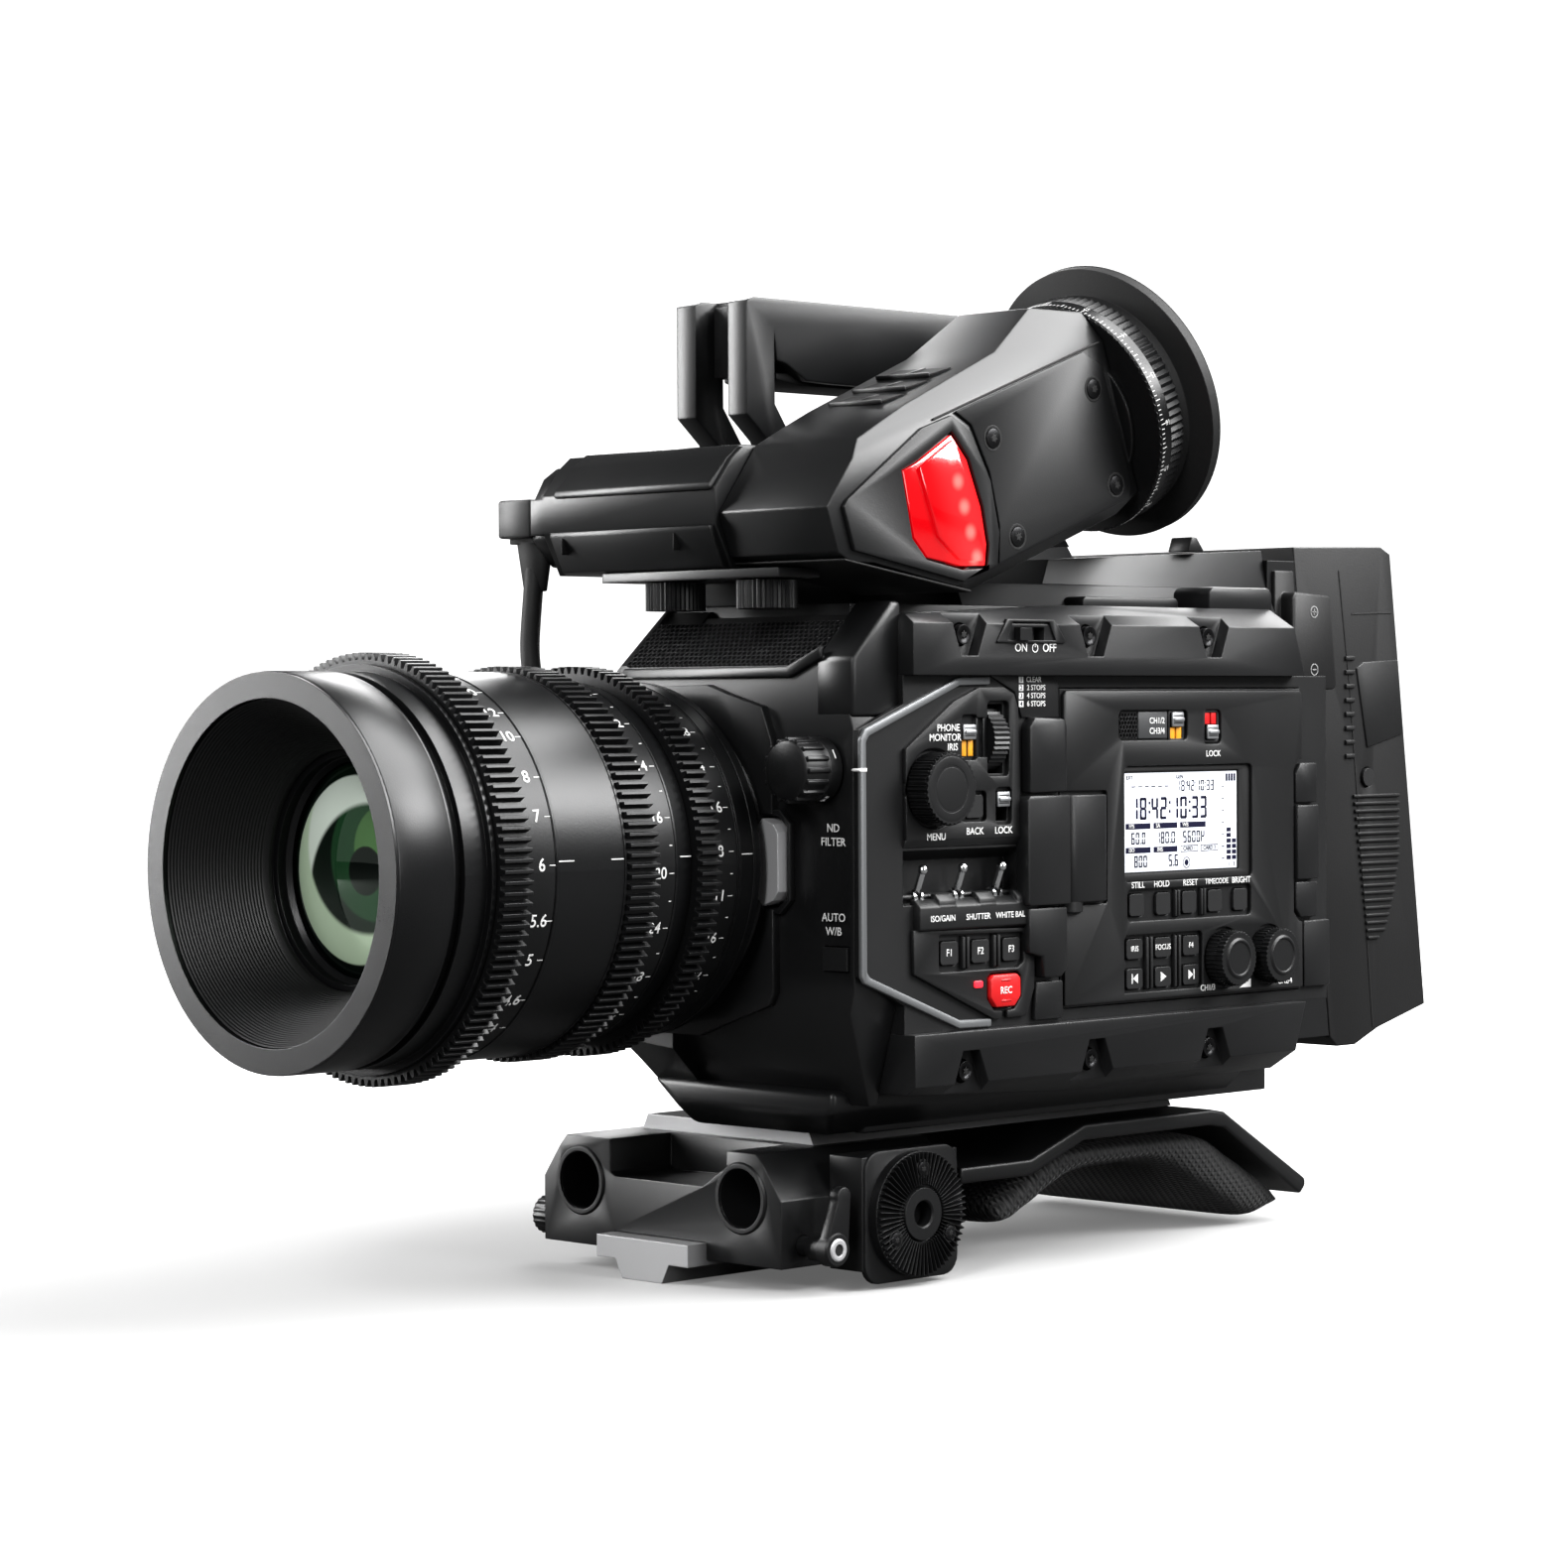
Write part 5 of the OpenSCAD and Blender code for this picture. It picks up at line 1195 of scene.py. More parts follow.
@dataclass
class FrontGlass:
    """Front element with painted reflections inside it, pale rings for the inner elements, a dark centre of painted
    shade and bright crescent highlights of the lights, and its retaining ring.
    """

    axis_z: float = 108.0
    glass_y: float = -140.8
    glass_r: float = 27.4
    dome: float = 6.6
    centre_m: tuple[float, float, float] = (0.0, -0.14, 0.108)
    # Painted reflections of the inner elements and a painted dark centre: centre, inner radius, outer radius, colour.
    painted_element_reflections: tuple[tuple[Point, float, float, Point], ...] = (
        ((0.009, -0.14, 0.112), 0.0155, 0.0165, (0.02, 0.075, 0.03, 1)),
        ((0.012, -0.14, 0.114), 0.0095, 0.0105, (0.09, 0.2, 0.07, 1)),
        ((0.006, -0.14, 0.108), 0.0056, 0.0062, (0.004, 0.006, 0.005, 1)),
    )
    # Painted highlights of the lights: place and colour of each crescent.
    painted_light_crescents: tuple[tuple[Point, Point], ...] = (
        ((0.007, -0.14, 0.1005), (0.85, 0.95, 0.85, 1)), ((0.006, -0.14, 0.1165), (0.6, 0.75, 0.55, 1)),
    )

    def coating_with_painted_reflections(self) -> bpy.types.Material:
        """Dark coated glass with painted reflections: pale rings for the inner elements, a dark centre of painted
        shade, and bright crescent highlights of the lights.

        Returns:
            The material.
        """
        made = bpy.data.materials.new("glass_coated")
        n = fresh_nodes(made)
        shader = n.principled({
            "Roughness": 0.02, "IOR": 2.1, "Specular Tint": (0.75, 1.0, 0.78, 1.0), "Coat Weight": 1.0,
            "Coat Roughness": 0.01,
        })
        place = n.object_place()
        swirl = n.ramp(n.noise(place, 34.0, 2.0), 0.35, 0.65)
        tint = n.mix(swirl, (0.002, 0.006, 0.004, 1), (0.006, 0.02, 0.009, 1))
        # Painted reflections of the inner elements, and a painted dark centre.
        for centre, inner, outer, colour in self.painted_element_reflections:
            tint = n.mix(n.maths("SUBTRACT", 1.0, n.ramp(n.reach(place, centre), inner, outer)), tint, colour)
        # Painted highlights: bright crescents standing for reflections of the lights.
        for seat, shade in self.painted_light_crescents:
            inside = n.maths("SUBTRACT", 1.0, n.ramp(n.reach(place, self.centre_m), 0.0225, 0.0232))
            tint = n.mix(n.maths("MULTIPLY", inside, n.ramp(n.reach(place, seat), 0.0228, 0.0245)), tint, shade)
        n.link(tint, shader.inputs["Base Color"])
        return made

    def build(self) -> None:
        """Turns the domed front element and the ring that holds it."""
        r, c = self.glass_r, (0, self.glass_y, self.axis_z)
        angles = [math.radians(a) for a in range(4, 91, 4)]
        dome = [(0.0, 0.0), *((r * math.sin(a), self.dome * (1 - math.cos(a))) for a in angles), (r, 8.6), (0.0, 8.6)]
        lens = Shape().turned(Y, c, dome, 128)
        made = lens.piece("front_element", Finishes.dark, slot="coated_glass", replaces=("lens_glass",), smooth=50.0)
        made.data.materials.clear()
        made.data.materials.append(self.coating_with_painted_reflections())
        ring = Shape().turned(Y, c, [(26.2, 3.6), (27.2, 2.4), (29.1, 2.0), (29.3, 5.0), (27.4, 5.4), (26.2, 3.6)], 128)
        ring.piece("glass_retainer", Finishes.lens, slot="lens_black")


# Control side


SIDE_X = 70.0


def side_words(shape: Shape, words: str, size: float, y: float, z: float, x: float = SIDE_X) -> None:
    """Prints words on the control side.

    Args:
        shape: the shape that they go into.
        words: what is written.
        size: height of their line.
        y: middle of the words along the camera.
        z: middle of their height.
        x: place of the face that they stand on.
    """
    shape.text(words, size, facing(X, 1, (x, y, z)), 0.1)


def twin_bars(bars: Shape, y: float, near: float, far: float, outline: Sequence[Point], soft: float) -> None:
    """Adds two thin walls, one on each side of a gap between keys.

    Args:
        bars: the shape that they go into.
        y: middle of the gap.
        near: distance of each wall's near side from it.
        far: distance of each wall's far side from it.
        outline: the walls' outline across the camera.
        soft: bevel width.
    """
    for low, high in ((y - far, y - near), (y + near, y + far)):
        bars.prism(Y, low, high, outline, soft)


def rounded(y0: float, y1: float, z0: float, z1: float, corner: float, steps: int = 5) -> list[tuple[float, float]]:
    """Outline of a rectangle with round corners.

    Args:
        y0: its low side on the first axis.
        y1: its high side on the first axis.
        z0: its low side on the second axis.
        z1: its high side on the second axis.
        corner: radius of its corners.
        steps: points of each corner after its first.

    Returns:
        Its points in order.
    """
    corners = ((y1, z1, -1, -1), (y0, z1, 1, -1), (y0, z0, 1, 1), (y1, z0, -1, 1))
    points = []
    for quarter, (y, z, in_y, in_z) in enumerate(corners):
        for i in range(steps + 1):
            points.append(polar(y + in_y * corner, z + in_z * corner, corner, 90 * quarter + 90 * i / steps))
    return points


@dataclass
class Sliders:
    """Caps of the four small slide switches, each on a thin stem, with two dark lines of painted shade standing for
    grooves.
    """

    places: tuple[tuple[str, str, float, float], ...] = (
        ("monitor_slider", "monitor_switch", 0.93, 139.97), ("panel_lock_slider", "panel_lock", 13.52, 122.88),
        ("channel_slider", "channel_switch", 82.32, 142.64), ("door_lock_slider", "door_lock", 96.83, 139.24),
    )

    def build(self) -> None:
        """Makes the caps, their stems and their lines."""
        for name, body, y, z in self.places:
            cap = Shape().block((SIDE_X + 0.6, y - 2.3, z - 1.9), (SIDE_X + 1.35, y + 2.3, z + 1.9), 0.25)
            cap.block((SIDE_X + 1.2, y - 2.0, z - 0.5), (SIDE_X + 1.9, y + 2.0, z + 0.5), 0.2)
            cap.block((65.3, y - 0.25, z - 1.2), (SIDE_X + 0.8, y + 0.25, z + 1.2), 0.0)
            cap.piece(name + "_cap", Finishes.alloy, body, "slider_alloy", replaces=(name,))
            # Two dark strips of painted shade standing for the grooves across the cap.
            lines = Shape()
            for step in (-1.1, 0.85):
                lines.block((SIDE_X + 1.3, y - 1.9, z + step), (SIDE_X + 1.4, y + 1.9, z + step + 0.25), 0.0)
            lines.piece(name + "_lines", Finishes.dark, body, "slider_alloy")


@dataclass
class ControlPanel:
    """Raised plates, ledge, pockets, labels and control details of the operator's side."""

    plate_t: float = 1.25
    ledge_t: float = 2.3
    label: float = 2.5
    small: float = 0.86
    knob_y: float = -12.31
    knob_z: float = 125.99
    toggles_y: tuple[float, ...] = (-15.63, -0.98, 13.59)
    keys_z: float = 84.8

    def upper_plate(self) -> None:
        """Builds the plate of the menu knob, the selector and the thumbwheel."""
        outline = [
            (-22.3, 113.2), (-22.3, 136.0), (-4.9, 147.6), (4.4, 151.1), (13.6, 151.2), (17.6, 149.4), (19.0, 146.0),
            (19.9, 113.2)
        ]
        holes = (
            rounded(-2.1, 3.9, 132.9, 144.4, 1.2), rounded(2.9, 8.4, 133.6, 143.6, 0.8),
            rounded(7.4, 15.6, 128.7, 147.8, 1.4),
            rounded(-2.4, 7.0, 117.4, 125.2, 1.2), rounded(10.4, 16.6, 116.4, 126.0, 1.3),
        )
        dial = Shape().rod(X, (SIDE_X - 1.0, self.knob_y, self.knob_z), 10.1, 4.0, 64, 0.0)
        plate = Shape().framed(X, SIDE_X - 0.1, SIDE_X + self.plate_t, outline, holes, 0.3, dial)
        plate.piece("panel_upper_plate", Finishes.panel)
        floors = Shape()
        floors.block((69.0, -2.0, 130.0), (70.06, 8.6, 144.6), 0.0)
        for y in (3.6, 6.2):
            floors.block((69.0, y, 133.8), (70.9, y + 0.6, 143.4), 0.1)
        floors.turned(
            X, (SIDE_X, self.knob_y, self.knob_z), [(9.6, 0.0), (9.6, 0.5), (10.05, 0.9), (10.05, 0.0), (9.6, 0.0)], 72
        )
        floors.piece("panel_well_floors", Finishes.knob, slot="knob_black", recalc=True)
        flag = Shape()
        for y0, y1 in ((-1.2, 0.6), (1.26, 3.1)):
            flag.block((69.0, y0, 133.9), (70.3, y1, 137.9), 0.1)
        flag.piece("selector_flag", Finishes.orange, slot="trim_bright")

    def ledge(self) -> None:
        """Builds the sloping ledge under the toggles with the tabs between them, its brow and the toggles' collars."""
        body, top = Shape(), SIDE_X + self.ledge_t
        body.prism(
            Y, -18.6, 25.2, [(68.6, 98.6), (70.2, 98.3), (top, 96.6), (top, 91.0), (69.8, 90.0), (68.6, 90.0)], 0.35
        )
        for y0, y1 in ((-11.4, -5.2), (3.4, 9.4), (17.6, 24.6)):
            body.prism(
                Y, y0, y1, [(68.9, 99.9), (70.4, 99.7), (top - 0.4, 98.2), (top - 0.05, 96.2), (69.0, 96.0)], 0.3
            )
        body.piece("toggle_ledge", Finishes.panel)
        brow = Shape().prism(Y, -22.4, 24.9, [(69.7, 113.3), (71.2, 113.3), (70.2, 111.4), (69.7, 111.2)], 0.12)
        brow.piece("toggle_brow", Finishes.panel)
        sleeves = Shape()
        for y in self.toggles_y:
            lean = Matrix.Translation((67.9, y, 99.5)) @ Matrix.Rotation(math.radians(22), 4, "Y")
            sleeves.join(Shape().rod(Z, (0, 0, -1.2), 1.7, 2.6, 24, 0.3, top=1.25), lean)
        sleeves.piece("toggle_collars", Finishes.screw, slot="screw_dark")

    def lower_plate(self) -> None:
        """Builds the plate of the function keys and the record key."""
        outline = [(-19.9, 91.0), (25.2, 90.0), (24.9, 74.6), (21.9, 67.6), (9.6, 67.4), (-19.6, 80.0)]
        plate = Shape().prism(X, SIDE_X - 0.1, SIDE_X + self.plate_t, outline, 0.0)
        cuts = Shape()
        cuts.prism(
            X, SIDE_X - 1.0, SIDE_X + 3.0,
            [
                (-10.7, 80.6), (-10.7, 89.0), (-10.1, 89.5), (20.4, 89.0), (21.0, 88.4), (21.0, 81.6), (18.6, 80.1),
                (-10.1, 80.1)
            ],
            0.0
        )
        cuts.prism(
            X, SIDE_X - 1.0, SIDE_X + 3.0,
            [
                (7.0, 72.6), (7.0, 77.9), (8.4, 79.2), (18.4, 79.2), (19.8, 77.9), (19.8, 72.6), (17.2, 69.6),
                (14.6, 69.4), (14.6, 66.0), (12.6, 66.0), (12.6, 69.4), (9.6, 69.6)
            ],
            0.0
        )
        plate.cut(cuts).eased(0.3)
        plate.piece("panel_lower_plate", Finishes.panel)
        bars = Shape()
        for y in (-0.75, 10.75):
            twin_bars(bars, y, 0.35, 1.25, [(69.9, 80.4), (71.3, 80.8), (71.3, 88.6), (69.9, 89.0)], 0.15)
        bars.piece("key_dividers", Finishes.key, slot="key_black")
        lamp = Shape().prism(X, 70.4, 71.6, rounded(1.9, 5.1, 75.6, 77.4, 0.6), 0.15)
        lamp.piece("record_lamp", Finishes.lamp, slot="record_red")

    def record_key(self) -> None:
        """Builds the eight-sided record key with its two grip lines and its printed word."""
        outline = [
            (7.7, 72.9), (7.7, 77.4), (8.9, 78.6), (17.9, 78.6), (19.1, 77.4), (19.1, 72.9), (16.8, 70.3), (9.9, 70.3)
        ]
        key = Shape().prism(X, 66.0, 71.9, outline, 0.55)
        for z in (77.1, 71.9):
            key.block((71.8, 11.6, z - 0.14), (72.05, 15.2, z + 0.14), 0.06)
        key.piece("record_key", Finishes.red, "record", "record_red", replaces=("rec_button",))
        word = Shape()
        side_words(word, "REC", 2.5, 13.37, 74.5, 71.93)
        word.piece("record_word", Finishes.white, "record", "trim_bright")

    def dial(self) -> None:
        """Builds the ribbed menu dial's face ring, inner disc and shoulder."""
        c = (0.0, self.knob_y, self.knob_z)
        face = Shape()
        face.turned(
            X, c,
            [
                (0.0, 77.34), (5.1, 77.34), (5.4, 77.3), (5.55, 77.0), (5.75, 77.0), (5.95, 77.35), (7.5, 77.4),
                (8.1, 77.3), (8.3, 76.6), (8.3, 76.0), (0.0, 76.0)
            ],
            72
        )
        face.piece("menu_dial_face", Finishes.knob, "menu_dial", "knob_black", recalc=True)
        rib = Shape().prism(X, 70.7, 76.7, [(-0.24, 8.5), (-0.12, 9.12), (0.12, 9.12), (0.24, 8.5)], 0.0)
        Shape().repeated(rib, X, c, 60).piece("menu_dial_ribs", Finishes.knob, "menu_dial", "knob_black")

    def words(self) -> None:
        """Prints the generic words of the panel."""
        shape, top, ledge = Shape(), SIDE_X + self.plate_t + 0.02, SIDE_X + self.ledge_t + 0.02
        for words, y, z in (
            ("PHONE", -7.0, 141.0), ("MONITOR", -8.2, 138.6), ("IRIS", -5.5, 136.2), ("MENU", -11.6, 113.90),
            ("BACK", 2.6, 115.0),
            ("LOCK", 13.3, 115.0),
        ):
            side_words(shape, words, self.label, y, z, top)
        for words, y in (("ISO/GAIN", -10.4), ("SHUTTER", 2.6), ("WHITE BAL", 14.6)):
            side_words(shape, words, self.label * self.small, y, 93.6, ledge)
        digits = Shape()
        for place, words in enumerate(("CLEAR", "2 STOPS", "4 STOPS", "6 STOPS")):
            z = 153.1 - place * 2.05
            side_words(shape, words, 1.95, 26.6 - (0.9 if place == 0 else 0.0), z, 70.62)
            shape.block((70.5, 20.0, z - 0.8), (70.68, 21.7, z + 0.8), 0.0)
            side_words(digits, str(place + 1), 1.7, 20.85, z, 70.7)
        digits.piece("filter_digits", Finishes.ink, slot="trim_bright")
        shape.piece("panel_words", Finishes.white, slot="trim_bright")
        keys = Shape()
        for words, y in (("F1", -6.5), ("F2", 4.98), ("F3", 16.54)):
            side_words(keys, words, self.label, y, self.keys_z, 70.82)
        keys.piece("function_key_words", Finishes.white, "functions", "trim_bright")

    def filter_plate(self) -> None:
        """Builds the plate behind the filter table."""
        plate = Shape().prism(
            X, 69.8, 70.6,
            [(9.6, 154.0), (10.6, 156.4), (31.4, 156.4), (35.4, 151.6), (35.4, 143.4), (21.2, 143.4), (18.6, 150.0)],
            0.25
        )
        plate.piece("filter_table_plate", Finishes.panel)

    def rim(self) -> None:
        """Builds the wide satin rim round the panel's front."""
        outer = [
            (9.0, 153.9), (-2.6, 153.7), (-36.6, 141.0), (-38.1, 138.6), (-38.1, 80.4), (-37.0, 78.6), (-3.0, 65.7),
            (9.0, 65.5)
        ]
        inner = [
            (9.0, 67.6), (-2.6, 67.8), (-35.0, 80.1), (-36.0, 81.4), (-36.0, 137.8), (-35.0, 139.2), (-2.2, 151.6),
            (9.0, 151.8)
        ]
        Shape().prism(X, 69.6, 71.0, outer + inner, 0.5).piece(
            "panel_rim", Finishes.trim, slot="trim_bright", replaces=("panel_trim",)
        )

    def front_print(self) -> None:
        """Prints the words by the filter knob and the white balance key on the front."""
        shape = Shape()
        for words, z in (("ND", 116.6), ("FILTER", 113.2), ("AUTO", 94.6), ("W/B", 91.2)):
            shape.text(words, 2.9, facing(Y, -1, (62.0, -38.75, z)), 0.1)
        shape.piece("front_words", Finishes.white, slot="trim_bright")

    def build(self) -> None:
        """Makes every piece of the control side in front of the door."""
        self.upper_plate()
        self.ledge()
        self.lower_plate()
        self.record_key()
        self.dial()
        self.filter_plate()
        self.rim()
        self.words()
        self.front_print()


# Monitor door


SEGMENTS: dict[str, str] = {
    "0": "abcdef", "1": "bc", "2": "abged", "3": "abgcd", "4": "fgbc", "5": "afgcd", "6": "afgedc", "7": "abc",
    "8": "abcdefg", "9": "abcfgd", "-": "g", "K": "efgb",
}


@dataclass
class HingePosts:
    """Fixed posts in front of the door and the turning knuckle on it."""

    top_x: float = 73.2
    axis_x: float = 69.0
    axis_y: float = 40.2
    knuckle_r: float = 4.1

    def build(self) -> None:
        """Makes the fixed posts and the knuckle that turns with the door."""
        posts = Shape()
        for outline in (
            [(21.5, 124.2), (21.5, 141.2), (23.6, 143.6), (34.6, 143.2), (35.8, 141.6), (35.8, 124.4)],
            [(20.9, 83.6), (20.9, 95.0), (35.6, 95.0), (35.8, 79.2), (33.4, 77.0), (26.6, 77.0), (26.2, 82.4)],
        ):
            posts.prism(X, 69.6, self.top_x, outline, 0.7)
        posts.prism(
            X, 69.6, self.top_x + 0.9,
            [(19.6, 96.2), (19.6, 122.6), (20.6, 123.6), (35.9, 123.6), (35.9, 95.6), (20.4, 95.6)], 0.8
        )
        posts.piece("hinge_posts", Finishes.body)
        wall = Shape().prism(X, 69.6, 71.4, [(24.8, 66.2), (25.6, 76.0), (35.8, 76.0), (35.8, 66.2)], 0.5)
        wall.piece("hinge_foot", Finishes.body)
        round_part = [
            (
                self.axis_x + self.knuckle_r * math.sin(math.radians(a)),
                self.axis_y - self.knuckle_r * math.cos(math.radians(a))
            )
            for a in range(0, 91, 15)
        ]
        knuckle = Shape().prism(
            Z, 95.8, 123.4, [*round_part, (73.1, 50.4), (72.4, 51.8), (70.0, 52.6), (69.0, 52.6)], 0.35
        )
        knuckle.piece("door_knuckle", Finishes.body, "monitor_door")


@dataclass
class DoorFace:
    """Skin of the monitor door with its display, pockets, mesh, sliders' plates and knobs."""

    skin_t: float = 1.1
    label: float = 2.3
    small: float = 0.86
    lcd_x: float = 69.66
    hex_pitch: float = 1.25
    knob_z: float = 78.63
    knobs: tuple[tuple[str, str, float], ...] = (
        ("level_front_face", "level_front", 101.31), ("level_rear_face", "level_rear", 120.19),
    )

    def skin(self) -> None:
        """Builds the door's outer skin with every pocket cut through it."""
        outline = [(36.8, 69.2), (36.8, 94.9), (53.2, 95.0), (53.6, 95.6), (53.6, 123.8), (53.0, 124.4), (36.8, 124.5), (36.8, 149.2),
                   (37.8, 150.3), (134.2, 150.3), (135.2, 149.3), (135.3, 131.6), (133.6, 131.4), (131.6, 128.9),
                   (131.6, 89.6),
                   (133.8, 87.2), (135.3, 87.0), (135.3, 69.2)]
        skin = Shape().prism(X, SIDE_X - 0.06, SIDE_X + self.skin_t, outline, 0.0)
        cuts = [Shape().prism(X, SIDE_X - 2.0, SIDE_X + 3.0, hole, 0.0) for hole in (
            rounded(58.4, 86.5, 137.2, 145.2, 1.6), rounded(93.0, 100.5, 136.0, 145.2, 1.6),
            rounded(60.6, 113.6, 100.2, 130.6, 1.6),
            rounded(61.6, 113.0, 89.8, 98.2, 1.4),
            [
                (60.3, 71.1), (60.3, 77.6), (60.9, 78.6), (60.9, 79.2), (60.3, 80.0), (60.3, 85.2), (61.2, 86.3),
                (91.4, 86.3), (92.3, 85.4), (92.3, 72.0), (91.4, 71.1)
            ])]
        for y in (101.31, 120.19):
            cuts.append(Shape().rod(X, (SIDE_X - 2.0, y, 78.63), 8.3, 5.0, 56, 0.0))
        cuts.append(Shape().block((SIDE_X - 2.0, 104.0, 75.4), (SIDE_X + 3.0, 117.0, 81.8), 0.0))
        skin.cut(*cuts).eased(0.28)
        skin.piece("door_skin", Finishes.panel, "monitor_door")

    def wells(self) -> None:
        """Builds the dividers, plate, flags and rims inside the pockets."""
        bars = Shape()
        for y in (82.0, 92.75):
            twin_bars(bars, y, 0.25, 1.0, [(69.9, 90.2), (71.2, 90.6), (71.2, 97.4), (69.9, 97.8)], 0.12)
        for y in (70.5, 82.0):
            twin_bars(bars, y, 0.45, 1.3, [(69.9, 71.6), (71.2, 72.0), (71.2, 85.4), (69.9, 85.8)], 0.12)
        bars.piece("door_dividers", Finishes.key, "monitor_door", "key_black")
        plate = Shape().prism(X, 69.9, 70.55, [(66.9, 137.7), (66.9, 144.7), (78.6, 144.7), (78.6, 137.7)], 0.15)
        plate.piece("channel_plate", Finishes.plate, "monitor_door", "trim_bright")
        for name, finish, slot, halves, z0, z1 in (
            ("channel_flag", Finishes.orange, "trim_bright", ((79.9, 81.98), (82.66, 84.7)), 137.0, 140.6),
            ("lock_flag", Finishes.red, "record_red", ((94.4, 96.49), (97.17, 99.2)), 141.3, 144.9),
        ):
            flag = Shape()
            for y0, y1 in halves:
                flag.block((69.0, y0, z0), (70.3, y1, z1), 0.1)
            flag.piece(name, finish, "monitor_door", slot)
        rails = Shape()
        for y0, y1, z0, z1 in ((79.2, 85.5, 136.9, 145.1), (93.6, 100.1, 136.4, 145.1)):
            rim = Shape().prism(X, 69.7, 70.5, rounded(y0, y1, z0, z1, 0.9), 0.0)
            rim.cut(Shape().prism(X, 69.0, 71.5, rounded(y0 + 0.7, y1 - 0.7, z0 + 0.7, z1 - 0.7, 0.5), 0.0)).eased(0.12)
            rails.join(rim)
        rails.piece("slider_rims", Finishes.key, "monitor_door", "key_black")

    def mesh_window(self) -> None:
        """Builds the six-sided mesh over the speaker, with a dark sheet of painted shade behind it."""
        grid = Shape().honeycomb(59.2, 66.6, 137.9, 144.6, self.hex_pitch, 0.26, 0.5)
        grid.moved(facing(X, 1, (70.0, 0, 0)))
        grid.piece("speaker_mesh", Finishes.mesh, "monitor_door", "grille_black")
        # Painted shade: a dark sheet for the shaded hollow behind the mesh.
        back = Shape().block((69.7, 58.6, 137.3), (70.05, 66.9, 145.1), 0.0)
        back.piece("speaker_well", Finishes.dark, "monitor_door", "grille_black")

    def digit(self, shape: Shape, sign: str, y: float, z: float, high: float) -> None:
        """Adds one seven-segment sign.

        Args:
            shape: the shape that it goes into.
            sign: the sign.
            y: its left side.
            z: its underside.
            high: its height.
        """
        w, t, h = high * 0.46, high * 0.13, high / 2
        g = t * 0.35
        places = {
            "a": (y + g, z + high - t, y + w - g, z + high), "g": (y + g, z + h - t / 2, y + w - g, z + h + t / 2),
            "d": (y + g, z, y + w - g, z + t), "f": (y, z + h + g, y + t, z + high - g),
            "b": (y + w - t, z + h + g, y + w, z + high - g), "e": (y, z + g, y + t, z + h - g),
            "c": (y + w - t, z + g, y + w, z + h - g),
        }
        for key in SEGMENTS.get(sign, ""):
            self.mark(shape, *places[key])
        for share in {":": (0.28, 0.68), ".": (0.0,)}.get(sign, ()):
            self.mark(shape, y, z + high * share, y + t, z + high * share + t)

    def mark(self, shape: Shape, y0: float, z0: float, y1: float, z1: float) -> None:
        """Adds one dark rectangle on the status display, between two corners."""
        shape.block((self.lcd_x, y0, z0), (self.lcd_x + 0.06, y1, z1), 0.0)

    def number(self, shape: Shape, words: str, y: float, z: float, high: float) -> None:
        """Adds a row of seven-segment signs.

        Args:
            shape: the shape that it goes into.
            words: the signs.
            y: its left side.
            z: its underside.
            high: its height.
        """
        for sign in words:
            self.digit(shape, sign, y, z, high)
            y += high * (0.2 if sign in ":." else 0.6)

    def display(self) -> None:
        """Builds the pale status display with its figures, bars and boxes."""
        screen = Shape().block((69.4, 61.4, 102.6), (self.lcd_x, 108.6, 128.7), 0.1)
        screen.piece("status_screen", Finishes.lcd, "monitor_door", "display_panels")
        ink = Shape()
        for words, y, z, high in (
            ("18:42:10:33", 64.8, 116.3, 5.9), ("18:42:10:33", 83.6, 123.6, 2.9), ("60.0", 64.8, 109.9, 3.1),
            ("180.0", 75.0, 109.9, 3.1), ("5600K", 86.0, 109.9, 3.1), ("800", 66.0, 103.8, 3.1),
            ("5.6", 80.0, 103.8, 3.1),
        ):
            self.number(ink, words, y, z, high)
        for y0, y1, z in (
            (62.6, 72.6, 113.9), (73.9, 83.6, 113.9), (84.8, 95.4, 113.9), (62.6, 72.6, 107.6), (73.9, 83.6, 107.6)
        ):
            self.mark(ink, y0, z, y1, z + 1.5)
        for i in range(6):
            self.mark(ink, 65.0 + i * 2.7, 124.9, 66.6 + i * 2.7, 125.2)
        for y0, y1, count in ((104.2, 106.0, 6), (106.5, 108.2, 4)):
            for i in range(count):
                self.mark(ink, y0, 104.9 + i * 1.5, y1, 106.0 + i * 1.5)
        for i in range(7):
            self.mark(ink, 102.2, 105.1 + i * 3.2, 103.2, 105.4 + i * 3.2)
        for i in range(4):
            self.mark(ink, 103.9 + i * 1.1, 126.0, 104.7 + i * 1.1, 128.0)
        for y0, y1 in ((85.0, 92.2), (93.4, 100.6)):
            for box in (
                (y0, 107.4, y1, 107.6), (y0, 109.0, y1, 109.2), (y0, 107.4, y0 + 0.2, 109.2),
                (y1 - 0.2, 107.4, y1, 109.2)
            ):
                self.mark(ink, *box)
        for words, y, z in (
            ("EXT", 64.2, 127.4), ("GEN", 84.6, 127.4), ("CARD 1", 88.6, 108.3), ("CARD 2", 97.0, 108.3),
            ("1", 105.1, 103.6), ("2", 107.3, 103.6)
        ):
            side_words(ink, words, 1.5, y, z, self.lcd_x + 0.03)
        ink.ring(X, (self.lcd_x, 87.4, 104.6), 1.3, 1.5, 0.0, 0.06, 32)
        ink.rod(X, (self.lcd_x, 87.4, 104.6), 0.8, 0.06, 20, 0.0)
        ink.piece("status_figures", Finishes.ink, "monitor_door", "display_panels")
        names = Shape()
        for words, y, z in (
            ("FPS", 64.9, 114.65), ("SA", 75.6, 114.65), ("WB", 86.9, 114.65), ("ISO", 64.9, 108.35),
            ("IRIS", 76.4, 108.35)
        ):
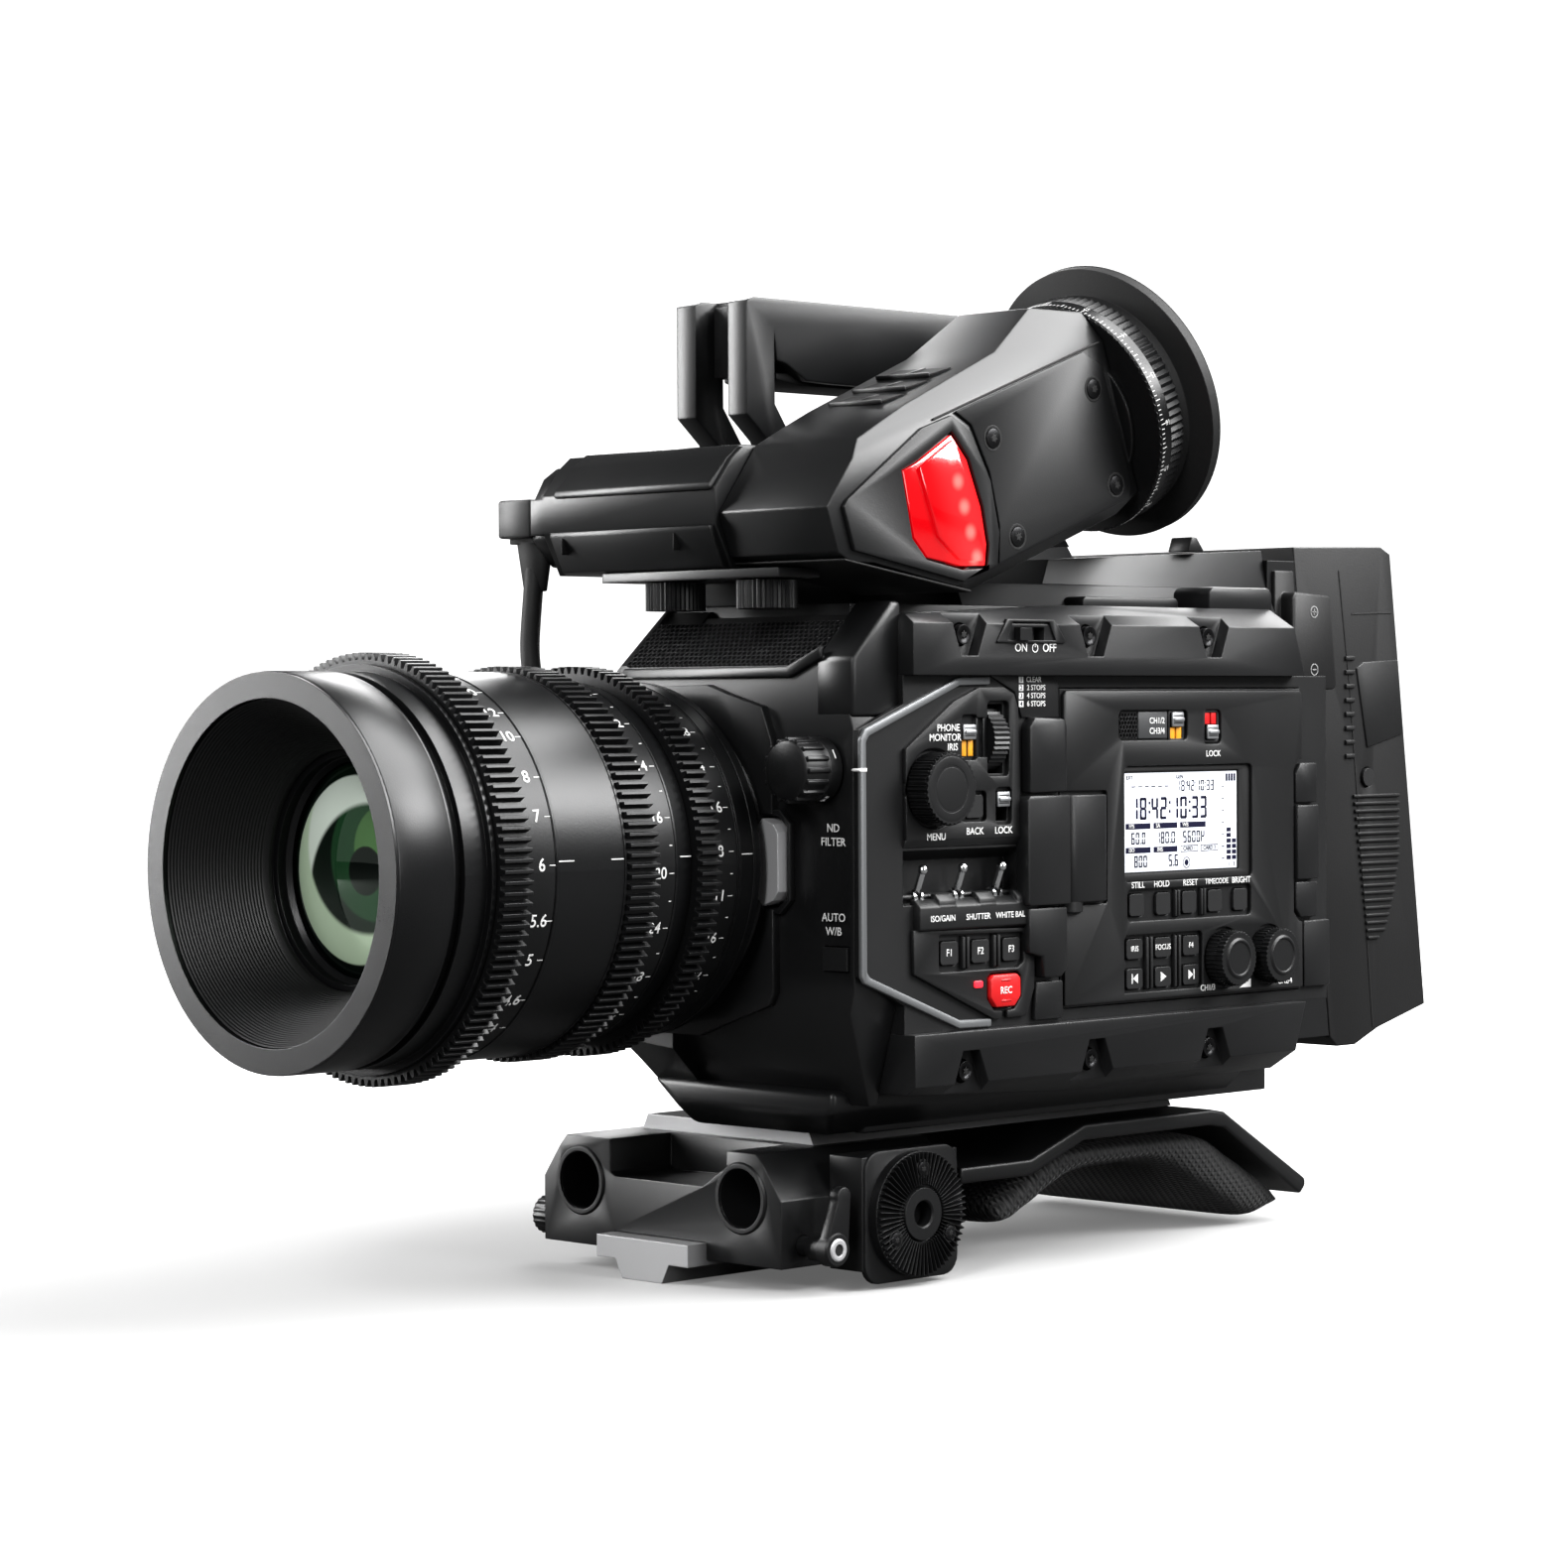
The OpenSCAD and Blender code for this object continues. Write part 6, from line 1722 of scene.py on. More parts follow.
            side_words(names, words, 1.5, y, z, self.lcd_x + 0.09)
        names.piece("status_names", Finishes.white, "monitor_door", "display_panels")
        frame_ring = Shape().prism(X, 69.5, 70.2, rounded(60.7, 113.5, 100.3, 130.5, 1.4), 0.0)
        frame_ring.cut(Shape().prism(X, 69.0, 71.0, rounded(61.2, 108.8, 102.2, 129.0, 0.4), 0.0)).eased(0.1)
        frame_ring.piece("status_bezel", Finishes.dark, "monitor_door", "display_panels")

    def words(self) -> None:
        """Prints the generic words and signs of the door."""
        shape, top = Shape(), SIDE_X + self.skin_t + 0.02
        for words, y, z in (("STILL", 65.8, 99.25), ("HOLD", 75.4, 99.25), ("RESET", 87.2, 99.25), (
            "TIMECODE", 98.2, 99.25
        ), ("BRIGHT", 108.6, 99.25),
                            ("LOCK", 97.0, 133.4), ("CH1/3", 94.4, 70.9), ("CH2/4", 127.4, 71.1)):
            side_words(shape, words, self.label * (self.small if len(words) > 6 else 1.0), y, z, top)
        for words, z in (("CH1/2", 142.3), ("CH3/4", 139.6)):
            side_words(shape, words, self.label, 74.4, z, 70.58)
        shape.prism(X, top - 0.05, top + 0.05, [(107.6, 70.2), (112.6, 70.2), (112.6, 72.6)], 0.0)
        shape.piece("door_words", Finishes.white, "monitor_door", "trim_bright")
        signs = Shape()
        x = 70.82
        for words, y in (("IRIS", 64.73), ("FOCUS", 76.26), ("F4", 87.79)):
            side_words(signs, words, 2.0, y, 82.57, x)
        for arrow in (
            [(75.2, 73.5), (77.5, 74.8), (75.2, 76.1)], [(65.9, 73.5), (65.9, 76.1), (64.0, 74.8)],
            [(86.6, 73.5), (88.5, 74.8), (86.6, 76.1)],
        ):
            signs.prism(X, x, x + 0.08, arrow, 0.0)
        for y in (63.4, 88.7):
            signs.block((x, y, 73.5), (x + 0.08, y + 0.4, 76.1), 0.0)
        signs.piece("transport_signs", Finishes.white, "transport_buttons", "trim_bright")

    def level_knobs(self) -> None:
        """Builds the ribbed rims and dished faces of the two level knobs."""
        for name, body, y in self.knobs:
            c = (0.0, y, self.knob_z)
            face = Shape()
            face.turned(
                X, c,
                [
                    (0.0, 76.45), (4.3, 76.45), (4.5, 76.7), (4.9, 76.75), (5.3, 76.5), (6.3, 75.6), (6.9, 74.2),
                    (7.25, 72.6), (7.25, 70.6), (0.0, 70.6)
                ],
                64
            )
            rib = Shape().prism(X, 70.9, 74.0, [(-0.2, 7.0), (-0.1, 7.6), (0.1, 7.6), (0.2, 7.0)], 0.0)
            rib.prism(X, 74.0, 75.6, [(-0.2, 6.2), (-0.1, 6.9), (0.1, 6.9), (0.2, 6.2)], 0.0)
            face.repeated(rib, X, c, 40).piece(name, Finishes.knob, body, "knob_black", recalc=True)

    def latches(self) -> None:
        """Builds the three chamfered blocks at the door's rear edge and the plate under them."""
        blocks = Shape()
        for top, outline in (
            (71.3, [(132.4, 119.6), (132.4, 127.6), (134.4, 130.4), (141.6, 130.4), (141.6, 119.6)]),
            (72.0, [(132.2, 98.6), (132.2, 118.9), (141.6, 118.9), (141.6, 98.6)]),
            (71.3, [(132.4, 97.9), (132.4, 90.6), (134.4, 88.2), (141.6, 88.2), (141.6, 97.9)]),
        ):
            blocks.prism(X, 69.4, top, outline, 0.4)
        blocks.piece("rear_latch_blocks", Finishes.body)
        corner = Shape().prism(X, 69.3, 71.0, [(136.2, 69.0), (136.2, 87.2), (147.6, 87.2), (147.6, 69.0)], 0.5)
        corner.piece("rear_corner_plate", Finishes.body)

    def build(self) -> None:
        """Makes every piece of the door."""
        self.skin()
        self.wells()
        self.mesh_window()
        self.display()
        self.words()
        self.level_knobs()
        self.latches()


# Rounded castings


@dataclass
class SoftCastings:
    """Rounded copies of the moulded and cast parts, in place of their plain nodes."""

    castings: tuple[tuple[str, str, float, str], ...] = (
        ("handle", "camera", 1.3, "body_black"), ("viewfinder_bar", "camera", 1.1, "body_black"),
        ("viewfinder_body", "viewfinder", 1.3, "body_black"), ("battery", "battery_pack", 1.2, "battery_black"),
        ("base_plate", "camera", 0.8, "base_black"), ("shoulder_frame", "camera", 0.9, "base_black"),
        ("rod_knob", "base_knob", 0.4, "knob_black"),
    )

    def build(self) -> None:
        """Copies each casting, rounds its sharp edges and puts it in the node's place."""
        for name, body, width, slot in self.castings:
            finish = Finishes.shell if name in ("handle", "viewfinder_bar", "viewfinder_body") else NODE_FINISH[name]
            copy = Shape().node(name).eased(width, 3, 35.0)
            copy.piece(name + "_rounded", finish, body, slot, replaces=(name,), smooth=40.0)


# Viewfinder


PIVOT = Matrix.Translation((0.0, -37.4, 193.865)) @ Matrix.Rotation(math.radians(20.0), 4, "X")


@dataclass
class Viewfinder:
    """Side plate, tally lamp, vents, dioptre scale and ocular of the tilting viewfinder."""

    side_x: float = 70.0
    mid_x: float = 51.2
    eye_z: float = -7.409
    ring_y: float = 101.84
    ring_r: float = 31.0
    marks: int = 150
    screw_places: tuple[Point, ...] = ((51.8, 2.5), (93.0, 2.8), (52.0, -23.7), (93.0, -23.3))

    def side(self) -> None:
        """Builds the grained side plate with its four screws and the dark surround of the lamp."""
        plate = Shape().prism(X, self.side_x - 0.1, self.side_x + 0.8, [(41.0, 12.9), (92.5, 12.9), (98.6, 7.5), (98.9, -25.5),
                              (97.0, -27.9), (43.2, -27.9), (46.8, -19.0), (47.9, -5.2), (45.6, 8.0)], 0.35)
        plate.moved(PIVOT).piece("finder_side_plate", Finishes.panel, "viewfinder")
        head, star = Shape(), Shape()
        for y, z in self.screw_places:
            torx(self.side_x + 0.8, y, z, 2.6, head, star)
        head.moved(PIVOT).piece("finder_screws", Finishes.screw, "viewfinder", "screw_dark", recalc=True)
        # Painted shade of the screw recesses and of the gaps round the heads.
        star.moved(PIVOT).piece("finder_screw_sockets", Finishes.dark, "viewfinder", "screw_dark", recalc=True)
        outer = [
            (-5.6, 3.4), (-3.6, 4.6), (27.5, 12.9), (39.0, 12.6), (44.4, 6.5), (47.0, -7.1), (45.6, -20.4),
            (42.2, -27.9), (29.0, -27.9), (-5.6, -8.0)
        ]
        rim = [
            (17.0, 5.6), (22.9, 5.9), (37.6, 8.8), (41.2, 0.4), (42.0, -12.2), (40.8, -22.2), (38.2, -27.4),
            (29.2, -24.7), (17.9, -18.2), (14.8, -11.7)
        ]
        surround = Shape().framed(X, self.side_x - 0.1, self.side_x + 1.3, outer, (rim,), 0.45)
        surround.moved(PIVOT).piece("tally_surround", Finishes.panel, "viewfinder")
        seam = Shape().prism(
            X, self.side_x - 0.2, self.side_x + 0.35, [(33.0, 13.1), (33.0, 13.6), (100.0, 13.6), (100.0, 13.1)], 0.0
        )
        seam.prism(X, 32.0, 70.35, [(-9.0, -9.3), (-9.0, -8.8), (31.4, -30.9), (31.0, -31.3)], 0.0)
        seam.moved(PIVOT).piece("finder_seams", Finishes.dark, "viewfinder")

    def lamp_finish(self) -> bpy.types.Material:
        """Red lamp with a bright core and a row of light points behind the lens.

        Returns:
            The material.
        """
        made = bpy.data.materials.new("tally_lit_red")
        n = fresh_nodes(made)
        shader = n.principled({"Emission Strength": 0.95, "Roughness": 0.12, "Coat Weight": 0.8})
        place = n.add("ShaderNodeMapping", vector_type="TEXTURE")
        n.values(place, {"Location": (0.0, -0.0374, 0.193865), "Rotation": (math.radians(20.0), 0.0, 0.0)})
        n.link(n.object_place(), place.inputs["Vector"])
        parts = n.add("ShaderNodeSeparateXYZ")
        n.link(place.outputs[0], parts.inputs[0])
        across = n.maths("ABSOLUTE", n.maths("SUBTRACT", parts.outputs["Y"], 0.0345))
        row = n.maths("SUBTRACT", n.maths("FRACT", n.maths("MULTIPLY", parts.outputs["Z"], 150.0)), 0.5)
        reach = n.maths(
            "SQRT",
            n.maths("ADD", n.maths("POWER", n.maths("MULTIPLY", across, 150.0), 2.0), n.maths("POWER", row, 2.0))
        )
        dots = n.maths("SUBTRACT", 1.0, n.ramp(reach, 0.05, 0.42))
        core = n.maths("SUBTRACT", 1.0, n.ramp(across, 0.001, 0.011))
        glow = n.mix(core, (0.42, 0.0, 0.004, 1.0), (1.0, 0.02, 0.025, 1.0))
        n.link(n.mix(n.maths("MULTIPLY", dots, 0.75), glow, (1.0, 0.42, 0.36, 1.0)), shader.inputs["Emission Color"])
        n.link(n.mix(core, (0.3, 0.002, 0.004, 1.0), (0.7, 0.01, 0.012, 1.0)), shader.inputs["Base Color"])
        return made

    def tally(self) -> None:
        """Builds the lamp's rim and its lens of two slanting facets."""
        rim = [
            (17.4, 5.0), (22.9, 5.3), (37.2, 8.0), (40.5, 0.4), (41.3, -12.2), (40.1, -21.7), (37.7, -26.6),
            (29.6, -23.9), (18.4, -17.8), (15.6, -11.7)
        ]
        lens = Shape().prism(X, self.side_x - 1.4, self.side_x + 1.0, rim, 0.3)
        face = [
            (22.4, 4.2), (36.4, 7.0), (39.2, 0.0), (40.0, -12.2), (38.8, -21.4), (36.8, -25.2), (28.6, -22.2),
            (23.2, -14.2)
        ]
        lens.prism(X, self.side_x + 0.9, self.side_x + 2.0, face, 0.7)
        made = lens.moved(PIVOT).piece(
            "tally_lamp", Finishes.lamp, "viewfinder", "record_red", replaces=("tally_lens",), smooth=25.0
        )
        made.data.materials.clear()
        made.data.materials.append(self.lamp_finish())

    def vents(self) -> None:
        """Builds the three slanting vents on the top slope, their floors dark as painted shade."""
        floor, ribs = Shape(), Shape()
        for y in (30.5, 40.0, 49.5):
            z = 19.2 + (y - 27.9) * 0.062
            skew = [(38.5, y + 1.2), (57.0, y), (59.5, y + 5.4), (41.0, y + 6.6)]
            floor.prism(Z, z - 0.2, z + 0.42, skew, 0.0)
            ribs.prism(Z, z - 0.2, z + 0.9, [(37.4, y + 0.6), (57.4, y - 0.8), (57.0, y), (38.5, y + 1.2)], 0.12)
            ribs.prism(Z, z - 0.2, z + 0.7, [(47.0, y + 0.7), (48.2, y + 0.6), (50.6, y + 6.0), (49.4, y + 6.1)], 0.12)
        # Painted shade: dark floors inside the vent slots.
        floor.moved(PIVOT).piece("finder_vent_floors", Finishes.dark, "viewfinder")
        ribs.moved(PIVOT).piece("finder_vent_ribs", Finishes.shell, "viewfinder")

    def dioptre(self) -> None:
        """Builds the plain scale band of the dioptre ring with its ticks and numbers, and the ocular."""
        c, y0, r = (self.mid_x, 0.0, self.eye_z), self.ring_y, self.ring_r
        band = Shape().turned(
            Y, c,
            [
                (r - 2.0, y0 + 0.35), (r - 0.3, y0 + 0.35), (r + 0.1, y0 + 0.8), (r + 0.1, y0 + 4.7),
                (r - 0.3, y0 + 5.0), (r - 2.0, y0 + 5.0), (r - 2.0, y0 + 0.35)
            ],
            128
        )
        band.moved(PIVOT).piece("dioptre_band", Finishes.lens, "dioptre", "knob_black")
        marks = Shape()
        for i in range(self.marks):
            place, long = on_barrel(c, r + 0.1, i * 360 / self.marks), 1.7 if i % 5 == 0 else 1.0
            marks.join(Shape().block((-0.11, y0 + 0.95, -0.05), (0.11, y0 + 0.95 + long, 0.05), 0.0), place)
            if i % 10 == 0:
                spot = Matrix.Translation((0, y0 + 3.7, 0)) @ Matrix.Rotation(math.radians(-90), 4, "Z")
                marks.text(str((i // 10 + 12) % 20), 1.9, place @ spot, 0.08)
        marks.moved(PIVOT).piece("dioptre_marks", Finishes.white, "dioptre", "trim_bright")
        glass = Shape().turned(
            Y, c, [(0.0, y0 + 6.0), (8.0, y0 + 5.2), (15.0, y0 + 2.8), (15.0, y0 - 1.0), (0.0, y0 - 1.0)], 64
        )
        glass.moved(PIVOT).piece("ocular", Finishes.ocular, "viewfinder", "coated_glass", recalc=True)
        lip = Shape().turned(
            Y, c, [(r + 5.6, 119.3), (r + 6.1, 119.7), (r + 6.0, 119.8), (r + 5.0, 119.6), (r + 5.6, 119.3)], 128
        )
        lip.moved(PIVOT).piece("eyecup_lip", Finishes.rubber, "viewfinder", "cup_rubber")

    def build(self) -> None:
        """Makes every detail of the viewfinder."""
        self.side()
        self.tally()
        self.vents()
        self.dioptre()


@dataclass
class Crossbar:
    """Shells of the viewfinder's crossbar, its cable with the tapered relief, and the handle's inlays."""

    cable_r: float = 2.6
    route: tuple[Point, ...] = (
        (-43.23, -42.966, 191.396), (-43.025, -43.2, 184.9), (-42.274, -44.5, 177.476), (-40.771, -46.58, 170.052),
        (-38.995, -48.66, 163.556), (-37.493, -49.7, 157.988), (-36.673, -49.18, 153.07), (-36.4, -46.84, 148.615),
        (-36.4, -43.2, 145.553), (-36.4, -40.47, 144.996), (-36.4, -38.078, 144.996),
    )

    def smooth_route(self, steps: int = 3) -> list[Vector]:
        """Runs one smooth line through the route's points.

        Args:
            steps: points for each stretch.

        Returns:
            The line's points.
        """
        p = [Vector(q) for q in self.route]
        last, line = len(p) - 1, []
        for i in range(last):
            a, b, c, d = p[max(i - 1, 0)], p[i], p[i + 1], p[min(i + 2, last)]
            for k in range(steps):
                t = k / steps
                line.append(
                    0.5 * (2 * b + (c - a) * t + (2 * a - 5 * b + 4 * c - d) * t * t + (3 * b - a - 3 * c + d) * t**3)
                )
        return [*line, p[last]]

    def cable(self) -> None:
        """Lays the cable as one cord from the socket into the front of the camera."""
        line = self.smooth_route()
        curve = bpy.data.curves.new("finder_cable", "CURVE")
        curve.dimensions, curve.bevel_depth, curve.bevel_resolution = "3D", self.cable_r * MM, 5
        spline = curve.splines.new("POLY")
        spline.points.add(len(line) - 1)
        for point, at in zip(spline.points, line, strict=True):
            point.co = (*(at * MM), 1.0)
        spline.use_smooth = True
        curve.use_fill_caps = True
        made = bpy.data.objects.new("finder_cable", curve)
        bpy.context.scene.collection.objects.link(made)
        curve.materials.append(Finishes.rubber.material())
        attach(made, "camera")
        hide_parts("viewfinder_cable")
        relief = Shape().prism(Z, 0.0, -2.0, rounded(-7.2, 7.2, -3.6, 3.6, 1.6), 0.3)
        relief.moved(Matrix.Translation((-43.0, -42.9, 191.6)))
        taper = Shape().rod(Z, (-43.1, -43.0, 190.2), 4.4, -13.0, 32, 0.3, top=2.75)
        taper.moved(
            Matrix.Translation((-43.1, -43.0, 190.2)) @ Matrix.Diagonal(
                (1.35, 0.85, 1.0, 1.0)
            ) @ Matrix.Translation((43.1, 43.0, -190.2))
        )
        relief.join(taper)
        boot = relief.piece("cable_relief", Finishes.rubber, slot="cup_rubber")

    def shells(self) -> None:
        """Builds the crossbar's upper cover, lower shell with its lip, and end cap."""
        upper = Shape().prism(
            X, -27.6, 30.6,
            [
                (-50.4, 200.6), (-50.4, 202.2), (-43.8, 209.0), (-39.2, 212.4), (-27.6, 212.4), (-25.0, 210.2),
                (-25.0, 203.0), (-30.0, 200.4)
            ],
            0.7
        )
        upper.piece("crossbar_cover", Finishes.shell)
        lower = Shape().prism(
            X, -28.6, 31.2,
            [
                (-50.7, 190.6), (-50.7, 191.8), (-47.0, 192.0), (-44.5, 181.6), (-30.0, 181.2), (-30.0, 180.8),
                (-45.2, 180.8), (-46.4, 181.6)
            ],
            0.35
        )
        lower.piece("crossbar_lower_shell", Finishes.shell)
        cap = Shape().prism(
            X, -38.2, -31.0,
            [
                (-49.0, 199.0), (-44.6, 206.4), (-40.0, 209.4), (-30.4, 209.4), (-27.2, 205.4), (-27.2, 187.0),
                (-30.0, 183.4), (-42.0, 183.2), (-48.4, 190.0)
            ],
            0.9
        )
        cap.piece("crossbar_end_cap", Finishes.shell)
        plug = Shape().block((-50.2, -49.9, 191.0), (-37.4, -32.2, 201.0), 0.8)
        plug.piece("cable_plug", Finishes.panel)
        seams = Shape()
        for x in (-24.0, 18.0):
            seams.block((x, -50.86, 186.0), (x + 0.25, -47.0, 190.2), 0.05)
        seams.piece("crossbar_seams", Finishes.dark)

    def inlays(self) -> None:
        """Builds the rubber grip under the handle and the block between its prongs."""
        grip = Shape().prism(
            X, -9.8, 9.8, [(-6.0, 231.6), (2.0, 230.3), (62.0, 230.3), (72.0, 231.6), (72.0, 233.4), (-6.0, 233.4)], 0.6
        )
        grip.piece("handle_grip_pad", Finishes.rubber, slot="cup_rubber")
        block = Shape().block((-4.6, -14.6, 232.0), (4.6, -9.0, 250.6), 0.5)
        block.piece("handle_slot_block", Finishes.panel)

    def build(self) -> None:
        """Makes the crossbar's shells, the cable and the handle's inlays."""
        self.cable()
        self.shells()
        self.inlays()


# Front, top, battery and base


def wedge(at: Point, out: Point) -> Shape:
    """Cutter that takes away what lies beyond a plane.

    Args:
        at: a point of the plane.
        out: its direction outwards.

    Returns:
        The cutter.
    """
    turn = Vector(out).normalized().to_track_quat("X", "Z").to_matrix().to_4x4()
    return Shape().block((0.0, -260.0, -260.0), (260.0, 260.0, 260.0), 0.0).moved(Matrix.Translation(Vector(at)) @ turn)


def far_tools(inset: float = 0.0) -> list[Shape]:
    """Cutters of the three facets at the far front corner of the body.

    Args:
        inset: how far the facets are moved inwards.

    Returns:
        The cutters.
    """
    tools = []
    for at, out in (
        ((-44.0, -38.0, 108.0), (-0.704, -0.71, 0.0)), ((-42.0, -38.0, 134.0), (-15.5, -15.6, 17.6)),
        ((-42.0, -38.0, 80.0), (-15.9, -16.0, -20.4)),
    ):
        tools.append(wedge(tuple(Vector(at) - Vector(out).normalized() * inset), out))
    return tools


def chin_tool() -> Shape:
    """Cutter of the receding chin under the body's front."""
    return wedge((0.0, -38.0, 60.0), (-8.0, -88.0, -88.0))


@dataclass
class FacetedBody:
    """Castings of the body with the facets of the far front corner and the receding chin."""

    castings: tuple[tuple[str, float, float], ...] = (
        ("front_casting", 0.9, 30.0), ("side_rails", 0.55, 30.0), ("far_cover", 0.6, 30.0), ("top_cover", 0.7, 30.0),
        ("chassis", 0.4, 40.0),
    )

    def build(self) -> None:
        """Cuts the castings' copies, closes the facets and builds the skirt under the body."""
        for name, width, sharp in self.castings:
            copy = Shape().node(name).cut(*far_tools())
            if name == "front_casting":
                copy.cut(chin_tool())
            copy.eased(width, 2, sharp)
            copy.piece(name + "_faceted", NODE_FINISH[name], replaces=(name,))
        kept = Shape().node("screws")
        gone = [v for v in kept.bm.verts if v.co.x < -60.0 and v.co.y < 10.0]
        bmesh.ops.delete(kept.bm, geom=gone, context="VERTS")
        kept.piece("screws_kept", Finishes.screw, slot="screw_dark", replaces=("screws",))
        facets = Shape()
        for low, high in (
            ((-69.2, -37.5, 47.6), (-46.3, 33.0, 171.2)), ((-69.1, -37.4, 150.3), (2.3, 32.7, 171.1)),
            ((-69.0, -37.3, 47.8), (2.6, 13.6, 64.2))
        ):
            corner = Shape().block(low, high, 0.0)
            corner.cut(*far_tools(0.35), wedge((0.0, -38.0, 156.0), (0.0, -1.0, 1.0)), chin_tool())
            facets.join(corner)
        facets.piece("far_facets", Finishes.body)
        skirt = Shape().block((-40.0, -31.0, 38.8), (53.6, 132.0, 50.5), 0.0)
        sides = (
            (0.0, -31.0, 44.5), (0.0, -1.0, -1.2)
        ), ((53.6, 0.0, 46.0), (1.0, 0.0, -1.0)), ((-40.0, 0.0, 46.0), (-1.0, 0.0, -1.0))
        skirt.cut(*far_tools(), *(wedge(at, out) for at, out in sides)).eased(1.6, 3)
        skirt.piece("body_skirt", Finishes.body)


@dataclass
class FrontDetails:
    """Lens surround, air mesh, filter knob and pointer on the camera's front."""

    axis_z: float = 108.0
    face_y: float = -38.0
    knob: tuple[float, float] = (57.4, 130.99)

    def surround(self) -> None:
        """Builds the plate round the lens mount with its notch for the release lever."""
        outline = [(19.0, 152.2), (25.9, 150.0), (38.6, 146.6), (42.1, 138.0), (42.4, 75.3), (40.6, 72.0), (28.0, 67.8), (15.6, 63.3),
                   (-15.6, 63.3), (-28.0, 70.8), (-39.0, 78.6), (-42.4, 82.3), (-42.1, 132.0), (-36.0, 138.2),
                   (-21.0, 151.4)]
        plate = Shape().prism(Y, self.face_y - 2.4, self.face_y + 0.2, outline, 0.0)
        hole = Shape().rod(Y, (0, self.face_y - 5, self.axis_z), 38.5, 10.0, 128, 0.0)
        hole.block((38.9, self.face_y - 5, 96.2), (46.0, self.face_y + 5, 119.8), 0.0)
        plate.cut(hole).eased(0.55)
        plate.piece("mount_surround", Finishes.body)
        outer = [(38.4, 95.0), (38.4, 121.0), (44.4, 121.0), (48.0, 117.6), (48.0, 98.4), (44.4, 95.0)]
        inner = [(36.0, 96.6), (36.0, 119.4), (44.0, 119.4), (46.9, 116.8), (46.9, 99.2), (44.0, 96.6)]
        bezel = Shape().framed(Y, self.face_y - 2.0, self.face_y + 0.2, outer, (inner,), 0.3)
        bezel.piece("release_bezel", Finishes.body)
        lip = Shape().turned(
            Y, (0, self.face_y, self.axis_z),
            [(38.2, -3.4), (39.6, -3.4), (40.2, -2.8), (40.2, 0.0), (38.2, 0.0), (38.2, -3.4)], 144
        )
        lip.piece("mount_lip", Finishes.lens)

    def mesh(self) -> None:
        """Builds the leaning air mesh over the lens with its bed in dark painted shade, its cheeks and crown."""
        sheet = Shape().honeycomb(-13.0, 56.0, 0.0, 15.4, 1.75, 0.42, 0.6)
        sheet.moved(Matrix.Translation((0, self.face_y - 0.2, 156.9)) @ Matrix.Rotation(math.radians(44), 4, "X"))
        sheet.piece("air_mesh", Finishes.mesh, slot="grille_black", replaces=("front_grille",))
        # Painted shade: a dark bed for the shaded cavity behind the mesh.
        bed = Shape().prism(
            X, -60.0, 60.0, [(-37.3, 155.6), (-37.3, 156.6), (-24.2, 169.4), (-21.8, 169.4), (-21.8, 155.6)], 0.0
        )
        bed.cut(*far_tools())
        bed.piece("air_mesh_bed", Finishes.dark, slot="grille_black")
        cheeks = Shape()
        for axis, low, high, outline, soft in (
            (X, 55.6, 68.35, [(-38.15, 144.0), (-38.15, 158.4), (-24.2, 172.6), (-20.8, 172.6), (-20.8, 144.0)], 1.0),
            (
                Y, -39.0, -37.4,
                [(-15.0, 153.8), (-13.6, 156.6), (46.0, 156.6), (58.0, 161.6), (58.0, 158.4), (47.0, 153.8)], 0.4
            ),
            (
                X, -9.0, 57.0,
                [(-27.6, 167.6), (-27.0, 169.4), (-21.6, 173.4), (-15.0, 175.6), (-15.0, 170.0), (-26.0, 166.6)], 0.4
            ),
            (X, -60.0, -12.4, [(-37.9, 155.4), (-37.9, 157.0), (-24.0, 171.4), (-15.0, 173.0), (-15.0, 155.4)], 0.0),
        ):
            cheeks.prism(axis, low, high, outline, soft)
        cheeks.cut(*far_tools()).eased(0.4)
        cheeks.piece("air_mesh_frame", Finishes.shell)

    def filter_knob(self) -> None:
        """Builds the fluted filter knob with its collar, number and pointer."""
        x, z = self.knob
        c = (x, 0.0, z)
        body = Shape().turned(
            Y, c,
            [
                (0.0, -50.8), (6.4, -50.8), (7.2, -50.3), (7.5, -49.4), (7.5, -43.2), (8.1, -42.7), (8.1, -38.9),
                (7.6, -38.4), (0.0, -38.4)
            ],
            96
        )
        rib = Shape().prism(Y, -50.2, -43.0, [(-0.75, 7.2), (-0.45, 8.15), (0.45, 8.15), (0.75, 7.2)], 0.15)
        body.repeated(rib, Y, c, 16).rod(Y, (x, -38.4, z), 2.96, 7.0, 32, 0.0)
        body.piece("filter_knob", Finishes.knob, "nd_control", "knob_black", replaces=("nd_knob",))
        number = Shape()
        for words, a in (("1", 62), ("2", 152), ("3", 242), ("4", 332)):
            number.text(words, 3.4, on_barrel((x, -40.8, z), 8.12, a, 90.0), 0.1)
        number.piece("filter_numbers", Finishes.white, "nd_control", "trim_bright")
        pointer = Shape().prism(
            X, 68.3, 71.1,
            [(-38.9, z - 0.1), (-38.2, z + 0.45), (-36.0, z + 0.45), (-36.0, z - 0.45), (-38.2, z - 0.45)], 0.1
        )
        pointer.piece("filter_pointer", Finishes.white, slot="trim_bright")

    def build(self) -> None:
        """Makes every detail of the front."""
        self.surround()
        self.mesh()
        self.filter_knob()


